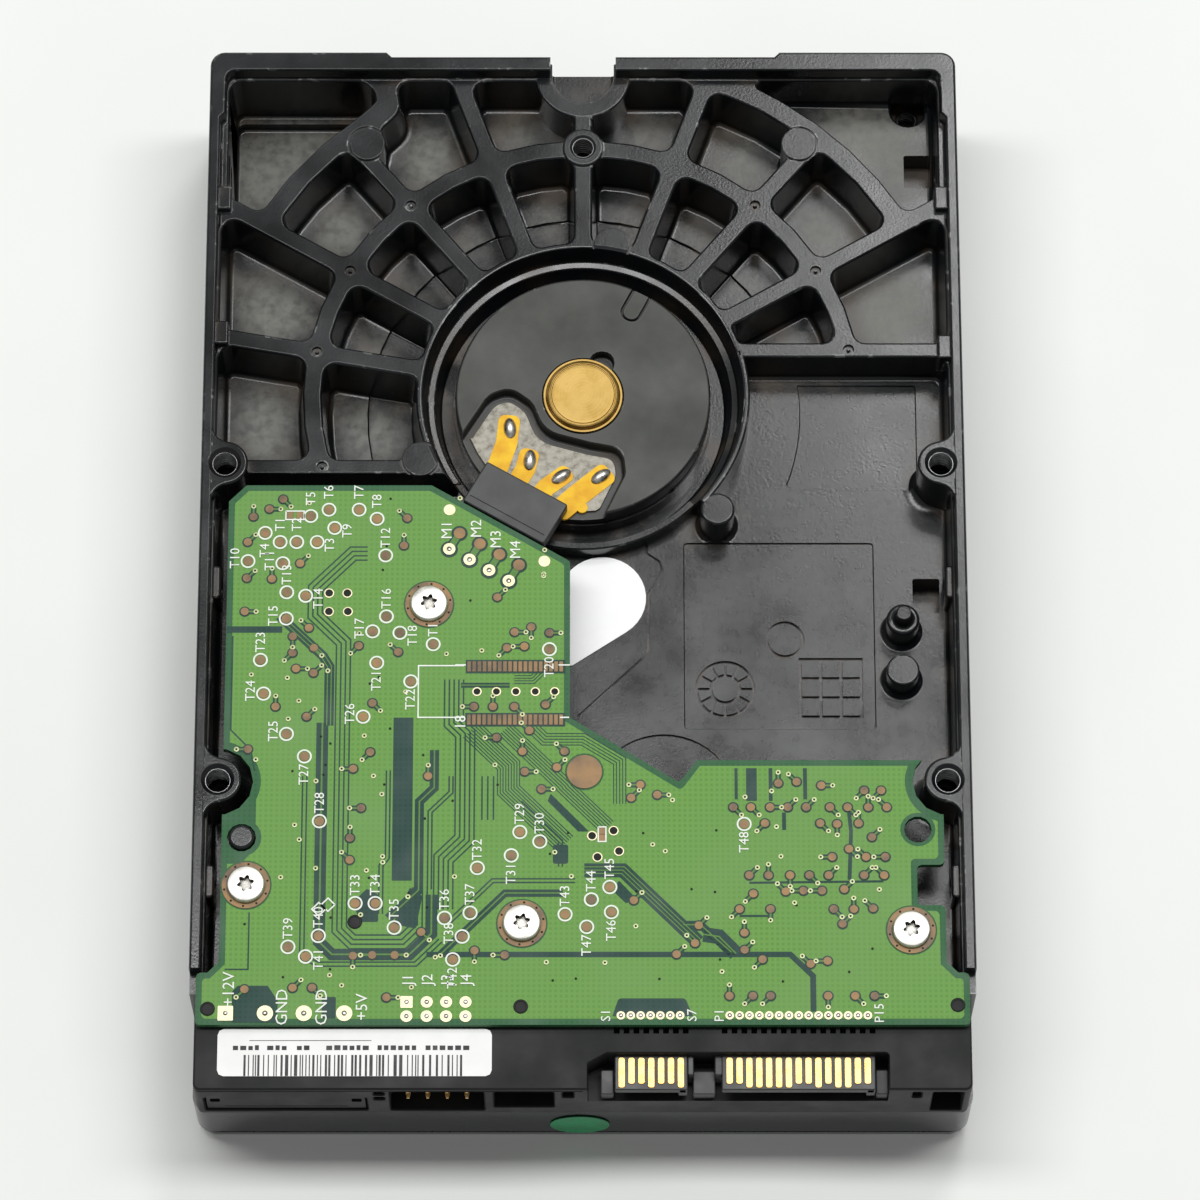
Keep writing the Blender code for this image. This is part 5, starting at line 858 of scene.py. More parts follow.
@dataclass
class RibFan:
    """Ribs that spread from the motor, and the pockets between them."""

    axis: Place = MOTOR_AXIS
    spoke_step: float = 20.0
    spoke_width: float = 2.5
    hub: float = 22.4
    ring_inner: float = 35.0
    ring_outer: float = 37.6
    rim_inner: float = 48.4
    rim_outer: float = 51.2
    step_radius: float = 29.8
    side: float = 48.9
    corner_wall: float = 0.65
    far: float = 69.8
    left_rib_y: float = 13.125
    right_rib_y: float = 30.025
    cross_rib: float = 2.1
    curved_x: float = -27.0
    curved_width: float = 2.8
    fillet: float = 1.6

    @property
    def left_top(self) -> float:
        """Far edge of the left cross rib."""
        return self.left_rib_y + self.cross_rib / 2

    @property
    def right_top(self) -> float:
        """Far edge of the right cross rib."""
        return self.right_rib_y + self.cross_rib / 2

    def spoke(self, number: float) -> float:
        """Angle of a spoke, counted from the far end towards the left."""
        return 90 + self.spoke_step * number

    def edge(self, number: int, side: int) -> tuple[Vector, Vector]:
        """A point and the direction of one edge of a spoke."""
        ahead = Vector(polar(1.0, self.spoke(number)))
        across = Vector((-ahead.y, ahead.x)) * (side * self.spoke_width / 2)
        return Vector(self.axis) + across, ahead

    def at_radius(self, number: int, side: int, radius: float) -> Place:
        """Where a spoke's edge meets a circle about the motor."""
        point, ahead = self.edge(number, side)
        reach = math.sqrt(radius**2 - (self.spoke_width / 2) ** 2)
        return (point + ahead * reach)[:]

    def at_x(self, number: int, side: int, x: float) -> Place:
        """Where a spoke's edge meets a side wall."""
        point, ahead = self.edge(number, side)
        return (point + ahead * ((x - point.x) / ahead.x))[:]

    def at_y(self, number: int, side: int, y: float) -> Place:
        """Where a spoke's edge meets the far wall."""
        point, ahead = self.edge(number, side)
        return (point + ahead * ((y - point.y) / ahead.y))[:]

    def circle_at(self, radius: float, y: float, side: int) -> Place:
        """Where a circle about the motor reaches a distance along the drive."""
        rise = y - self.axis[1]
        return self.axis[0] + side * math.sqrt(radius**2 - rise**2), y

    def between(self, radius: float, start: Place, end: Place) -> list[Corner]:
        """Arc about the motor from one point to another, with filleted ends."""
        chord = 6
        angles = [math.degrees(math.atan2(p[1] - self.axis[1], p[0] - self.axis[0])) for p in (start, end)]
        sweep = (angles[1] - angles[0] + 180) % 360 - 180
        steps = max(2, int(abs(sweep) / chord))
        points = arc(radius, angles[0], angles[0] + sweep, steps, self.axis)
        ends = (0, len(points) - 1)
        return [(x, y, self.fillet if i in ends else 0.0) for i, (x, y, _) in enumerate(points)]

    def corners(self, *points: Place) -> list[Corner]:
        """Filleted corners at some points."""
        return [(p[0], p[1], self.fillet) for p in points]

    def inner_side(self, number: int, radius: float) -> list[Corner]:
        """Side towards the motor of the pocket between a spoke and the next one."""
        return self.between(radius, self.at_radius(number + 1, -1, radius), self.at_radius(number, 1, radius))

    def sector(self, number: int, inner: float, outer: float) -> list[Corner]:
        """Pocket between a spoke and the next one."""
        start, end = self.at_radius(number, 1, outer), self.at_radius(number + 1, -1, outer)
        return self.between(outer, start, end) + self.inner_side(number, inner)

    def curved_pocket(self) -> list[Corner]:
        """Pocket at the far end whose left side is the curved rib."""
        rib = self.curved_x + self.curved_width / 2
        bends = [(rib + self.curved_width / 3, self.far - 4.4, 3.0), (rib - 1.7, self.far - 7.0, 1.0)]
        foot = self.at_radius(2, -1, self.rim_inner - 3.0)
        far_side = self.corners(self.at_y(1, 1, self.far), (rib, self.far))
        return far_side + bends + self.corners(foot) + self.inner_side(1, self.ring_outer)

    def outer_pockets(self) -> list[list[Corner]]:
        """Outlines of the pockets outside the ring rib."""
        ring, far, side = self.ring_outer, self.far, self.side
        pockets = [self.sector(number, ring, self.rim_inner) for number in (-3, -2, 2)]
        for number in (-1, 0):
            far_side = self.corners(self.at_y(number, 1, far), self.at_y(number + 1, -1, far))
            pockets.append(far_side + self.inner_side(number, ring))
        pockets.append(self.curved_pocket())
        left_side = self.corners(self.at_x(3, 1, -side), self.at_x(4, -1, -side))
        pockets.append(left_side + self.inner_side(3, ring))
        pockets.append(
            self.corners(self.at_x(4, 1, -side), (-side, self.left_top))
            + self.between(ring, self.circle_at(ring, self.left_top, -1), self.at_radius(4, 1, ring))
        )
        pockets.append(
            self.corners((side, self.right_top), self.at_x(-3, -1, side))
            + self.between(ring, self.at_radius(-3, -1, ring), self.circle_at(ring, self.right_top, 1))
        )
        return pockets

    def inner_pockets(self, outer: float) -> list[list[Corner]]:
        """Outlines of the pockets inside the ring rib, out to a radius; the last one only where it fits."""
        hub, left, right = self.hub, self.left_top, self.right_top
        pockets = [self.sector(number, hub, outer) for number in range(-3, 4)]
        pockets.append(
            self.between(outer, self.at_radius(4, 1, outer), self.circle_at(outer, left, -1))
            + self.between(hub, self.circle_at(hub, left, -1), self.at_radius(4, 1, hub))
        )
        if outer == self.ring_inner:
            pockets.append(
                self.between(outer, self.circle_at(outer, right, 1), self.at_radius(-3, -1, outer))
                + self.between(hub, self.at_radius(-3, -1, hub), self.circle_at(hub, right, 1))
            )
        return pockets

    def left_corner(self) -> list[Corner]:
        """Outline of the deep pocket in the far left corner."""
        rib, side, far = self.curved_x - self.curved_width / 2, self.side - self.corner_wall, self.far
        start = self.at_radius(3, -1, self.rim_outer)
        crest = self.circle_at(self.rim_outer, far - 5.4, -1)
        sweep = list(reversed(self.between(self.rim_outer, crest, start)))
        bulge = [(*crest, 3.0), (rib + 0.6, far - 2.6, 3.0), (rib - 1.3, far, 2.5)]
        return sweep[:-1] + bulge + self.corners((-side, far), self.at_x(3, -1, -side))

    def right_corner(self) -> list[Corner]:
        """Outline of the pocket in the far right corner."""
        side, far, rim = self.side - self.corner_wall, self.far, self.rim_outer
        sweep = self.between(rim, self.circle_at(rim, far, 1), self.at_radius(-3, 1, rim))
        return sweep + self.corners(self.at_x(-3, 1, side), (side, far))


@dataclass
class Casting:
    """Die-cast base with its rim, ribs, bosses, motor well and deck."""

    half_width: float = 50.8
    half_length: float = 73.025
    low: float = 2.2
    top: float = 26.1
    band: float = 72.725
    corner: float = 2.0
    seam_bevel: float = 0.35
    rim_edge: float = 0.4
    end_step: float = 0.7
    end_step_half: float = 26.1
    wall: float = 1.5
    thick_wall: float = 2.2
    thick_length: float = 7.0
    far_inner: float = 70.225
    rib_top: float = 23.5
    rib_lip: float = 0.32
    deck: float = 17.04
    floor: float = 15.6
    floor_step: float = 0.45
    left_floor: float = 11.3
    left_ledge: float = 1.7
    right_floor: float = 16.5
    root: float = 1.3
    plug_back: float = -60.2
    plug_seam: float = 12.5
    plug_top: float = 23.6
    tail_far: float = -57.4
    chamber: float = 48.2
    chamber_top: float = 11.74
    bay_top: float = 14.44
    bay: tuple[float, float, float, float] = (-29.6, -68.525, 40.0, 11.0)
    bay_corner: float = 4.0
    under: float = -1.0
    mount_x: float = 47.625
    mount_ys: Place = (-31.745, 12.705)
    mount_radius: float = 3.1
    mount_face: float = 26.07
    mount_thread: float = 1.65
    mount_pitch: float = 0.8
    web_hollow: float = 2.2
    side_ys: tuple[float, float, float] = (-44.525, -2.925, 57.075)
    side_drop: float = 6.35
    side_pad: float = 2.3
    board_posts: tuple[Place, ...] = ((-20.3, -7.075), (-43.7, -45.925), (-7.9, -51.125), (42.5, -52.025))
    post_top: float = 23.6
    notch_inset: float = 2.2
    notch_radius: float = 4.2
    notch_boss: float = 6.5
    lock_radius: float = 36.3
    lock_thread: float = 1.45
    corner_hole: Place = (44.7, 68.72)
    corner_thread: float = 1.3
    fine_pitch: float = 0.6
    thread_length: float = 4.6
    ledge_top: float = 19.9
    pad_radius: float = 2.4
    cover_screw_x: float = 45.2
    cover_screw_ys: tuple[float, float, float] = (68.325, -19.025, -59.525)
    panel: tuple[float, float, float, float] = (13.4, -21.8, 38.9, 4.7)
    panel_corner: float = 1.2
    panel_depth: float = 0.3
    groove: float = 0.34
    mark: float = 0.4
    wheel: Place = (18.9, -16.0)
    ring_mark: Place = (26.9, -9.0)
    grid: Place = (28.9, -19.9)
    grid_step: float = 2.7
    grid_length: float = 8.5
    fan: RibFan = field(default_factory=RibFan)

    @property
    def foot(self) -> float:
        """Level inside the deck from which bosses rise."""
        return self.deck - self.root

    @property
    def base(self) -> float:
        """Level inside the pockets' floor from which bosses rise."""
        return self.floor - self.root

    @property
    def notch(self) -> Place:
        """Middle of the round notch in the far end."""
        return 0.0, self.half_length - self.notch_inset

    @property
    def lock(self) -> Place:
        """Middle of the tapped boss on the ring rib."""
        return polar(self.lock_radius, 90, self.fan.axis)

    @property
    def mounts(self) -> list[Place]:
        """Places of the four mounting bosses."""
        return [(side * self.mount_x, y) for side in (-1, 1) for y in self.mount_ys]

    def outline(self) -> list[Corner]:
        """Outline of the base, its far end stepped in the middle."""
        half, far, near = self.half_width, self.half_length, -self.band
        step, stepped, slope = self.end_step_half, far - self.end_step, self.end_step
        return [
            (-half, near, self.corner),
            (half, near, self.corner),
            (half, far, self.corner),
            (step + slope, far, 0.0),
            (step, stepped, 0.0),
            (-step, stepped, 0.0),
            (-step - slope, far, 0.0),
            (-half, far, self.corner),
        ]

    def block(self) -> Shape:
        """Outer form with its rounded rim and a small bevel at the cover's seam."""
        levels = [(self.seam_bevel, self.low), (0.0, self.low + self.seam_bevel)]
        levels += [(inset, self.top - self.rim_edge + rise) for inset, rise in quarter(self.rim_edge)]
        return loft([(rounded(self.outline(), inset, 6), level) for inset, level in levels])

    def tray(self) -> list[Corner]:
        """Outline of the room inside the rim."""
        side, thick = self.half_width - self.wall, self.half_width - self.thick_wall
        near, bend = -self.half_length - REACH, self.far_inner - self.thick_length
        slope = self.thick_wall - self.wall
        corner = 1.2
        return [
            (-side, near, 0.0),
            (side, near, 0.0),
            (side, bend, 0.0),
            (thick, bend + slope, 0.0),
            (thick, self.far_inner, corner),
            (-thick, self.far_inner, corner),
            (-thick, bend + slope, 0.0),
            (-side, bend, 0.0),
        ]

    def deck_outline(self) -> list[Corner]:
        """Outline of the deck that the board and the marks lie over."""
        fan, side, near = self.fan, self.fan.side, self.plug_back - 1.5
        right, left = fan.right_rib_y - fan.cross_rib / 2, fan.left_rib_y - fan.cross_rib / 2
        return [
            (-side, near, 0.0),
            (side, near, 0.0),
            (side, right, fan.fillet),
            (fan.axis[0], right, 0.0),
            (fan.axis[0], left, 0.0),
            (-side, left, fan.fillet),
        ]

    def sunk(self, corners: Sequence[Corner], level: float, depth: float, inset: float = 0.0) -> Shape:
        """Cutter of a shallow step in a floor.

        Args:
            corners: Outline of the step.
            level: Level of the floor.
            depth: Depth of the step.
            inset: How far the step stays inside the outline.

        Returns:
            The cutter.
        """
        most, clear = 0.5, 0.3
        rings = (
            (inset + depth * 0.5, level - depth),
            (inset + depth * 0.1, level - depth * 0.6),
            (inset, level + clear),
        )
        sharp = [(x, y, min(r, most)) for x, y, r in corners]
        return loft([(rounded(sharp, moved, 2), height) for moved, height in rings])

    def room(self) -> list[Shape]:
        """Cutters of the tray, the deck, the connector's seat and the pockets."""
        fan, wide, ribs, lip = self.fan, self.half_width + REACH, self.rib_top, self.rib_lip
        near, high = -self.half_length - REACH, self.top + REACH
        corner = fan.left_corner()
        ledge = [(x, min(y, fan.far - 1.2), r) for x, y, r in corner]
        shapes = [
            pocket(self.tray(), ribs, self.top, 0.3, 0.35, 0.05),
            pocket(self.deck_outline(), self.deck, ribs, 0.6, lip, 0.3),
            prism(rectangle(-wide, near, wide, self.plug_back), self.plug_seam, high),
            prism(rectangle(-wide, near, wide, self.tail_far), self.plug_top, high),
            pocket(corner, self.left_floor + self.left_ledge, ribs, 0.5, lip, 0.4),
            pocket(fan.right_corner(), self.right_floor, ribs, 0.8, lip, 0.3),
            pocket(ledge, self.left_floor, ribs, 0.5, 0.3, 0.45),
        ]
        for corners in fan.outer_pockets() + fan.inner_pockets(fan.ring_inner):
            shapes.append(pocket(corners, self.floor, ribs, 0.7, 0.42, 0.6))
        for corners in fan.inner_pockets(fan.step_radius):
            shapes.append(self.sunk(corners, self.floor, self.floor_step, 0.6))
        return shapes

    def raised(self) -> list[Shape]:
        """Bosses, pads, posts, tabs and the well's wall."""
        axis, foot, base, deck, ribs = self.fan.axis, self.foot, self.base, self.deck, self.rib_top
        crescent = arc(self.fan.hub, -44, 18, 24, axis) + arc(17.3, 18, -44, 24, axis)
        stepped = (42.4, -8.0)
        shapes = [
            bore([(20.8, foot), (20.8, self.ledge_top - 0.2), (20.6, self.ledge_top)], axis, 96),
            prism(crescent, foot + 0.2, ribs, 0.35),
            prism(arc(self.notch_boss, 180, 360, 28, self.notch), base, ribs + 0.05, 0.3),
            boss(self.lock, 2.8, base, self.floor, ribs + 0.45, 0.9, 0.35),
            boss((17.9, 7.1), 2.3, foot, deck, ribs, 0.8, 0.4),
            boss((42.3, -14.9), 2.2, foot, deck, deck + 4.4, 0.8, 0.35),
            boss(stepped, 2.2, foot, deck, deck + 5.0, 0.8, 0.5),
            boss(stepped, 1.05, foot, deck + 4.9, deck + 7.4, 0.2, 0.25),
            boss((-44.4, -39.425), 1.7, foot, deck, 25.6, 0.8, 0.5),
        ]
        for x, y in self.mounts:
            shapes.append(boss((x, y), self.mount_radius, foot, deck, self.mount_face, 0.05, 0.4))
            shapes.append(boss((x - math.copysign(0.9, x), y), 2.2, foot, deck, deck + 3.0, 1.75, 0.3))
            shapes.append(self.web(x, y, foot))
        for place in self.pads():
            shapes.append(boss(place, self.pad_radius, base, self.floor, ribs + 0.16, 0.5, 0.14))
        for place in self.board_posts:
            shapes.append(boss(place, 2.7, foot, deck, self.post_top, 0.8, 0.3))
        return shapes + self.wall_tabs()

    def web(self, x: float, y: float, low: float) -> Shape:
        """Hollow-cornered web that runs a mount boss into the side wall.

        Args:
            x: Place of the boss across the drive.
            y: Its place along the drive.
            low: Lower end of the web.

        Returns:
            The web.
        """
        hollow, inner, side = self.web_hollow, self.half_width - self.wall, math.copysign(1.0, x)
        offset = inner - hollow - abs(x)
        reach = math.sqrt((self.mount_radius + hollow) ** 2 - offset**2)
        sweep = math.degrees(math.atan2(reach, -offset))
        curve = arc(hollow, 0, sweep, 8, (inner - hollow, -reach))
        half = [(inner + 0.8, -reach, 0.0)] + curve
        outline = half + [(u, -v, r) for u, v, r in reversed(half)]
        corners = [(side * u, y + v, r) for u, v, r in outline]
        return prism(corners if side < 0 else corners[::-1], low, self.top - 0.06, 0.3)

    def pads(self) -> list[Place]:
        """Places of the round ejector pads on the ribs."""
        fan = self.fan
        places = [polar(fan.rim_inner - 1.2, fan.spoke(side * 2) - side * 1.5, fan.axis) for side in (1, -1)]
        places.append(polar(fan.hub, fan.spoke(-0.5), fan.axis))
        places.append(fan.circle_at(fan.hub + 1.2, fan.left_top, -1))
        return places

    def wall_tabs(self) -> list[Shape]:
        """Pads of the side holes and the small tabs where ribs end at the side walls."""
        fan, inner = self.fan, self.half_width - self.wall
        low = min(self.deck, self.left_floor) - self.root
        ends = [fan.at_x(3, 0, -inner), fan.at_x(4, 0, -inner), fan.at_x(-3, 0, inner)]
        ends.append((inner, fan.right_rib_y))
        pads = [(side * inner, y) for side in (-1, 1) for y in self.side_ys]
        # Places with inward and outward reach, half length, fillet, lower and upper level, and top edge
        tabs = [(place, 1.3, 0.8, self.side_pad, 0.5, low, 22.6, 0.4) for place in pads]
        tabs += [(place, 1.7, 0.7, 1.7, 0.3, 20.0, 24.7, 0.3) for place in ends]
        shapes = []
        for (x, y), inward, outward, half, fillet, bottom, top, edge in tabs:
            left, right = sorted((x - math.copysign(inward, x), x + math.copysign(outward, x)))
            shapes.append(prism(rectangle(left, y - half, right, y + half, fillet), bottom, top, edge))
        return shapes

    def well(self) -> Shape:
        """Cutter of the stepped motor well."""
        drops = (
            (21.9, -SKIM),
            (21.6, 0.12),
            (21.5, 0.4),
            (20.9, 3.1),
            (20.7, 3.3),
            (20.1, 3.4),
            (19.9, 3.6),
            (19.2, 6.1),
            (19.0, 6.3),
            (17.4, 6.3),
        )
        bottom = ((17.4, self.ledge_top), (16.6, self.ledge_top), (16.6, 0.0))
        steps = [(radius, self.rib_top - drop) for radius, drop in drops]
        return bore([(21.9, self.top + REACH), *steps, *bottom], self.fan.axis, 128)

    def side_holes(self) -> list[Shape]:
        """Cutters of the countersunk holes in the side walls, from their blind ends outwards."""
        steps = ((1.5, 47.2), (1.5, 50.3), (1.85, 50.55), (1.85, 52.5))
        shapes = []
        for y in self.side_ys:
            for side in (-1, 1):
                profile = [(radius, side * x) for radius, x in steps[::side]]
                shapes.append(along(bore(profile, (y, self.top - self.side_drop), 28), "X"))
        return shapes

    def rib_marks(self) -> list[Shape]:
        """Cutters of the ring dimples on the ribs and the rims of the ejector pads."""
        ribs, fan = self.rib_top, self.fan
        low, high = ribs - 0.55, ribs + 0.1
        dimple = [(0.16, ribs), (0.3, low), (0.66, low), (0.78, high), (0.16, high)]
        rim = [(2.4, ribs - 0.3), (2.62, ribs - 0.3), (2.7, ribs + 0.3), (2.38, ribs + 0.3)]
        places = [polar(self.lock_radius, angle, fan.axis) for angle in (130, 150, 170, 50, 30, 10.5)]
        places.append((-34.8, fan.left_rib_y))
        dimples = [lathe(dimple, place, 20) for place in places]
        return dimples + [lathe(rim, place, 40) for place in self.pads()]

    def holes(self) -> list[Shape]:
        """Cutters of holes, dimples and recesses."""
        end, notch, ribs = self.half_length + REACH, self.notch_radius, self.rib_top
        mouth = arc(notch, 180, 360, 24, self.notch) + [(notch, end, 0.0), (-notch, end, 0.0)]
        corner, corner_top = self.corner_hole, self.right_floor - 3.2
        counterbore = [(2.3, 13.3), (2.35, 16.2), (2.75, 16.6), (2.75, 17.0)]
        left_hole = [(1.7, 9.0), (1.7, 11.0), (2.1, 11.4), (2.1, 13.2)]
        shapes = [
            self.well(),
            pocket(mouth, 19.6, ribs + 0.05, 0.4, 0.3, 0.0),
            prism(rectangle(-notch - 0.25, 69.9, notch + 0.25, end), ribs + 1.0, self.top + REACH),
            threaded(self.lock, self.lock_thread, 17.5, ribs + 0.45, 0.35, self.fine_pitch),
            threaded(corner, self.corner_thread, 10.0, corner_top, 0.3, self.fine_pitch),
            bore(counterbore, corner, 36),
            bore(left_hole, (-31.8, 65.2), 32),
        ]
        for place in self.mounts:
            low, face = self.top - 7.5, self.mount_face
            shapes.append(threaded(place, self.mount_thread, low, face, 0.55, self.mount_pitch))
        shapes += [bore([(1.6, 19.0), (1.6, self.top)], place) for place in self.board_posts]
        shapes += self.side_holes() + self.rib_marks()
        for y, level in ((self.side_ys[1], self.deck), (self.side_ys[2] + 2.3, self.right_floor)):
            shapes.append(prism(rectangle(44.0, y - 2.45, 47.6, y + 2.45, 0.3), level - 4.2, level + 1.5))
        shapes += [bore([(1.4, self.under), (1.4, 7.9)], place, 20) for place in self.screws()]
        plug = turned((-8.9, -19.175), (13.4, 8.2), 0)
        shapes.append(prism(plug, self.bay_top - 0.3, self.deck + 0.3))
        return shapes + self.deck_marks()

    def threads(self) -> list[Shape]:
        """Bare crests and flanks of the tapped holes."""
        tapped = [(place, self.mount_thread, self.top - 0.63, self.mount_pitch) for place in self.mounts]
        tapped.append((self.lock, self.lock_thread, self.rib_top + 0.05, self.fine_pitch))
        tapped.append((self.corner_hole, self.corner_thread, self.right_floor - 3.55, self.fine_pitch))
        proud, start, wall, flank = 0.05, 0.2, 0.4, 0.28
        shapes = []
        for place, radius, top, pitch in tapped:
            count, crest, back = int(self.thread_length / pitch), radius - proud, radius + wall
            zigzag = [(crest, top)]
            for number in range(count):
                level = top - start - pitch * number
                zigzag += [(crest, level), (crest + flank * pitch, level - pitch / 2)]
            low = top - start - pitch * count
            shapes.append(lathe(zigzag + [(crest, low), (back, low), (back, top)], place, 36))
        return shapes

    def screws(self) -> list[Place]:
        """Places of the cover screws."""
        return [(side * self.cover_screw_x, y) for y in self.cover_screw_ys for side in (-1, 1)]

    def deck_marks(self) -> list[Shape]:
        """Cutters of the deck's shallow recesses, grooves and cast marks."""
        deck = self.deck
        sweep = arc(29.2, 8.0, -21.0, 8, self.fan.axis)
        recess = [(28.0, 12.2, 0.5), (45.0, 12.2, 0.5), (45.0, 27.49, 0.5)] + sweep
        panel = rectangle(*self.panel, self.panel_corner)
        shapes = [self.sunk(recess, deck, self.panel_depth), self.sunk(panel, deck, self.panel_depth)]
        step = [(8.5, 4.4), (8.5, 3.2), (10.2, 2.0), (10.5, 0.8), (9.8, -1.0), (8.8, -2.5), (8.7, -10.5)]
        step += [(7.9, -11.8), (-0.7, -20.0)]
        bow = [(x, y) for x, y, _ in arc(9.4, 15, 165, 20, (10.7, -32.0))]
        shapes += [prism(ribbon(path, self.groove), deck - 0.45, deck + 0.5) for path in (step, bow)]
        return shapes + self.tool_marks()

    def tool_marks(self) -> list[Shape]:
        """Cutters of the panel's frame, a plain ring, a twelve-part wheel and a nine-part grid."""
        low, high, line = self.deck - 0.8, self.deck + 0.3, self.mark
        edge = [point[:] for point in rounded(rectangle(*self.panel, self.panel_corner))]
        shapes, paths = [prism(ribbon(edge + edge[:2], line), low, high)], []
        for place, outer in ((self.ring_mark, 2.6), (self.wheel, 4.0), (self.wheel, 2.1)):
            shapes.append(hoop(place, outer - line, outer, low, high))
        for number in range(12):
            angle = 30 * number
            paths.append(([polar(1.9, angle, self.wheel), polar(3.8, angle, self.wheel)], 0.36))
        left, near = self.grid
        for number in range(4):
            x, y = left + self.grid_step * number, near + self.grid_step * number
            paths.append(([(left - 0.2, y), (left - 0.2 + self.grid_length, y)], line))
            paths.append(([(x, near - 0.2), (x, near - 0.2 + self.grid_length)], line))
        return shapes + [prism(ribbon(path, width), low, high) for path, width in paths]

    def build(self) -> None:
        """Build and dress the casting."""
        base = formed("die_cast_base", [self.block()])
        combined(base, Join.CUT, self.room())
        combined(base, Join.ADD, self.raised())
        combined(base, Join.CUT, self.holes())
        chamber = bore([(self.chamber, self.under), (self.chamber, self.chamber_top)], self.fan.axis, 96)
        bay = prism(rectangle(*self.bay, self.bay_corner), self.under, self.bay_top)
        combined(base, Join.CUT, [chamber, bay])
        published(base, Finishes.paint, "base_casting")
        made("tapped_threads", self.threads(), Finishes.thread, "painted_casting")


@dataclass(frozen=True)
class Bundle:
    """Tracks that run side by side: gaps in the copper, or bright tracks on a dark bed."""

    path: tuple[Place, ...]
    lines: int = 3
    pitch: float = 0.6
    width: float = 0.2
    bed: float = 0.0

    def paths(self) -> list[list[Place]]:
        """Middle line of each gap or track."""
        first = -self.pitch * (self.lines - 1) / 2
        return [shifted(self.path, first + self.pitch * i) for i in range(self.lines)]


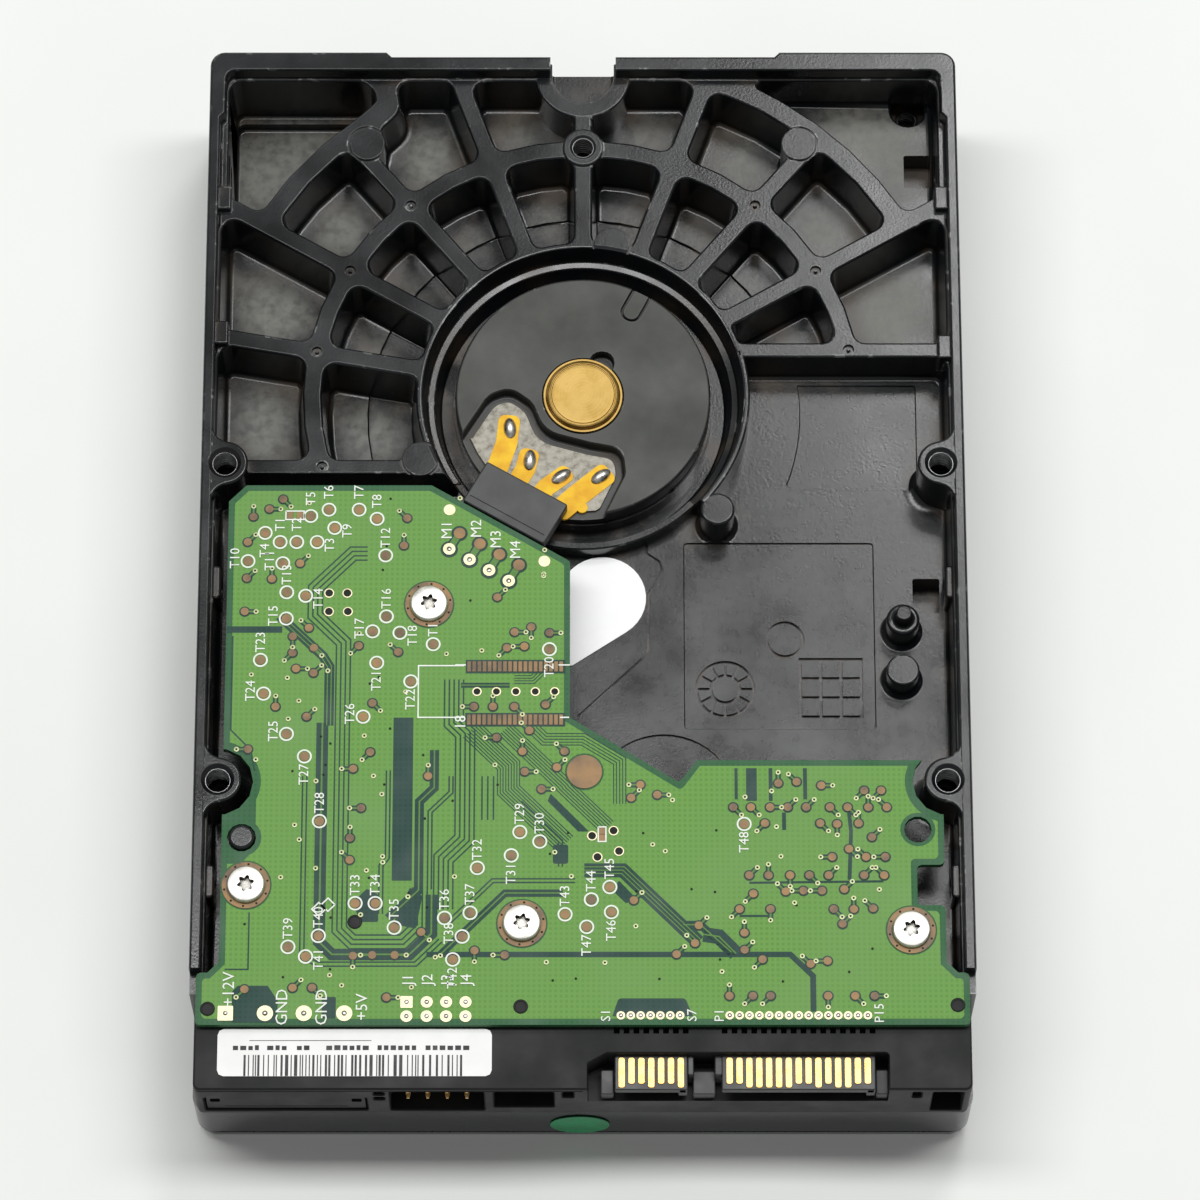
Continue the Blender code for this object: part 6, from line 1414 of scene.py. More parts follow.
@dataclass
class Board:
    """Printed circuit board: mask, copper, tracks, holes, test points and printed marks."""

    top: float = 25.0
    pour: float = 0.03
    bed: float = 0.045
    run: float = 0.055
    land: float = 0.13
    mark: float = 0.15
    border: float = 0.8
    seed: int = 11
    screws: tuple[Place, ...] = Casting.board_posts
    outline: tuple[Corner, ...] = (
        (-49.9, -64.725, 0.6), (49.9, -64.725, 0.6), (49.9, -57.725, 0.6), (48.45, -57.725, 0.0),
        (47.0, -56.275, 0.0), (47.0, -48.625, 0.6), (43.4, -48.625, 0.6), (43.4, -43.125, 0.6),
        (47.0, -43.125, 0.6), (47.0, -28.775, 0.6), (14.9, -28.775, 0.0), (12.6, -31.875, 0.6),
        (-1.7, -22.875, 0.0), (-1.7, -0.97, 0.6), (-20.1, 9.825, 0.0), (-44.7, 9.825, 0.0),
        (-47.0, 7.525, 0.0), (-47.0, -56.275, 0.0), (-48.45, -57.725, 0.0), (-49.9, -57.725, 0.6),
    )
    bundles: tuple[Bundle, ...] = (
        Bundle(
            ((-28.5, 0.1), (-30.4, 0.1), (-35.3, -4.8), (-35.3, -8.6), (-31.5, -12.4), (-31.5, -51.9),
            (-29.8, -53.6), (-23.3, -53.6), (-21.1, -51.4), (-21.1, -46.2)),
            4, 0.62,
        ),
        Bundle(((-46.9, -10.6), (-39.6, -10.6)), 0, bed=0.9),
        Bundle(((-40.0, -8.7), (-34.2, -14.3), (-33.3, -15.8), (-33.3, -24.0)), 2, 0.5, 0.16, bed=1.3),
        Bundle(
            ((-34.1, -23.6), (-34.1, -53.6), (-32.4, -55.3), (-22.4, -55.3), (-19.6, -52.5), (-19.6, -47.2)),
            1, 0.5, 0.24, bed=1.55,
        ),
        Bundle(((-36.3, -31.0), (-36.3, -55.6), (-34.2, -56.6), (-21.6, -56.6), (-18.4, -53.4)), 2, 0.55),
        Bundle(((-46.1, -11.5), (-46.1, -24.6), (-43.4, -27.4), (-42.9, -30.2)), 1),
        Bundle(((-43.2, -49.6), (-43.2, -57.3), (-46.2, -57.3)), 1),
        Bundle(((-25.4, -30.2), (-25.4, -42.2), (-26.2, -43.2), (-26.2, -49.8)), 2, 0.5),
        Bundle(
            ((-19.4, -27.4), (-19.4, -32.6), (-21.3, -34.5), (-21.3, -46.6), (-25.2, -50.4)),
            1, 0.5, 0.2, bed=1.2,
        ),
        Bundle(((-17.2, -31.0), (-17.2, -33.2), (-19.9, -35.9), (-19.9, -46.5)), 2, 0.5),
        Bundle(
            ((-16.9, -17.6), (-16.9, -23.6), (-15.4, -25.1), (-15.4, -39.6), (-18.1, -42.3), (-18.1, -49.2)),
            5, 0.62,
        ),
        Bundle(((-14.6, -24.6), (-9.7, -29.5), (-9.7, -32.9), (-2.3, -40.3)), 9, 0.36, 0.13),
        Bundle(((-10.2, -24.5), (-2.3, -32.4), (-2.3, -32.5), (3.2, -38.0)), 7, 0.36, 0.13),
        Bundle(((-6.4, -24.5), (-5.0, -25.9), (0.0, -25.9), (4.8, -28.9), (4.8, -34.8)), 5, 0.4, 0.13),
        Bundle(((-12.4, -31.0), (-12.4, -37.0)), 3, 0.75),
        Bundle(((-8.2, -34.6), (-2.9, -39.9), (-2.9, -43.4)), 2, 0.5),
        Bundle(((-9.0, -17.6), (-6.6, -17.6), (-5.2, -16.2)), 4, 0.36, 0.13),
        Bundle(((-16.0, -18.4), (-9.6, -18.4)), 1, 0.5, 0.16, bed=0.7),
        Bundle(((0.2, -43.9), (5.2, -43.9), (14.9, -53.6)), 3, 0.45, 0.15, bed=1.9),
        Bundle(((-1.0, -45.3), (-11.7, -45.3), (-17.4, -51.0)), 2, 0.5),
        Bundle(((-2.6, -47.0), (-10.1, -47.0), (-18.4, -55.3)), 1, 0.5, 0.2, bed=1.0),
        Bundle(((-20.2, -55.3), (26.8, -55.3), (29.7, -58.2), (29.7, -63.0)), 0, bed=0.75),
        Bundle(((13.0, -51.3), (15.2, -51.3), (19.2, -55.0)), 1, 0.5, 0.18, bed=1.1),
        Bundle(((15.6, -52.6), (17.6, -52.9), (19.8, -55.2)), 1, 0.5, 0.2, bed=2.0),
        Bundle(((22.0, -29.9), (22.0, -34.4)), 0, bed=1.4),
        Bundle(((24.5, -29.9), (24.5, -34.4)), 0, bed=0.5),
        Bundle(((29.0, -29.9), (29.0, -34.2)), 0, bed=0.5),
        Bundle(((20.0, -29.9), (20.0, -34.2)), 0, bed=0.4),
        Bundle(((34.6, -35.2), (34.9, -38.6), (34.6, -45.2)), 0, bed=0.5),
        Bundle(((26.2, -36.0), (26.2, -38.4)), 0, bed=0.5),
        Bundle(((21.6, -45.6), (39.0, -45.4)), 0, bed=0.3),
        Bundle(((20.3, -50.1), (24.4, -50.1)), 0, bed=0.3),
    )
    fills: tuple[tuple[Corner, ...], ...] = (
        ((-45.2, -64.4, 0.0), (-39.3, -64.4, 0.0), (-39.3, -61.5, 0.3), (-40.6, -59.5, 0.3),
         (-44.5, -59.5, 0.3), (-45.2, -60.3, 0.3)),
        ((-33.6, -63.9, 0.0), (-31.8, -63.9, 0.0), (-31.8, -61.0, 0.2), (-33.6, -61.0, 0.2)),
        ((3.8, -63.6, 0.0), (14.2, -63.6, 0.0), (13.2, -61.2, 0.5), (4.6, -61.2, 0.5)),
        ((-24.8, -45.3, 0.1), (-22.2, -45.3, 0.1), (-22.2, -22.9, 0.1), (-24.8, -22.9, 0.1)),
        ((-28.8, -50.9, 0.2), (-26.5, -50.9, 0.2), (-26.5, -47.2, 0.2), (-28.0, -46.4, 0.2),
         (-29.8, -48.2, 0.2)),
        ((-24.6, -51.2, 0.2), (-21.6, -51.8, 0.2), (-20.8, -47.4, 0.2), (-22.4, -46.2, 0.2)),
        ((-15.4, -16.75, 0.1), (-2.3, -16.75, 0.1), (-2.3, -14.85, 0.1), (-15.4, -14.85, 0.1)),
        ((-15.4, -24.15, 0.1), (-2.3, -24.15, 0.1), (-2.3, -22.25, 0.1), (-15.4, -22.25, 0.1)),
        ((4.6, -45.2, 0.2), (6.9, -47.7, 0.2), (5.6, -48.4, 0.3), (4.1, -46.9, 0.2)),
        ((-3.9, -43.0, 0.3), (-1.9, -43.0, 0.3), (-1.9, -40.4, 0.3), (-3.9, -40.4, 0.3)),
        ((-4.2, -33.4, 0.1), (0.8, -38.6, 0.1), (-0.6, -38.6, 0.1), (-4.6, -34.4, 0.1)),
    )
    test_points: tuple[Place, ...] = (
        (-40.1, 1.7), (-37.9, 1.7), (-35.2, 1.7), (-42.1, 3.0), (-36.1, 5.4), (-33.7, 6.3), (-29.7, 6.3),
        (-27.3, 5.0), (-32.9, 3.7), (-44.3, -1.0), (-39.7, -1.3), (-26.1, -0.2), (-39.1, -5.4),
        (-36.6, -5.9), (-39.1, -9.1), (-25.9, -8.8), (-27.7, -10.9), (-24.1, -11.1), (-19.7, -12.7),
        (-4.4, -13.4), (-27.1, -15.3), (-22.6, -17.9), (-42.4, -14.9), (-41.9, -19.6), (-38.8, -25.2),
        (-28.8, -22.8), (-36.4, -28.3), (-34.3, -37.2), (-8.2, -38.7), (-5.6, -40.0), (-9.3, -41.9),
        (-13.7, -43.6), (-29.5, -48.4), (-26.9, -48.4), (-24.4, -51.7), (-17.9, -50.4), (-14.6, -49.7),
        (-15.6, -52.9), (-38.1, -54.3), (-34.2, -52.8), (-35.8, -55.6), (-16.8, -56.0), (-2.3, -49.9),
        (1.1, -47.9), (3.5, -46.2), (3.7, -49.6), (0.5, -51.6), (21.0, -37.6),
    )
    lands: tuple[Place, ...] = (
        (-39.8, 7.8), (-41.6, 6.4), (-43.7, 5.3), (-44.4, 1.7), (-44.4, -3.4), (-41.1, -3.5),
        (-37.4, -1.3), (-44.6, -8.1), (-38.2, -11.6), (-36.1, -10.4), (-38.2, -13.9), (-35.4, -13.2),
        (-37.7, -16.1), (-35.4, -16.7), (-40.3, -21.4), (-36.2, -22.8), (-43.8, -27.3), (-29.5, -12.9),
        (-24.3, -13.8), (-27.6, -20.9), (-27.8, -27.7), (-30.0, -30.0), (-23.3, 5.1), (-23.7, 1.2),
        (-11.3, -6.1), (-9.0, -11.0), (-6.8, -10.3), (-4.4, -11.1), (-10.0, -13.2), (-7.7, -13.0),
        (-14.3, -21.4), (-11.8, -21.4), (-9.0, -21.4), (-4.9, -21.1), (-7.0, -24.7), (-11.3, -25.7),
        (-7.9, -27.6), (-2.4, -27.6), (-3.4, -29.8), (-7.6, -30.4), (-5.4, -32.8), (-20.2, -31.0),
        (-28.9, -35.4), (-30.3, -39.5), (-30.3, -42.5), (-20.9, -52.3), (-24.3, -55.4), (-27.2, -55.4),
        (-29.7, -55.5), (-14.0, -54.8), (-10.1, -55.4), (-37.4, -59.8), (-34.9, -59.8), (-43.6, -60.0),
        (-25.3, -61.1), (6.3, -34.0), (7.5, -32.2), (9.7, -33.6), (36.7, -33.0), (38.9, -33.0),
        (25.5, -32.0), (31.1, -32.3), (27.9, -31.8), (23.7, -37.5), (30.9, -37.5), (33.1, -37.6),
        (35.9, -37.5), (37.6, -39.4), (34.6, -41.0), (32.4, -42.1), (36.8, -42.1), (39.3, -42.1),
        (22.1, -47.1), (26.3, -46.8), (28.6, -46.7), (31.0, -46.7), (33.9, -46.5), (20.3, -49.2),
        (24.3, -49.2), (32.5, -49.2), (35.1, -49.2), (37.6, -49.1), (33.6, -51.2), (20.9, -52.4),
        (20.9, -54.7), (23.2, -56.0), (29.4, -56.6), (31.6, -56.2), (12.1, -55.3), (14.5, -53.8),
        (15.0, -51.4), (6.6, -48.0),
    )
    land_rows: tuple[tuple[float, tuple[float, ...]], ...] = (
        (-35.3, (19.6, 21.9, 24.4, 26.7, 29.1, 32.2, 34.5, 37.2, 39.6)),
        (-44.6, (21.6, 24.1, 26.9, 29.4, 31.9, 36.5, 39.1)),
        (-60.9, (18.9, 21.9, 24.2, 31.6, 35.1, 37.6)),
    )
    motor_pads: tuple[Place, ...] = ((-17.7, 0.7), (-15.0, -0.8), (-12.4, -2.3), (-9.8, -3.8))
    pegs: tuple[Place, ...] = ((-48.3, -62.6), (-29.5, -50.9), (-8.0, -62.3), (48.3, -62.1))
    round_land: Place = (0.2, -30.4)
    clearances: tuple[Corner, ...] = ((-44.4, -39.425, 2.6), (43.6, -38.325, 2.3), (0.2, -30.4, 2.55))
    edge_bay: tuple[Corner, ...] = (
        (-48.0, -43.0, 0.0), (-44.4, -43.0, 0.5), (-42.6, -40.9, 0.5), (-42.6, -34.0, 0.5),
        (-48.0, -34.0, 0.0),
    )
    power_pins: tuple[Place, ...] = ((-46.0, -63.2), (-40.9, -63.2), (-35.9, -63.2), (-30.7, -63.2))
    jumper_xs: tuple[float, ...] = (-22.7, -20.1, -17.6, -15.1)
    jumper_ys: Place = (-61.7, -63.6)
    contact_y: float = -63.5
    quads: tuple[Place, ...] = (
        (-33.5, -5.5), (-31.1, -5.5), (-33.5, -8.1), (-31.0, -8.1),
        (1.2, -39.2), (4.0, -38.5), (1.9, -42.1), (4.7, -41.3),
    )
    loose_vias: int = 90
    open_vias: int = 40
    via_field: tuple[Place, Place] = ((-45.5, 46.0), (-60.5, 8.0))

    def __post_init__(self) -> None:
        """Start the draws and list every land."""
        self.draws = random.Random(self.seed)
        self.all_lands = list(self.lands) + [(x, y) for y, xs in self.land_rows for x in xs]

    def sheet(self, outlines: Iterable[Sequence[Corner]], rise: float) -> list[Shape]:
        """Thin flat areas, each a hair above the one before so that none lie level where they cross."""
        return [prism(c, self.top, self.top + rise + 0.00008 * i) for i, c in enumerate(outlines)]

    def disc(self, place: Place, outer: float, rise: float, inner: float = 0.0, steps: int = 20) -> Shape:
        """Flat ring or disc with a softly rounded rim."""
        low, high = self.top, self.top + rise
        profile = [(inner, low), (outer, low), (outer, high - 0.01), (outer - 0.04, high), (inner, high)]
        return lathe(profile, place, steps)

    def copper(self) -> None:
        """Mask over the copper ground, open round the screws, pins and holes."""
        ground = prism(inset_corners(self.outline, self.border), self.top, self.top + self.pour)
        pour = formed("masked_copper_ground", [ground])
        cuts = [self.disc(p, 3.35, 1.0, steps=40) for p in self.screws]
        cuts += [self.disc((x, y), radius, 1.0) for x, y, radius in self.clearances]
        x, y = Casting.mount_x, Casting.mount_ys[0]
        cuts += [self.disc(p, 5.6, 1.0, steps=48) for p in ((-x, y), (x, y))]
        cuts.append(prism(self.edge_bay, self.top, self.top + 1.0))
        for cut in cuts:
            cut.transform(Matrix.Translation((0, 0, -0.2)))
        combined(pour, Join.CUT, cuts)
        published(pour, Finishes.mask)

    def tracks(self) -> None:
        """Dark beds and gaps, and the bright tracks that lie on the beds."""
        dark = [ribbon(b.path, b.bed) for b in self.bundles if b.bed]
        dark += list(self.fills)
        bright = []
        for bundle in self.bundles:
            strips = [ribbon(path, bundle.width) for path in bundle.paths()]
            (bright if bundle.bed else dark).extend(strips)
        for place in self.all_lands:
            dark.append(ribbon([place, self.tail(place)], 0.72))
            dark.append(arc(0.74, 0, 336, 14, place))
            bright.append(ribbon([place, self.tail(place)], 0.24))
        for place in self.motor_pads:
            dark.append(ribbon([place, self.motor_tail(place)], 1.3))
            dark += [arc(r, 0, 345, 23, p) for p, r in ((place, 1.15), (self.motor_tail(place), 1.08))]
            bright.append(ribbon([place, self.motor_tail(place)], 0.85))
        made("open_copper_gaps", self.sheet(dark, self.bed), Finishes.bare, "board_laminate")
        made("masked_tracks", self.sheet(bright, self.run + 0.04), Finishes.run, "board_laminate")

    def tail(self, place: Place) -> Place:
        """Where the short track of a land ends in a via."""
        turn = 45 * (int(abs(7 * place[0] + 3 * place[1])) % 8)
        return polar(1.5, turn, place)

    def motor_tail(self, place: Place) -> Place:
        """Where the land beyond a motor pad lies."""
        return place[0] + 1.35, place[1] + 2.25

    def metal(self) -> None:
        """Browned lands, tinned pads, screw lands and vias."""
        brown = [self.disc(p, 0.62, self.land) for p in self.test_points]
        brown += [self.disc(p, 0.54, self.land + 0.05) for p in self.all_lands]
        brown += [self.disc(p, 3.15, self.land, 1.5, 48) for p in self.screws]
        brown += [self.disc(self.round_land, 2.3, self.land, steps=40)]
        brown += [self.disc(self.motor_tail(p), 0.78, self.land + 0.05) for p in self.motor_pads]
        pads = [(-14.95 + 0.672 * i, y, 0.25, 0.72) for y in (-15.8, -23.2) for i in range(19)]
        pads += [(x, y, 0.42, 0.48) for x, y in ((-38.85, 5.5), (-37.55, 5.5), (2.5, -38.5), (2.5, -39.5))]
        for x, y, across, up in pads:
            outline = rectangle(x - across, y - up, x + across, y + up, 0.08)
            brown.append(prism(outline, self.top, self.top + self.land, 0.02))
        made("browned_copper_lands", brown, Finishes.land, "board_laminate")
        tin = [self.disc(p, 0.82, self.land + 0.12, 0.34, 28) for p in self.motor_pads]
        tin += [self.disc(p, 1.05, self.land, 0.36, 28) for p in self.power_pins[1:]]
        jumpers = [(x, y) for x in self.jumper_xs for y in self.jumper_ys]
        for place, side in ((self.power_pins[0], 2.0), (jumpers[0], 1.6)):
            # The first pin of a row has a square land
            tin.append(prism(turned(place, (side, side), 0, 0.12), self.top, self.top + self.land, 0.02))
        tin += [self.disc(p, 0.78, self.land, 0.3) for p in jumpers[1:]]
        tin += [self.disc(p, 0.56, self.land, 0.22, 18) for p in self.contacts()]
        tin += [self.disc(p, 0.66, self.land, 0.52) for p in self.quads]
        tin += [self.disc(p, 0.62, self.land, 0.46) for p in self.head_holes()]
        tin += [self.disc(p, 0.78, self.land) for p in ((-17.7, 6.3), (-5.1, -1.0))]
        made("tinned_lands", tin, Finishes.tin, "board_laminate")
        pins = [*self.power_pins, *jumpers, *self.contacts(), *self.motor_pads]
        dome = [(0.3, 0.05), (0.3, 0.15), (0.2, 0.22), (0.0, 0.25)]
        profile = [(0.0, self.top)] + [(radius, self.top + rise) for radius, rise in dome]
        made("soldered_pin_ends", [lathe(profile, p, 14) for p in pins], Finishes.solder, "board_laminate")

    def contacts(self) -> list[Place]:
        """Places of the serial connector's pins, in its two rows."""
        pitch, rows = 1.27, ((4.9, 7), (18.9, 15))
        return [(start + pitch * i, self.contact_y) for start, count in rows for i in range(count)]

    def head_holes(self) -> list[Place]:
        """Places of the large holes between the head connector's pads."""
        return [(-13.9 + 2.55 * i, -19.3) for i in range(5)]

    def free(self, place: Place) -> bool:
        """Whether a place is clear of pads, points and screws, and well inside the board."""
        x, y = place
        near = [*self.test_points, *self.all_lands, *self.quads]
        wide = [*self.screws, *self.motor_pads, self.round_land]
        wide += [(-44.4, -39.4), (43.6, -38.3), (-47.6, -31.7), (47.6, -31.7)]
        clear = all(math.dist(place, p) > 1.3 for p in near) and all(math.dist(place, p) > 4.4 for p in wide)
        on_board = (x < -3.0 or y < -31.5) and y + 0.6 * x < 0.0
        in_head_connector = -16 < x < -2 and -25 < y < -14
        return clear and on_board and not in_head_connector

    def vias(self) -> None:
        """Small plated holes: one at each land's tail and others strewn between the pads."""
        places = [self.tail(p) for p in self.all_lands]
        wanted = len(places) + self.loose_vias
        across, up = self.via_field
        while len(places) < wanted:
            place = self.draws.uniform(*across), self.draws.uniform(*up)
            if self.free(place):
                places.append(place)
        rims = [self.disc(p, 0.34, self.land + 0.02, 0.15, 14) for p in places[: -self.open_vias]]
        made("plated_vias", rims, Finishes.via, "board_laminate")
        # Each hole's opening is a flat black disc that paints the shade down the hole
        holes = [self.disc(p, 0.16, self.land + 0.01, steps=12) for p in places]
        holes += [self.disc(p, 0.52, self.land - 0.01) for p in self.quads]
        holes += [self.disc(p, 0.48, self.land - 0.01) for p in self.head_holes()]
        for place in self.screws:
            ring = [polar(2.85, 36 * i + 12, place) for i in range(10)]
            holes += [self.disc(p, 0.16, self.land + 0.01, steps=10) for p in ring]
        made("painted_shade_in_holes", holes, Finishes.hole, "board_laminate")

    def lettering(self) -> list[tuple[str, Place, float]]:
        """Every printed word with its middle and the height of its capitals."""
        words = []
        taken = [*self.test_points, *self.all_lands, *self.screws]
        for number, (x, y) in enumerate(self.test_points, 1):
            choices = [(x + dx, y + dy) for dx, dy in ((0.0, 2.5), (0.0, -2.5), (-1.7, 0.4), (1.7, -0.4))]
            others = [p for p in taken if p != (x, y)]
            best = max(choices, key=lambda c: min(min(math.dist(c, p) for p in others), 2.6))
            words.append((f"T{number}", best, 1.35))
            taken.append(best)
        marks = [("+12V", -45.6, -60.0, 1.6), ("GND", -38.7, -62.4, 1.6), ("GND", -33.6, -62.4, 1.6)]
        marks.append(("+5V", -28.4, -62.4, 1.6))
        marks += [(f"J{i + 1}", -22.5 + 2.5 * i, -58.7, 1.5) for i in range(4)]
        marks += [("S1", 3.0, -63.5, 1.3), ("S7", 14.1, -63.5, 1.3), ("P1", 17.6, -63.5, 1.3)]
        marks.append(("P15", 38.2, -63.2, 1.3))
        marks += [("1", -16.0, -15.6, 1.5), ("18", -16.0, -23.6, 1.5)]
        shifts = [(-0.3, 2.7)] + [(0.9, 4.4)] * 3
        for number, ((x, y), (dx, dy)) in enumerate(zip(self.motor_pads, shifts), 1):
            marks.append((f"M{number}", x + dx, y + dy, 1.5))
        return words + [(word, (x, y), size) for word, x, y, size in marks]

    def print_marks(self) -> None:
        """White printed rings, brackets and letters."""
        ink = [self.disc(p, 0.98, self.mark, 0.76, 24) for p in self.test_points]
        bracket = [(-15.6, -15.7), (-21.6, -15.7), (-21.6, -22.9), (-15.6, -22.9)]
        chip = [(2.0, -38.0), (3.0, -38.0), (3.0, -40.0), (2.0, -40.0), (2.0, -38.0)]
        jumper = [(-39.4, 6.1), (-37.0, 6.1), (-37.0, 4.9), (-39.4, 4.9), (-39.4, 6.1)]
        diamonds = [[polar(0.9, 90 * i, c) for i in range(5)] for c in ((-34.2, -49.2), (-33.0, -48.6))]
        ticks = [[(-3.2, -15.6), (-1.7, -15.6)], [(-3.0, -22.9), (-1.8, -22.9)]]
        for path in (bracket, chip, jumper, *ticks, *diamonds):
            ink.append(prism(ribbon(path, 0.18), self.top, self.top + self.mark))
        for word, place, size in self.lettering():
            ink.append(printed(word, (*place, self.top + self.mark), 90.0, size))
        made("screen_printed_marks", ink, Finishes.ink, "board_laminate")

    def peg_ends(self) -> None:
        """Rounded ends of the connector's locating pegs."""
        profile = [(0.0, 24.2), (0.95, 24.2), (0.95, 25.12), (0.85, 25.2), (0.7, 25.2), (0.66, 25.08)]
        profile.append((0.0, 25.06))
        ends = [lathe(profile, p, 24) for p in self.pegs]
        made("locating_pegs", ends, Finishes.plastic, "moulded_plastic")

    def build(self) -> None:
        """Lay the copper, the tracks, the metal and the print on the board."""
        dress_nodes(["circuit_board"], Finishes.edge)
        self.copper()
        self.tracks()
        self.metal()
        self.vias()
        self.print_marks()
        self.peg_ends()


@dataclass
class Connector:
    """Moulded interface connector with its sockets, contact tongues and pins."""

    half: float = 50.1
    front: float = -73.025
    back: float = -60.525
    low: float = 12.8
    top: float = 23.6
    wall: float = 1.1
    socket_depth: float = 9.0
    recess_back: float = -68.025
    tongue: float = 22.2
    tongue_thickness: float = 1.2
    pitch: float = 1.27
    contact: float = 0.92
    fillet: float = 0.2
    power_mouth: Place = (-48.9, -27.9)
    power_bevel: float = 2.8
    rows: tuple[tuple[float, int, tuple[int, ...]], ...] = (
        (5.0, 7, (0, 3, 6)),
        (18.9, 15, (2, 3, 4, 5, 6, 9, 11, 12)),
    )
    power_pins: tuple[float, ...] = (-46.02, -40.94, -35.86, -30.78)
    jumper_pins: tuple[float, ...] = (-22.61, -20.07, -17.53, -14.99)

    def mouth(self, corners: Sequence[Corner], depth: float) -> Shape:
        """Cutter of an opening of a depth in the front, with a flared edge."""
        front, flare = self.front, -self.fillet
        rings = ((0.0, front + depth), (0.0, front + 0.25), (flare, front), (flare, front - REACH))
        return along(loft([(rounded(corners, inset, 2), y) for inset, y in rings]), "Y")

    def slot(self, left: float, right: float, low: float, high: float, depth: float) -> Shape:
        """Cutter of a rectangular opening in the front."""
        return self.mouth(rectangle(left, low, right, high, self.fillet), depth)

    def power_outline(self, gap: float, foot: float) -> list[Corner]:
        """Outline of the power socket, bevelled above, with a gap all round and a fillet at its foot."""
        left, right, bevel = self.power_mouth[0] + gap, self.power_mouth[1] - gap, self.power_bevel
        low, high = self.low + self.wall + gap, self.top - self.wall - gap
        upper = ((right, high - bevel), (right - bevel, high), (left + bevel, high), (left, high - bevel))
        return [(left, low, foot), (right, low, foot)] + [(*point, self.fillet) for point in upper]

    def cuts(self) -> list[Shape]:
        """Cutters of every opening."""
        low, high, deep = self.low + self.wall, self.top - self.wall, self.socket_depth
        shapes = [
            self.mouth(self.power_outline(0.0, self.fillet), deep),
            self.slot(-24.85, -12.75, low, high, deep),
            self.slot(-11.45, -3.75, low + 1.5, high, deep),
            self.slot(-2.6, -1.2, high - 2.6, high, 4.0),
            self.slot(42.5, 43.6, high - 2.6, high, 4.0),
            self.slot(45.1, 49.0, low, high, deep),
        ]
        shapes += [self.slot(-26.9, -25.6, level, level + 1.5, 4.0) for level in (high - 1.5, high - 3.7)]
        recess = [
            (39.4, self.recess_back, 0.5),
            (3.1, self.recess_back, 0.3),
            (0.6, self.recess_back - 1.4, 0.3),
            (0.6, self.front - REACH, 0.0),
            (39.4, self.front - REACH, 0.0),
        ]
        shapes.append(pocket(recess, self.tongue - 3.8, self.top, 0.2, 0.2, 0.0))
        for start, count, _ in self.rows:
            for i in range(count + 1):
                x = start + self.pitch * (i - 0.5)
                slit = rectangle(x - 0.38, -65.5, x + 0.38, -63.6, 0.08)
                shapes.append(prism(slit, self.top - 1.2, self.top + REACH))
        # A step along the foot and a groove below the label run across the front
        lines = ((-49.2, 12.0, 49.2, 12.95, 0.35), (-51.0, 22.75, 0.0, 23.05, 0.3))
        for *sides, depth in lines:
            shapes.append(along(prism(rectangle(*sides), self.front - REACH, self.front + depth), "Y"))
        return shapes

    def tongues(self) -> list[Shape]:
        """Tongues, their key ends and the blocks beside them."""
        root, tip, face = self.recess_back + 0.5, self.recess_back - 4.6, self.tongue
        shapes = []
        for left, right in ((4.1, 13.5), (17.9, 37.7)):
            blade = rectangle(left, tip, right, root, 0.25)
            key = rectangle(right - 1.2, tip, right, root, 0.2)
            shapes.append(prism(blade, face - self.tongue_thickness, face, 0.2))
            shapes.append(prism(key, face - 2.6, face - 0.1, 0.1))
        low, high, front = face - 1.8, face - 0.15, -72.7
        blocks = (
            (2.3, 4.0, front, -69.4, low),
            (14.2, 17.1, front, -69.6, low),
            (37.8, 39.4, front, -69.4, low),
            (13.5, 14.3, -70.6, -67.8, high),
            (17.0, 18.0, -70.6, -67.8, high),
        )
        for left, right, near, far, top in blocks:
            shapes.append(prism(rectangle(left, near, right, far, 0.25), face - 4.0, top, 0.2))
        return shapes

    def strips(self) -> list[Shape]:
        """Gold contacts, the first mating ones longer than the rest."""
        shapes = []
        for start, count, early in self.rows:
            for i in range(count):
                x, half, back = start + self.pitch * i, self.contact / 2, self.recess_back
                tip = back - (4.35 if i in early else 3.85)
                strip = rectangle(x - half, tip, x + half, back - 0.25, 0.34)
                shapes.append(prism(strip, self.tongue - 0.3, self.tongue + 0.14, 0.1))
        return shapes

    def pins(self) -> list[Shape]:
        """Pins of the power and jumper sockets, bullet-nosed."""
        middle, back = (self.low + self.top) / 2, self.front + self.socket_depth + 0.6
        shapes = []
        for x in self.power_pins:
            nose = [(1.05, back), (1.05, back - 5.4), (0.8, back - 6.1), (0.4, back - 6.4)]
            shapes.append(along(bore(nose, (x, middle)), "Y"))
        for x in self.jumper_pins:
            for level in (middle - 1.27, middle + 1.27):
                square = rectangle(x - 0.32, level - 0.32, x + 0.32, level + 0.32, 0.06)
                rings = ((0.0, back), (0.0, back - 8.2), (0.14, back - 8.8))
                shapes.append(along(loft([(rounded(square, inset, 2), y) for inset, y in rings]), "Y"))
        return shapes

    def socket_shade_panel(self) -> None:
        """Dark panel in the power socket's mouth that paints the shade inside the socket, with a square
        window at each end.
        """
        gap, front = 0.1, self.front
        low, high = self.low + self.wall + gap, self.top - self.wall - gap
        corners = self.power_outline(gap, 0.3)
        rings = ((0.0, front + 1.2), (0.0, front + 0.5), (0.15, front + 0.3))
        sheet = along(loft([(rounded(corners, inset, 2), y) for inset, y in rings]), "Y")
        # This dark sheet stands in for the shade inside the open socket
        panel = formed("painted_socket_shade", [sheet])
        windows = [self.slot(x, x + 1.3, high - 5.4, high - 3.9, 2.0) for x in (-48.2, -29.9)]
        windows.append(self.slot(-46.4, -30.4, low + 0.9, low + 1.1, 0.45))
        combined(panel, Join.CUT, windows)
        published(panel, Finishes.plastic)

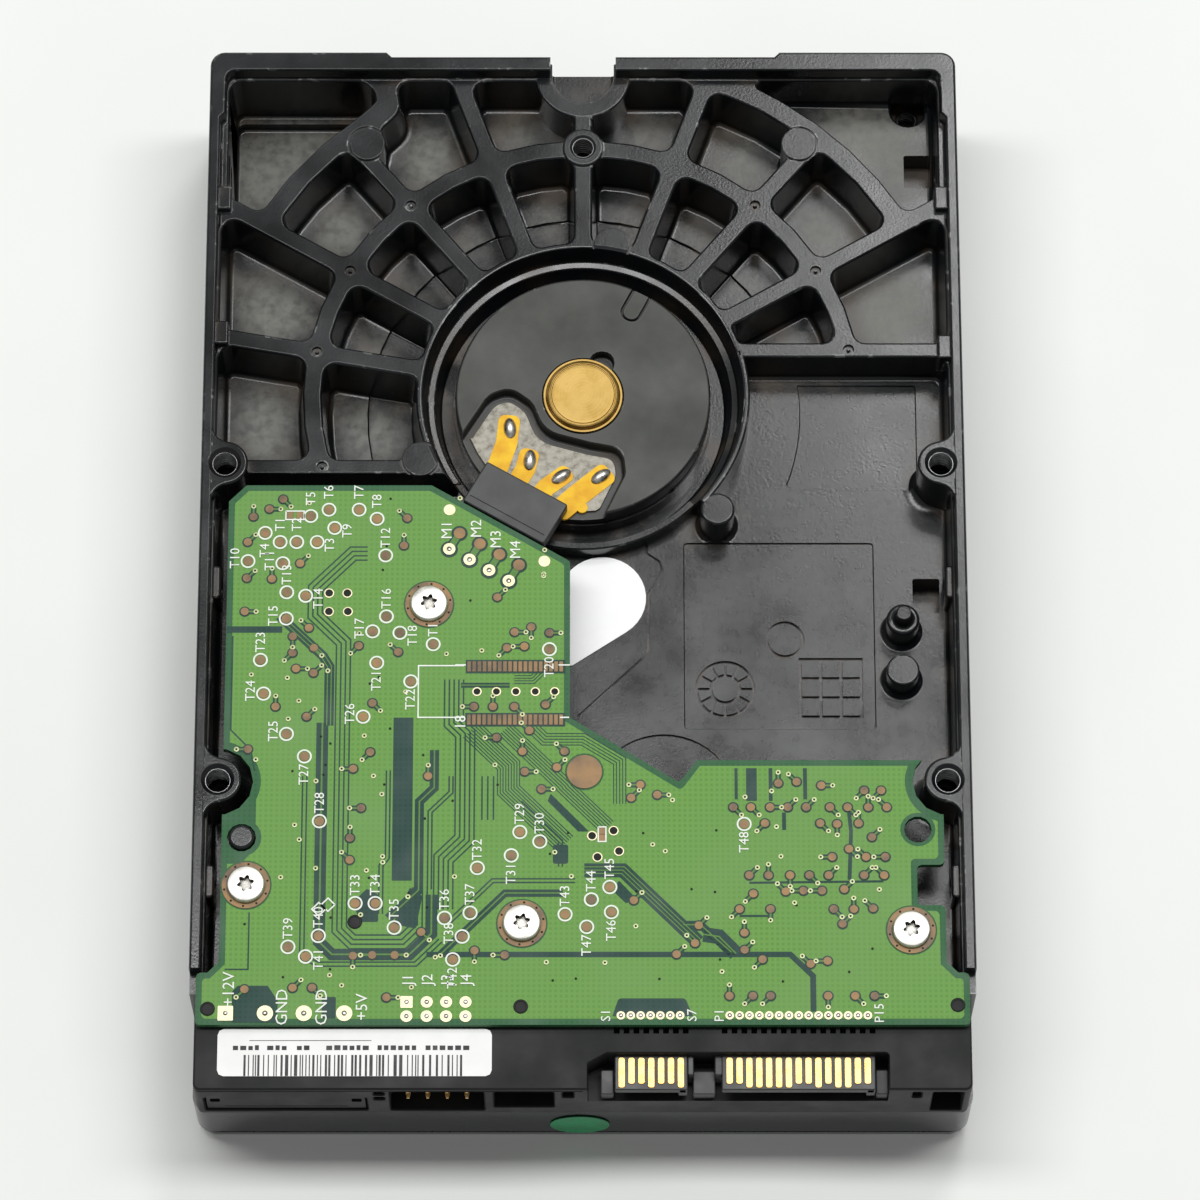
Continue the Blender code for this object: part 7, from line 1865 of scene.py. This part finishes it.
    def build(self) -> None:
        """Mould the block and set its metal."""
        outline = rectangle(-self.half, self.front, self.half, self.back, 0.9)
        block = formed("moulded_connector_block", [prism(outline, self.low, self.top, 0.35)])
        combined(block, Join.CUT, self.cuts())
        published(block, Finishes.plastic, "interface_connector")
        made("contact_tongues", self.tongues(), Finishes.plug, "moulded_plastic")
        made("gold_contact_strips", self.strips(), Finishes.gold, "brass")
        made("socket_pins", self.pins(), Finishes.gold, "brass")
        self.socket_shade_panel()


@dataclass
class Label:
    """Stickers: a plain bar label, the seal on the deck and the dot on the front."""

    left: float = -43.6
    right: float = -15.2
    near: float = -71.2
    far: float = -68.4
    face: float = 23.83
    ink: float = 0.06
    seed: int = 5
    bar_widths: tuple[float, ...] = (0.14, 0.14, 0.28, 0.42)
    bar_gaps: tuple[float, ...] = (0.16, 0.3, 0.3, 0.46, 0.6)
    underline: tuple[float, float, float, float] = (-42.9, -66.52, -27.2, -66.44)
    line_ends: Place = (-45.0, -14.4)
    line_near: float = -67.75
    line_far: float = -67.1
    line_gap: float = 0.28
    blank_share: float = 0.16

    def build(self) -> None:
        """Print plain bars on the label and dress the stickers."""
        dress_nodes(["bar_label"], Finishes.paper)
        dress_nodes(["seal_sticker"], Finishes.foil)
        dress_nodes(["dot_sticker"], Finishes.green)
        draws = random.Random(self.seed)
        bars = []
        x = self.left
        while x < self.right:
            width = draws.choice(self.bar_widths)
            bars.append(rectangle(x, self.near, x + width, self.far))
            x += width + draws.choice(self.bar_gaps)
        bars.append(rectangle(*self.underline))
        x, end = self.line_ends
        while x < end:
            width = draws.uniform(0.45, 0.8)
            if draws.random() > self.blank_share:
                far = self.line_far + draws.uniform(-0.12, 0.0)
                bars.append(rectangle(x, self.line_near, x + width, far))
            x += width + self.line_gap
        prints = [prism(bar, self.face - self.ink, self.face) for bar in bars]
        made("printed_bars", prints, Finishes.print_ink, "label_paper")


@dataclass
class Motor:
    """Motor seen from outside: cover plate, bearing cap, flex with its solder, and the plug."""

    axis: Place = MOTOR_AXIS
    radius: float = 17.1
    low: float = 20.2
    top: float = 23.2
    recess: float = 21.3
    flex: float = 21.85
    cap_radius: float = 4.77
    plug_place: Place = (-9.0, 7.837)
    plug_size: Place = (12.5, 6.5)
    plug_turn: float = -30.0
    wave: tuple[Corner, ...] = (
        (3.2, 7.13, 0.6),
        (5.59, 12.22, 2.0),
        (5.2, 15.83, 2.0),
        (0.99, 16.62, 4.0),
        (-5.2, 18.33, 4.0),
        (-6.81, 22.43, 3.0),
        (-9.8, 24.62, 3.0),
        (-12.65, 23.51, 3.0),
        (-16.42, 17.53, 0.6),
    )
    drops: tuple[tuple[float, float, float], ...] = (
        (-9.8, 19.4, 95.0),
        (-7.1, 14.8, 85.0),
        (-2.8, 12.4, 35.0),
        (2.5, 12.4, 35.0),
    )
    strips: tuple[tuple[tuple[Place, ...], float], ...] = (
        (((-11.9, 12.2), (-10.2, 17.2), (-9.8, 21.2)), 2.9),
        (((-9.3, 10.6), (-7.7, 13.4), (-7.0, 16.3)), 2.7),
        (((-6.6, 8.6), (-4.9, 10.8), (-1.7, 13.2)), 2.6),
        (((-3.6, 7.0), (-0.4, 9.9), (3.6, 13.2)), 3.2),
    )
    film_low: float = 21.4
    slot_angle: float = 62.0

    def flex_outline(self, reach: float) -> list[Corner]:
        """Outline of the flex's window, closed by an arc at a reach from the axis."""
        return list(self.wave) + arc(reach, 201, 277, 10, self.axis)

    def plate(self) -> None:
        """Coated plate with the window of the flex, the cap's seat, a hole and a slot."""
        axis, top, turn = self.axis, self.top, self.slot_angle
        plate = formed("motor_cover_plate", [prism(arc(self.radius, 0, 357, 119, axis), self.low, top, 0.4)])
        slot = turned(polar(self.radius, turn, axis), (9.2, 2.9), turn, 1.44)
        hole = turned(polar(5.4, turn, axis), (3.3, 3.3), 0, 1.6)
        seat = [(3.9, 15.0), (3.9, 22.6), (5.4, 22.6), (5.45, 23.1), (5.6, 23.3), (5.6, 25.0)]
        cuts = [
            pocket(self.flex_outline(18.6), self.recess, top, 0.35, 0.3, 0.1),
            bore(seat, axis, 64),
            pocket(slot, top - 0.9, top, 0.1, 0.12, 0.0),
            pocket(hole, self.recess, top, 0.3, 0.12, 0.0),
        ]
        combined(plate, Join.CUT, cuts)
        corners = turned(polar(self.radius - 2.25, turn, axis), (4.1, 2.2), turn)
        inside = self.radius - 2
        island = [(x, y, 1.09 if math.dist((x, y), axis) < inside else 0.0) for x, y, _ in corners]
        combined(plate, Join.ADD, [prism(island, self.low, self.top - 0.05, 0.15)])
        published(plate, Finishes.plate, "motor_plate")

    def cap(self) -> None:
        """Turned brass cap with a rim groove and a faintly dished face."""
        r = self.cap_radius
        flange = [(0.0, 22.7), (5.36, 22.7), (5.36, 23.2), (5.26, 23.34), (5.02, 23.34), (4.92, 23.2)]
        rim = [(r, 23.15), (r, 23.6), (r - 0.08, 23.82), (r - 0.22, 23.9), (r - 0.34, 23.88)]
        groove = [(r - 0.42, 23.74), (r - 0.52, 23.74), (r - 0.62, 23.84)]
        face = [(r - 1.1, 23.86), (2.0, 23.83), (0.0, 23.81)]
        cap = lathe(flange + rim + groove + face, self.axis, 96)
        made("bearing_cap_turned", [cap], Finishes.brass, "brass", "bearing_cap")

    def film(self) -> None:
        """Stiffener, film strips and solder of the flex."""
        low, high = self.film_low, self.flex - SKIM
        backing = prism(inset_corners(self.flex_outline(17.2), 1.15), low, self.flex - 0.1, 0.05)
        made("flex_stiffener", [backing], Finishes.backing, "polyimide", "motor_flex")
        shapes = []
        for number, (path, width) in enumerate(self.strips):
            corners = [(x, y, 0.9) for x, y, _ in ribbon(path, width)]
            # Each strip lies a hair above the one before, so that no two faces are level where they cross
            shapes.append(prism(corners, low, high + 0.004 * number, 0.03))
        shapes.append(prism(arc(0.75, 0, 340, 17, (-0.1, 7.9)), low, self.flex - 0.03, 0.03))
        made("polyimide_film_strips", shapes, Finishes.film, "polyimide")
        drops = []
        dome = [(1.0, 0.0), (0.97, 0.14), (0.86, 0.36), (0.62, 0.55), (0.3, 0.65), (0.0, 0.68)]
        for x, y, turn in self.drops:
            drop = lathe([(0.0, -0.1)] + dome, (0.0, 0.0), 28)
            # Solder draws out into a pear
            for vert in drop.verts:
                vert.co.x *= 1.5 - 0.12 * vert.co.x
                vert.co.y *= 0.86 - 0.1 * vert.co.x / 1.5
            spin = Matrix.Rotation(math.radians(turn), 4, "Z")
            drop.transform(Matrix.Translation((x, y, high)) @ spin)
            drops.append(drop)
        made("flex_solder_drops", drops, Finishes.solder, "polyimide")

    def plug(self) -> None:
        """Low moulded plug with latch slots along its flex side."""
        outline = turned(self.plug_place, self.plug_size, self.plug_turn, 0.35)
        body = formed("motor_plug_housing", [prism(outline, 22.1, 23.9, 0.28)])
        spin = Matrix.Rotation(math.radians(self.plug_turn), 2)
        cuts = []
        for step in range(4):
            place = Vector(self.plug_place) + spin @ Vector((-4.2 + 2.8 * step, 3.2))
            cuts.append(prism(turned(place[:], (1.3, 0.9), self.plug_turn, 0.1), 22.0, 23.3))
        place = Vector(self.plug_place) + spin @ Vector((0.0, -2.2))
        cuts.append(prism(turned(place[:], (11.4, 0.3), self.plug_turn), 23.72, 25.0))
        combined(body, Join.CUT, cuts)
        published(body, Finishes.plug, "motor_connector")

    def build(self) -> None:
        """Build the parts that show round the motor's axis."""
        self.plate()
        self.cap()
        self.film()
        self.plug()


@dataclass
class Fasteners:
    """Six-lobe screws that hold the board."""

    places: tuple[Place, ...] = Casting.board_posts
    seat: float = 25.08
    top: float = 26.0
    head: float = 2.5

    def lobes(self, place: Place) -> list[Corner]:
        """Outline of the six-lobe recess."""
        points = []
        for step in range(48):
            angle = 7.5 * step
            points.append((*polar(0.9 + 0.2 * math.cos(math.radians(6 * angle)), angle + 15, place), 0.0))
        return points

    def build(self) -> None:
        """Turn each head, sink its recess and add the shank."""
        for number, place in enumerate(self.places, 1):
            r, low, top = self.head, self.seat, self.top
            shank = [(1.25, 20.1), (1.25, low)]
            head = [(r - 0.1, low), (r, low + 0.1), (r, low + 0.42), (r - 0.08, top - 0.28)]
            head += [(r - 0.26, top - 0.12), (r - 0.6, top - 0.03), (1.5, top)]
            screw = formed(f"six_lobe_screw_{number}", [bore(shank + head, place, 64)])
            rings = ((0.06, low + 0.1), (0.0, top - 0.06), (-0.06, top + 0.02), (-0.06, top + REACH))
            combined(screw, Join.CUT, [loft([(rounded(self.lobes(place), inset), z) for inset, z in rings])])
            published(screw, Finishes.zinc, f"board_screw_{number}")


@dataclass
class Inside:
    """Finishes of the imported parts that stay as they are: cover, discs, arm and the pieces round them."""

    looks: tuple[tuple[Finish, tuple[str, ...]], ...] = (
        (Finishes.sheet, ("top_cover",)),
        (Finishes.rubber, ("cover_gasket", "crash_stop_1", "crash_stop_2")),
        (Finishes.zinc, tuple(f"cover_screw_{i}" for i in range(1, 7)) + ("clamp_screw",)),
        (Finishes.epoxy, ("controller_chip", "motor_driver_chip", "memory_chip", "flash_chip")),
        (Finishes.plug, ("head_connector",)),
        (Finishes.sleeve, ("bearing_sleeve",)),
        (Finishes.winding, ("wound_stator", "voice_coil")),
        (Finishes.iron, ("lower_yoke", "upper_yoke", "yoke_post_1", "yoke_post_2", "pivot_post")),
        (Finishes.iron, ("spindle_shaft",)),
        (Finishes.magnet, ("lower_magnet", "upper_magnet", "rotor_magnet")),
        (Finishes.felt, ("breather_filter", "recirculation_filter")),
        (Finishes.aluminium, ("rotor_hub", "platter_spacer", "disk_clamp", "pivot_sleeve")),
        (Finishes.disc, ("platter_1", "platter_2")),
        (Finishes.arm, ("actuator_arm",)),
        (Finishes.iron, tuple(f"head_suspension_{i}" for i in range(1, 5))),
    )

    def build(self) -> None:
        """Dress every node."""
        for finish, names in self.looks:
            dress_nodes(names, finish)


@dataclass
class Studio:
    """Pale floor, soft light and the camera at the photograph's angle."""

    lens: float = 178.39
    place: tuple[float, float, float] = (0.641, -280.251, 760.681)
    turn: tuple[float, float, float] = (0.3563, -0.0019, -0.0008)

    def floor(self) -> None:
        """Sweep of pale paper under the drive, white to the camera away from the shadow."""
        paper = formed("pale_paper_floor", [prism(rectangle(-1500, -1500, 1500, 1500, 20.0), -6.0, -0.02)])
        paper.data.transform(Matrix.Scale(MM, 4))
        stock = Finish("matt_background_paper", "eff1ee", "f3f5f2", 0.9, 0.0, 60.0, 0.6, 0.01)
        paper.data.materials.append(stock.material())

    def lamp(self, name: str, place: tuple[float, float, float], size: Place, power: float) -> None:
        """Soft lamp that faces the drive.

        Args:
            name: Name of the lamp.
            place: Where it stands, in metres.
            size: Sides of its panel, in metres.
            power: Power in watts.
        """
        data = bpy.data.lights.new(name, "AREA")
        data.shape = "RECTANGLE"
        data.energy = power
        data.size, data.size_y = size
        lamp = bpy.data.objects.new(name, data)
        lamp.location = place
        lamp.rotation_euler = (-Vector(place)).to_track_quat("-Z", "Y").to_euler()
        bpy.context.scene.collection.objects.link(lamp)

    def lights(self) -> None:
        """Wide strip box overhead, a small window far to the right and an even, weak surround."""
        self.lamp("strip_box", (0.0, 0.135, 1.0), (1.3, 0.18), 8.4)
        self.lamp("window", (0.19, 0.47, 0.95), (0.22, 0.22), 1.8)
        world = bpy.data.worlds.new("white_surround")
        world.use_nodes = True
        back = world.node_tree.nodes["Background"]
        back.inputs["Color"].default_value = linear("ffffff")
        back.inputs["Strength"].default_value = 0.26
        bpy.context.scene.world = world

    def camera(self) -> None:
        """Camera of the photograph."""
        data = bpy.data.cameras.new("photo_camera")
        data.lens = self.lens
        data.sensor_width = 36.0
        data.clip_start = 0.01
        camera = bpy.data.objects.new("photo_camera", data)
        camera.location = Vector(self.place) * MM
        camera.rotation_euler = self.turn
        bpy.context.scene.collection.objects.link(camera)
        bpy.context.scene.camera = camera

    def build(self) -> None:
        """Set the stage."""
        self.floor()
        self.lights()
        self.camera()
        bpy.context.scene.view_settings.view_transform = "Standard"


def main() -> None:
    """Build every sub-assembly in order."""
    logging.basicConfig(level=logging.INFO, format="%(message)s")
    Studio().build()
    Casting().build()
    Board().build()
    Connector().build()
    Label().build()
    Motor().build()
    Fasteners().build()
    Inside().build()


if __name__ == "__main__":
    main()
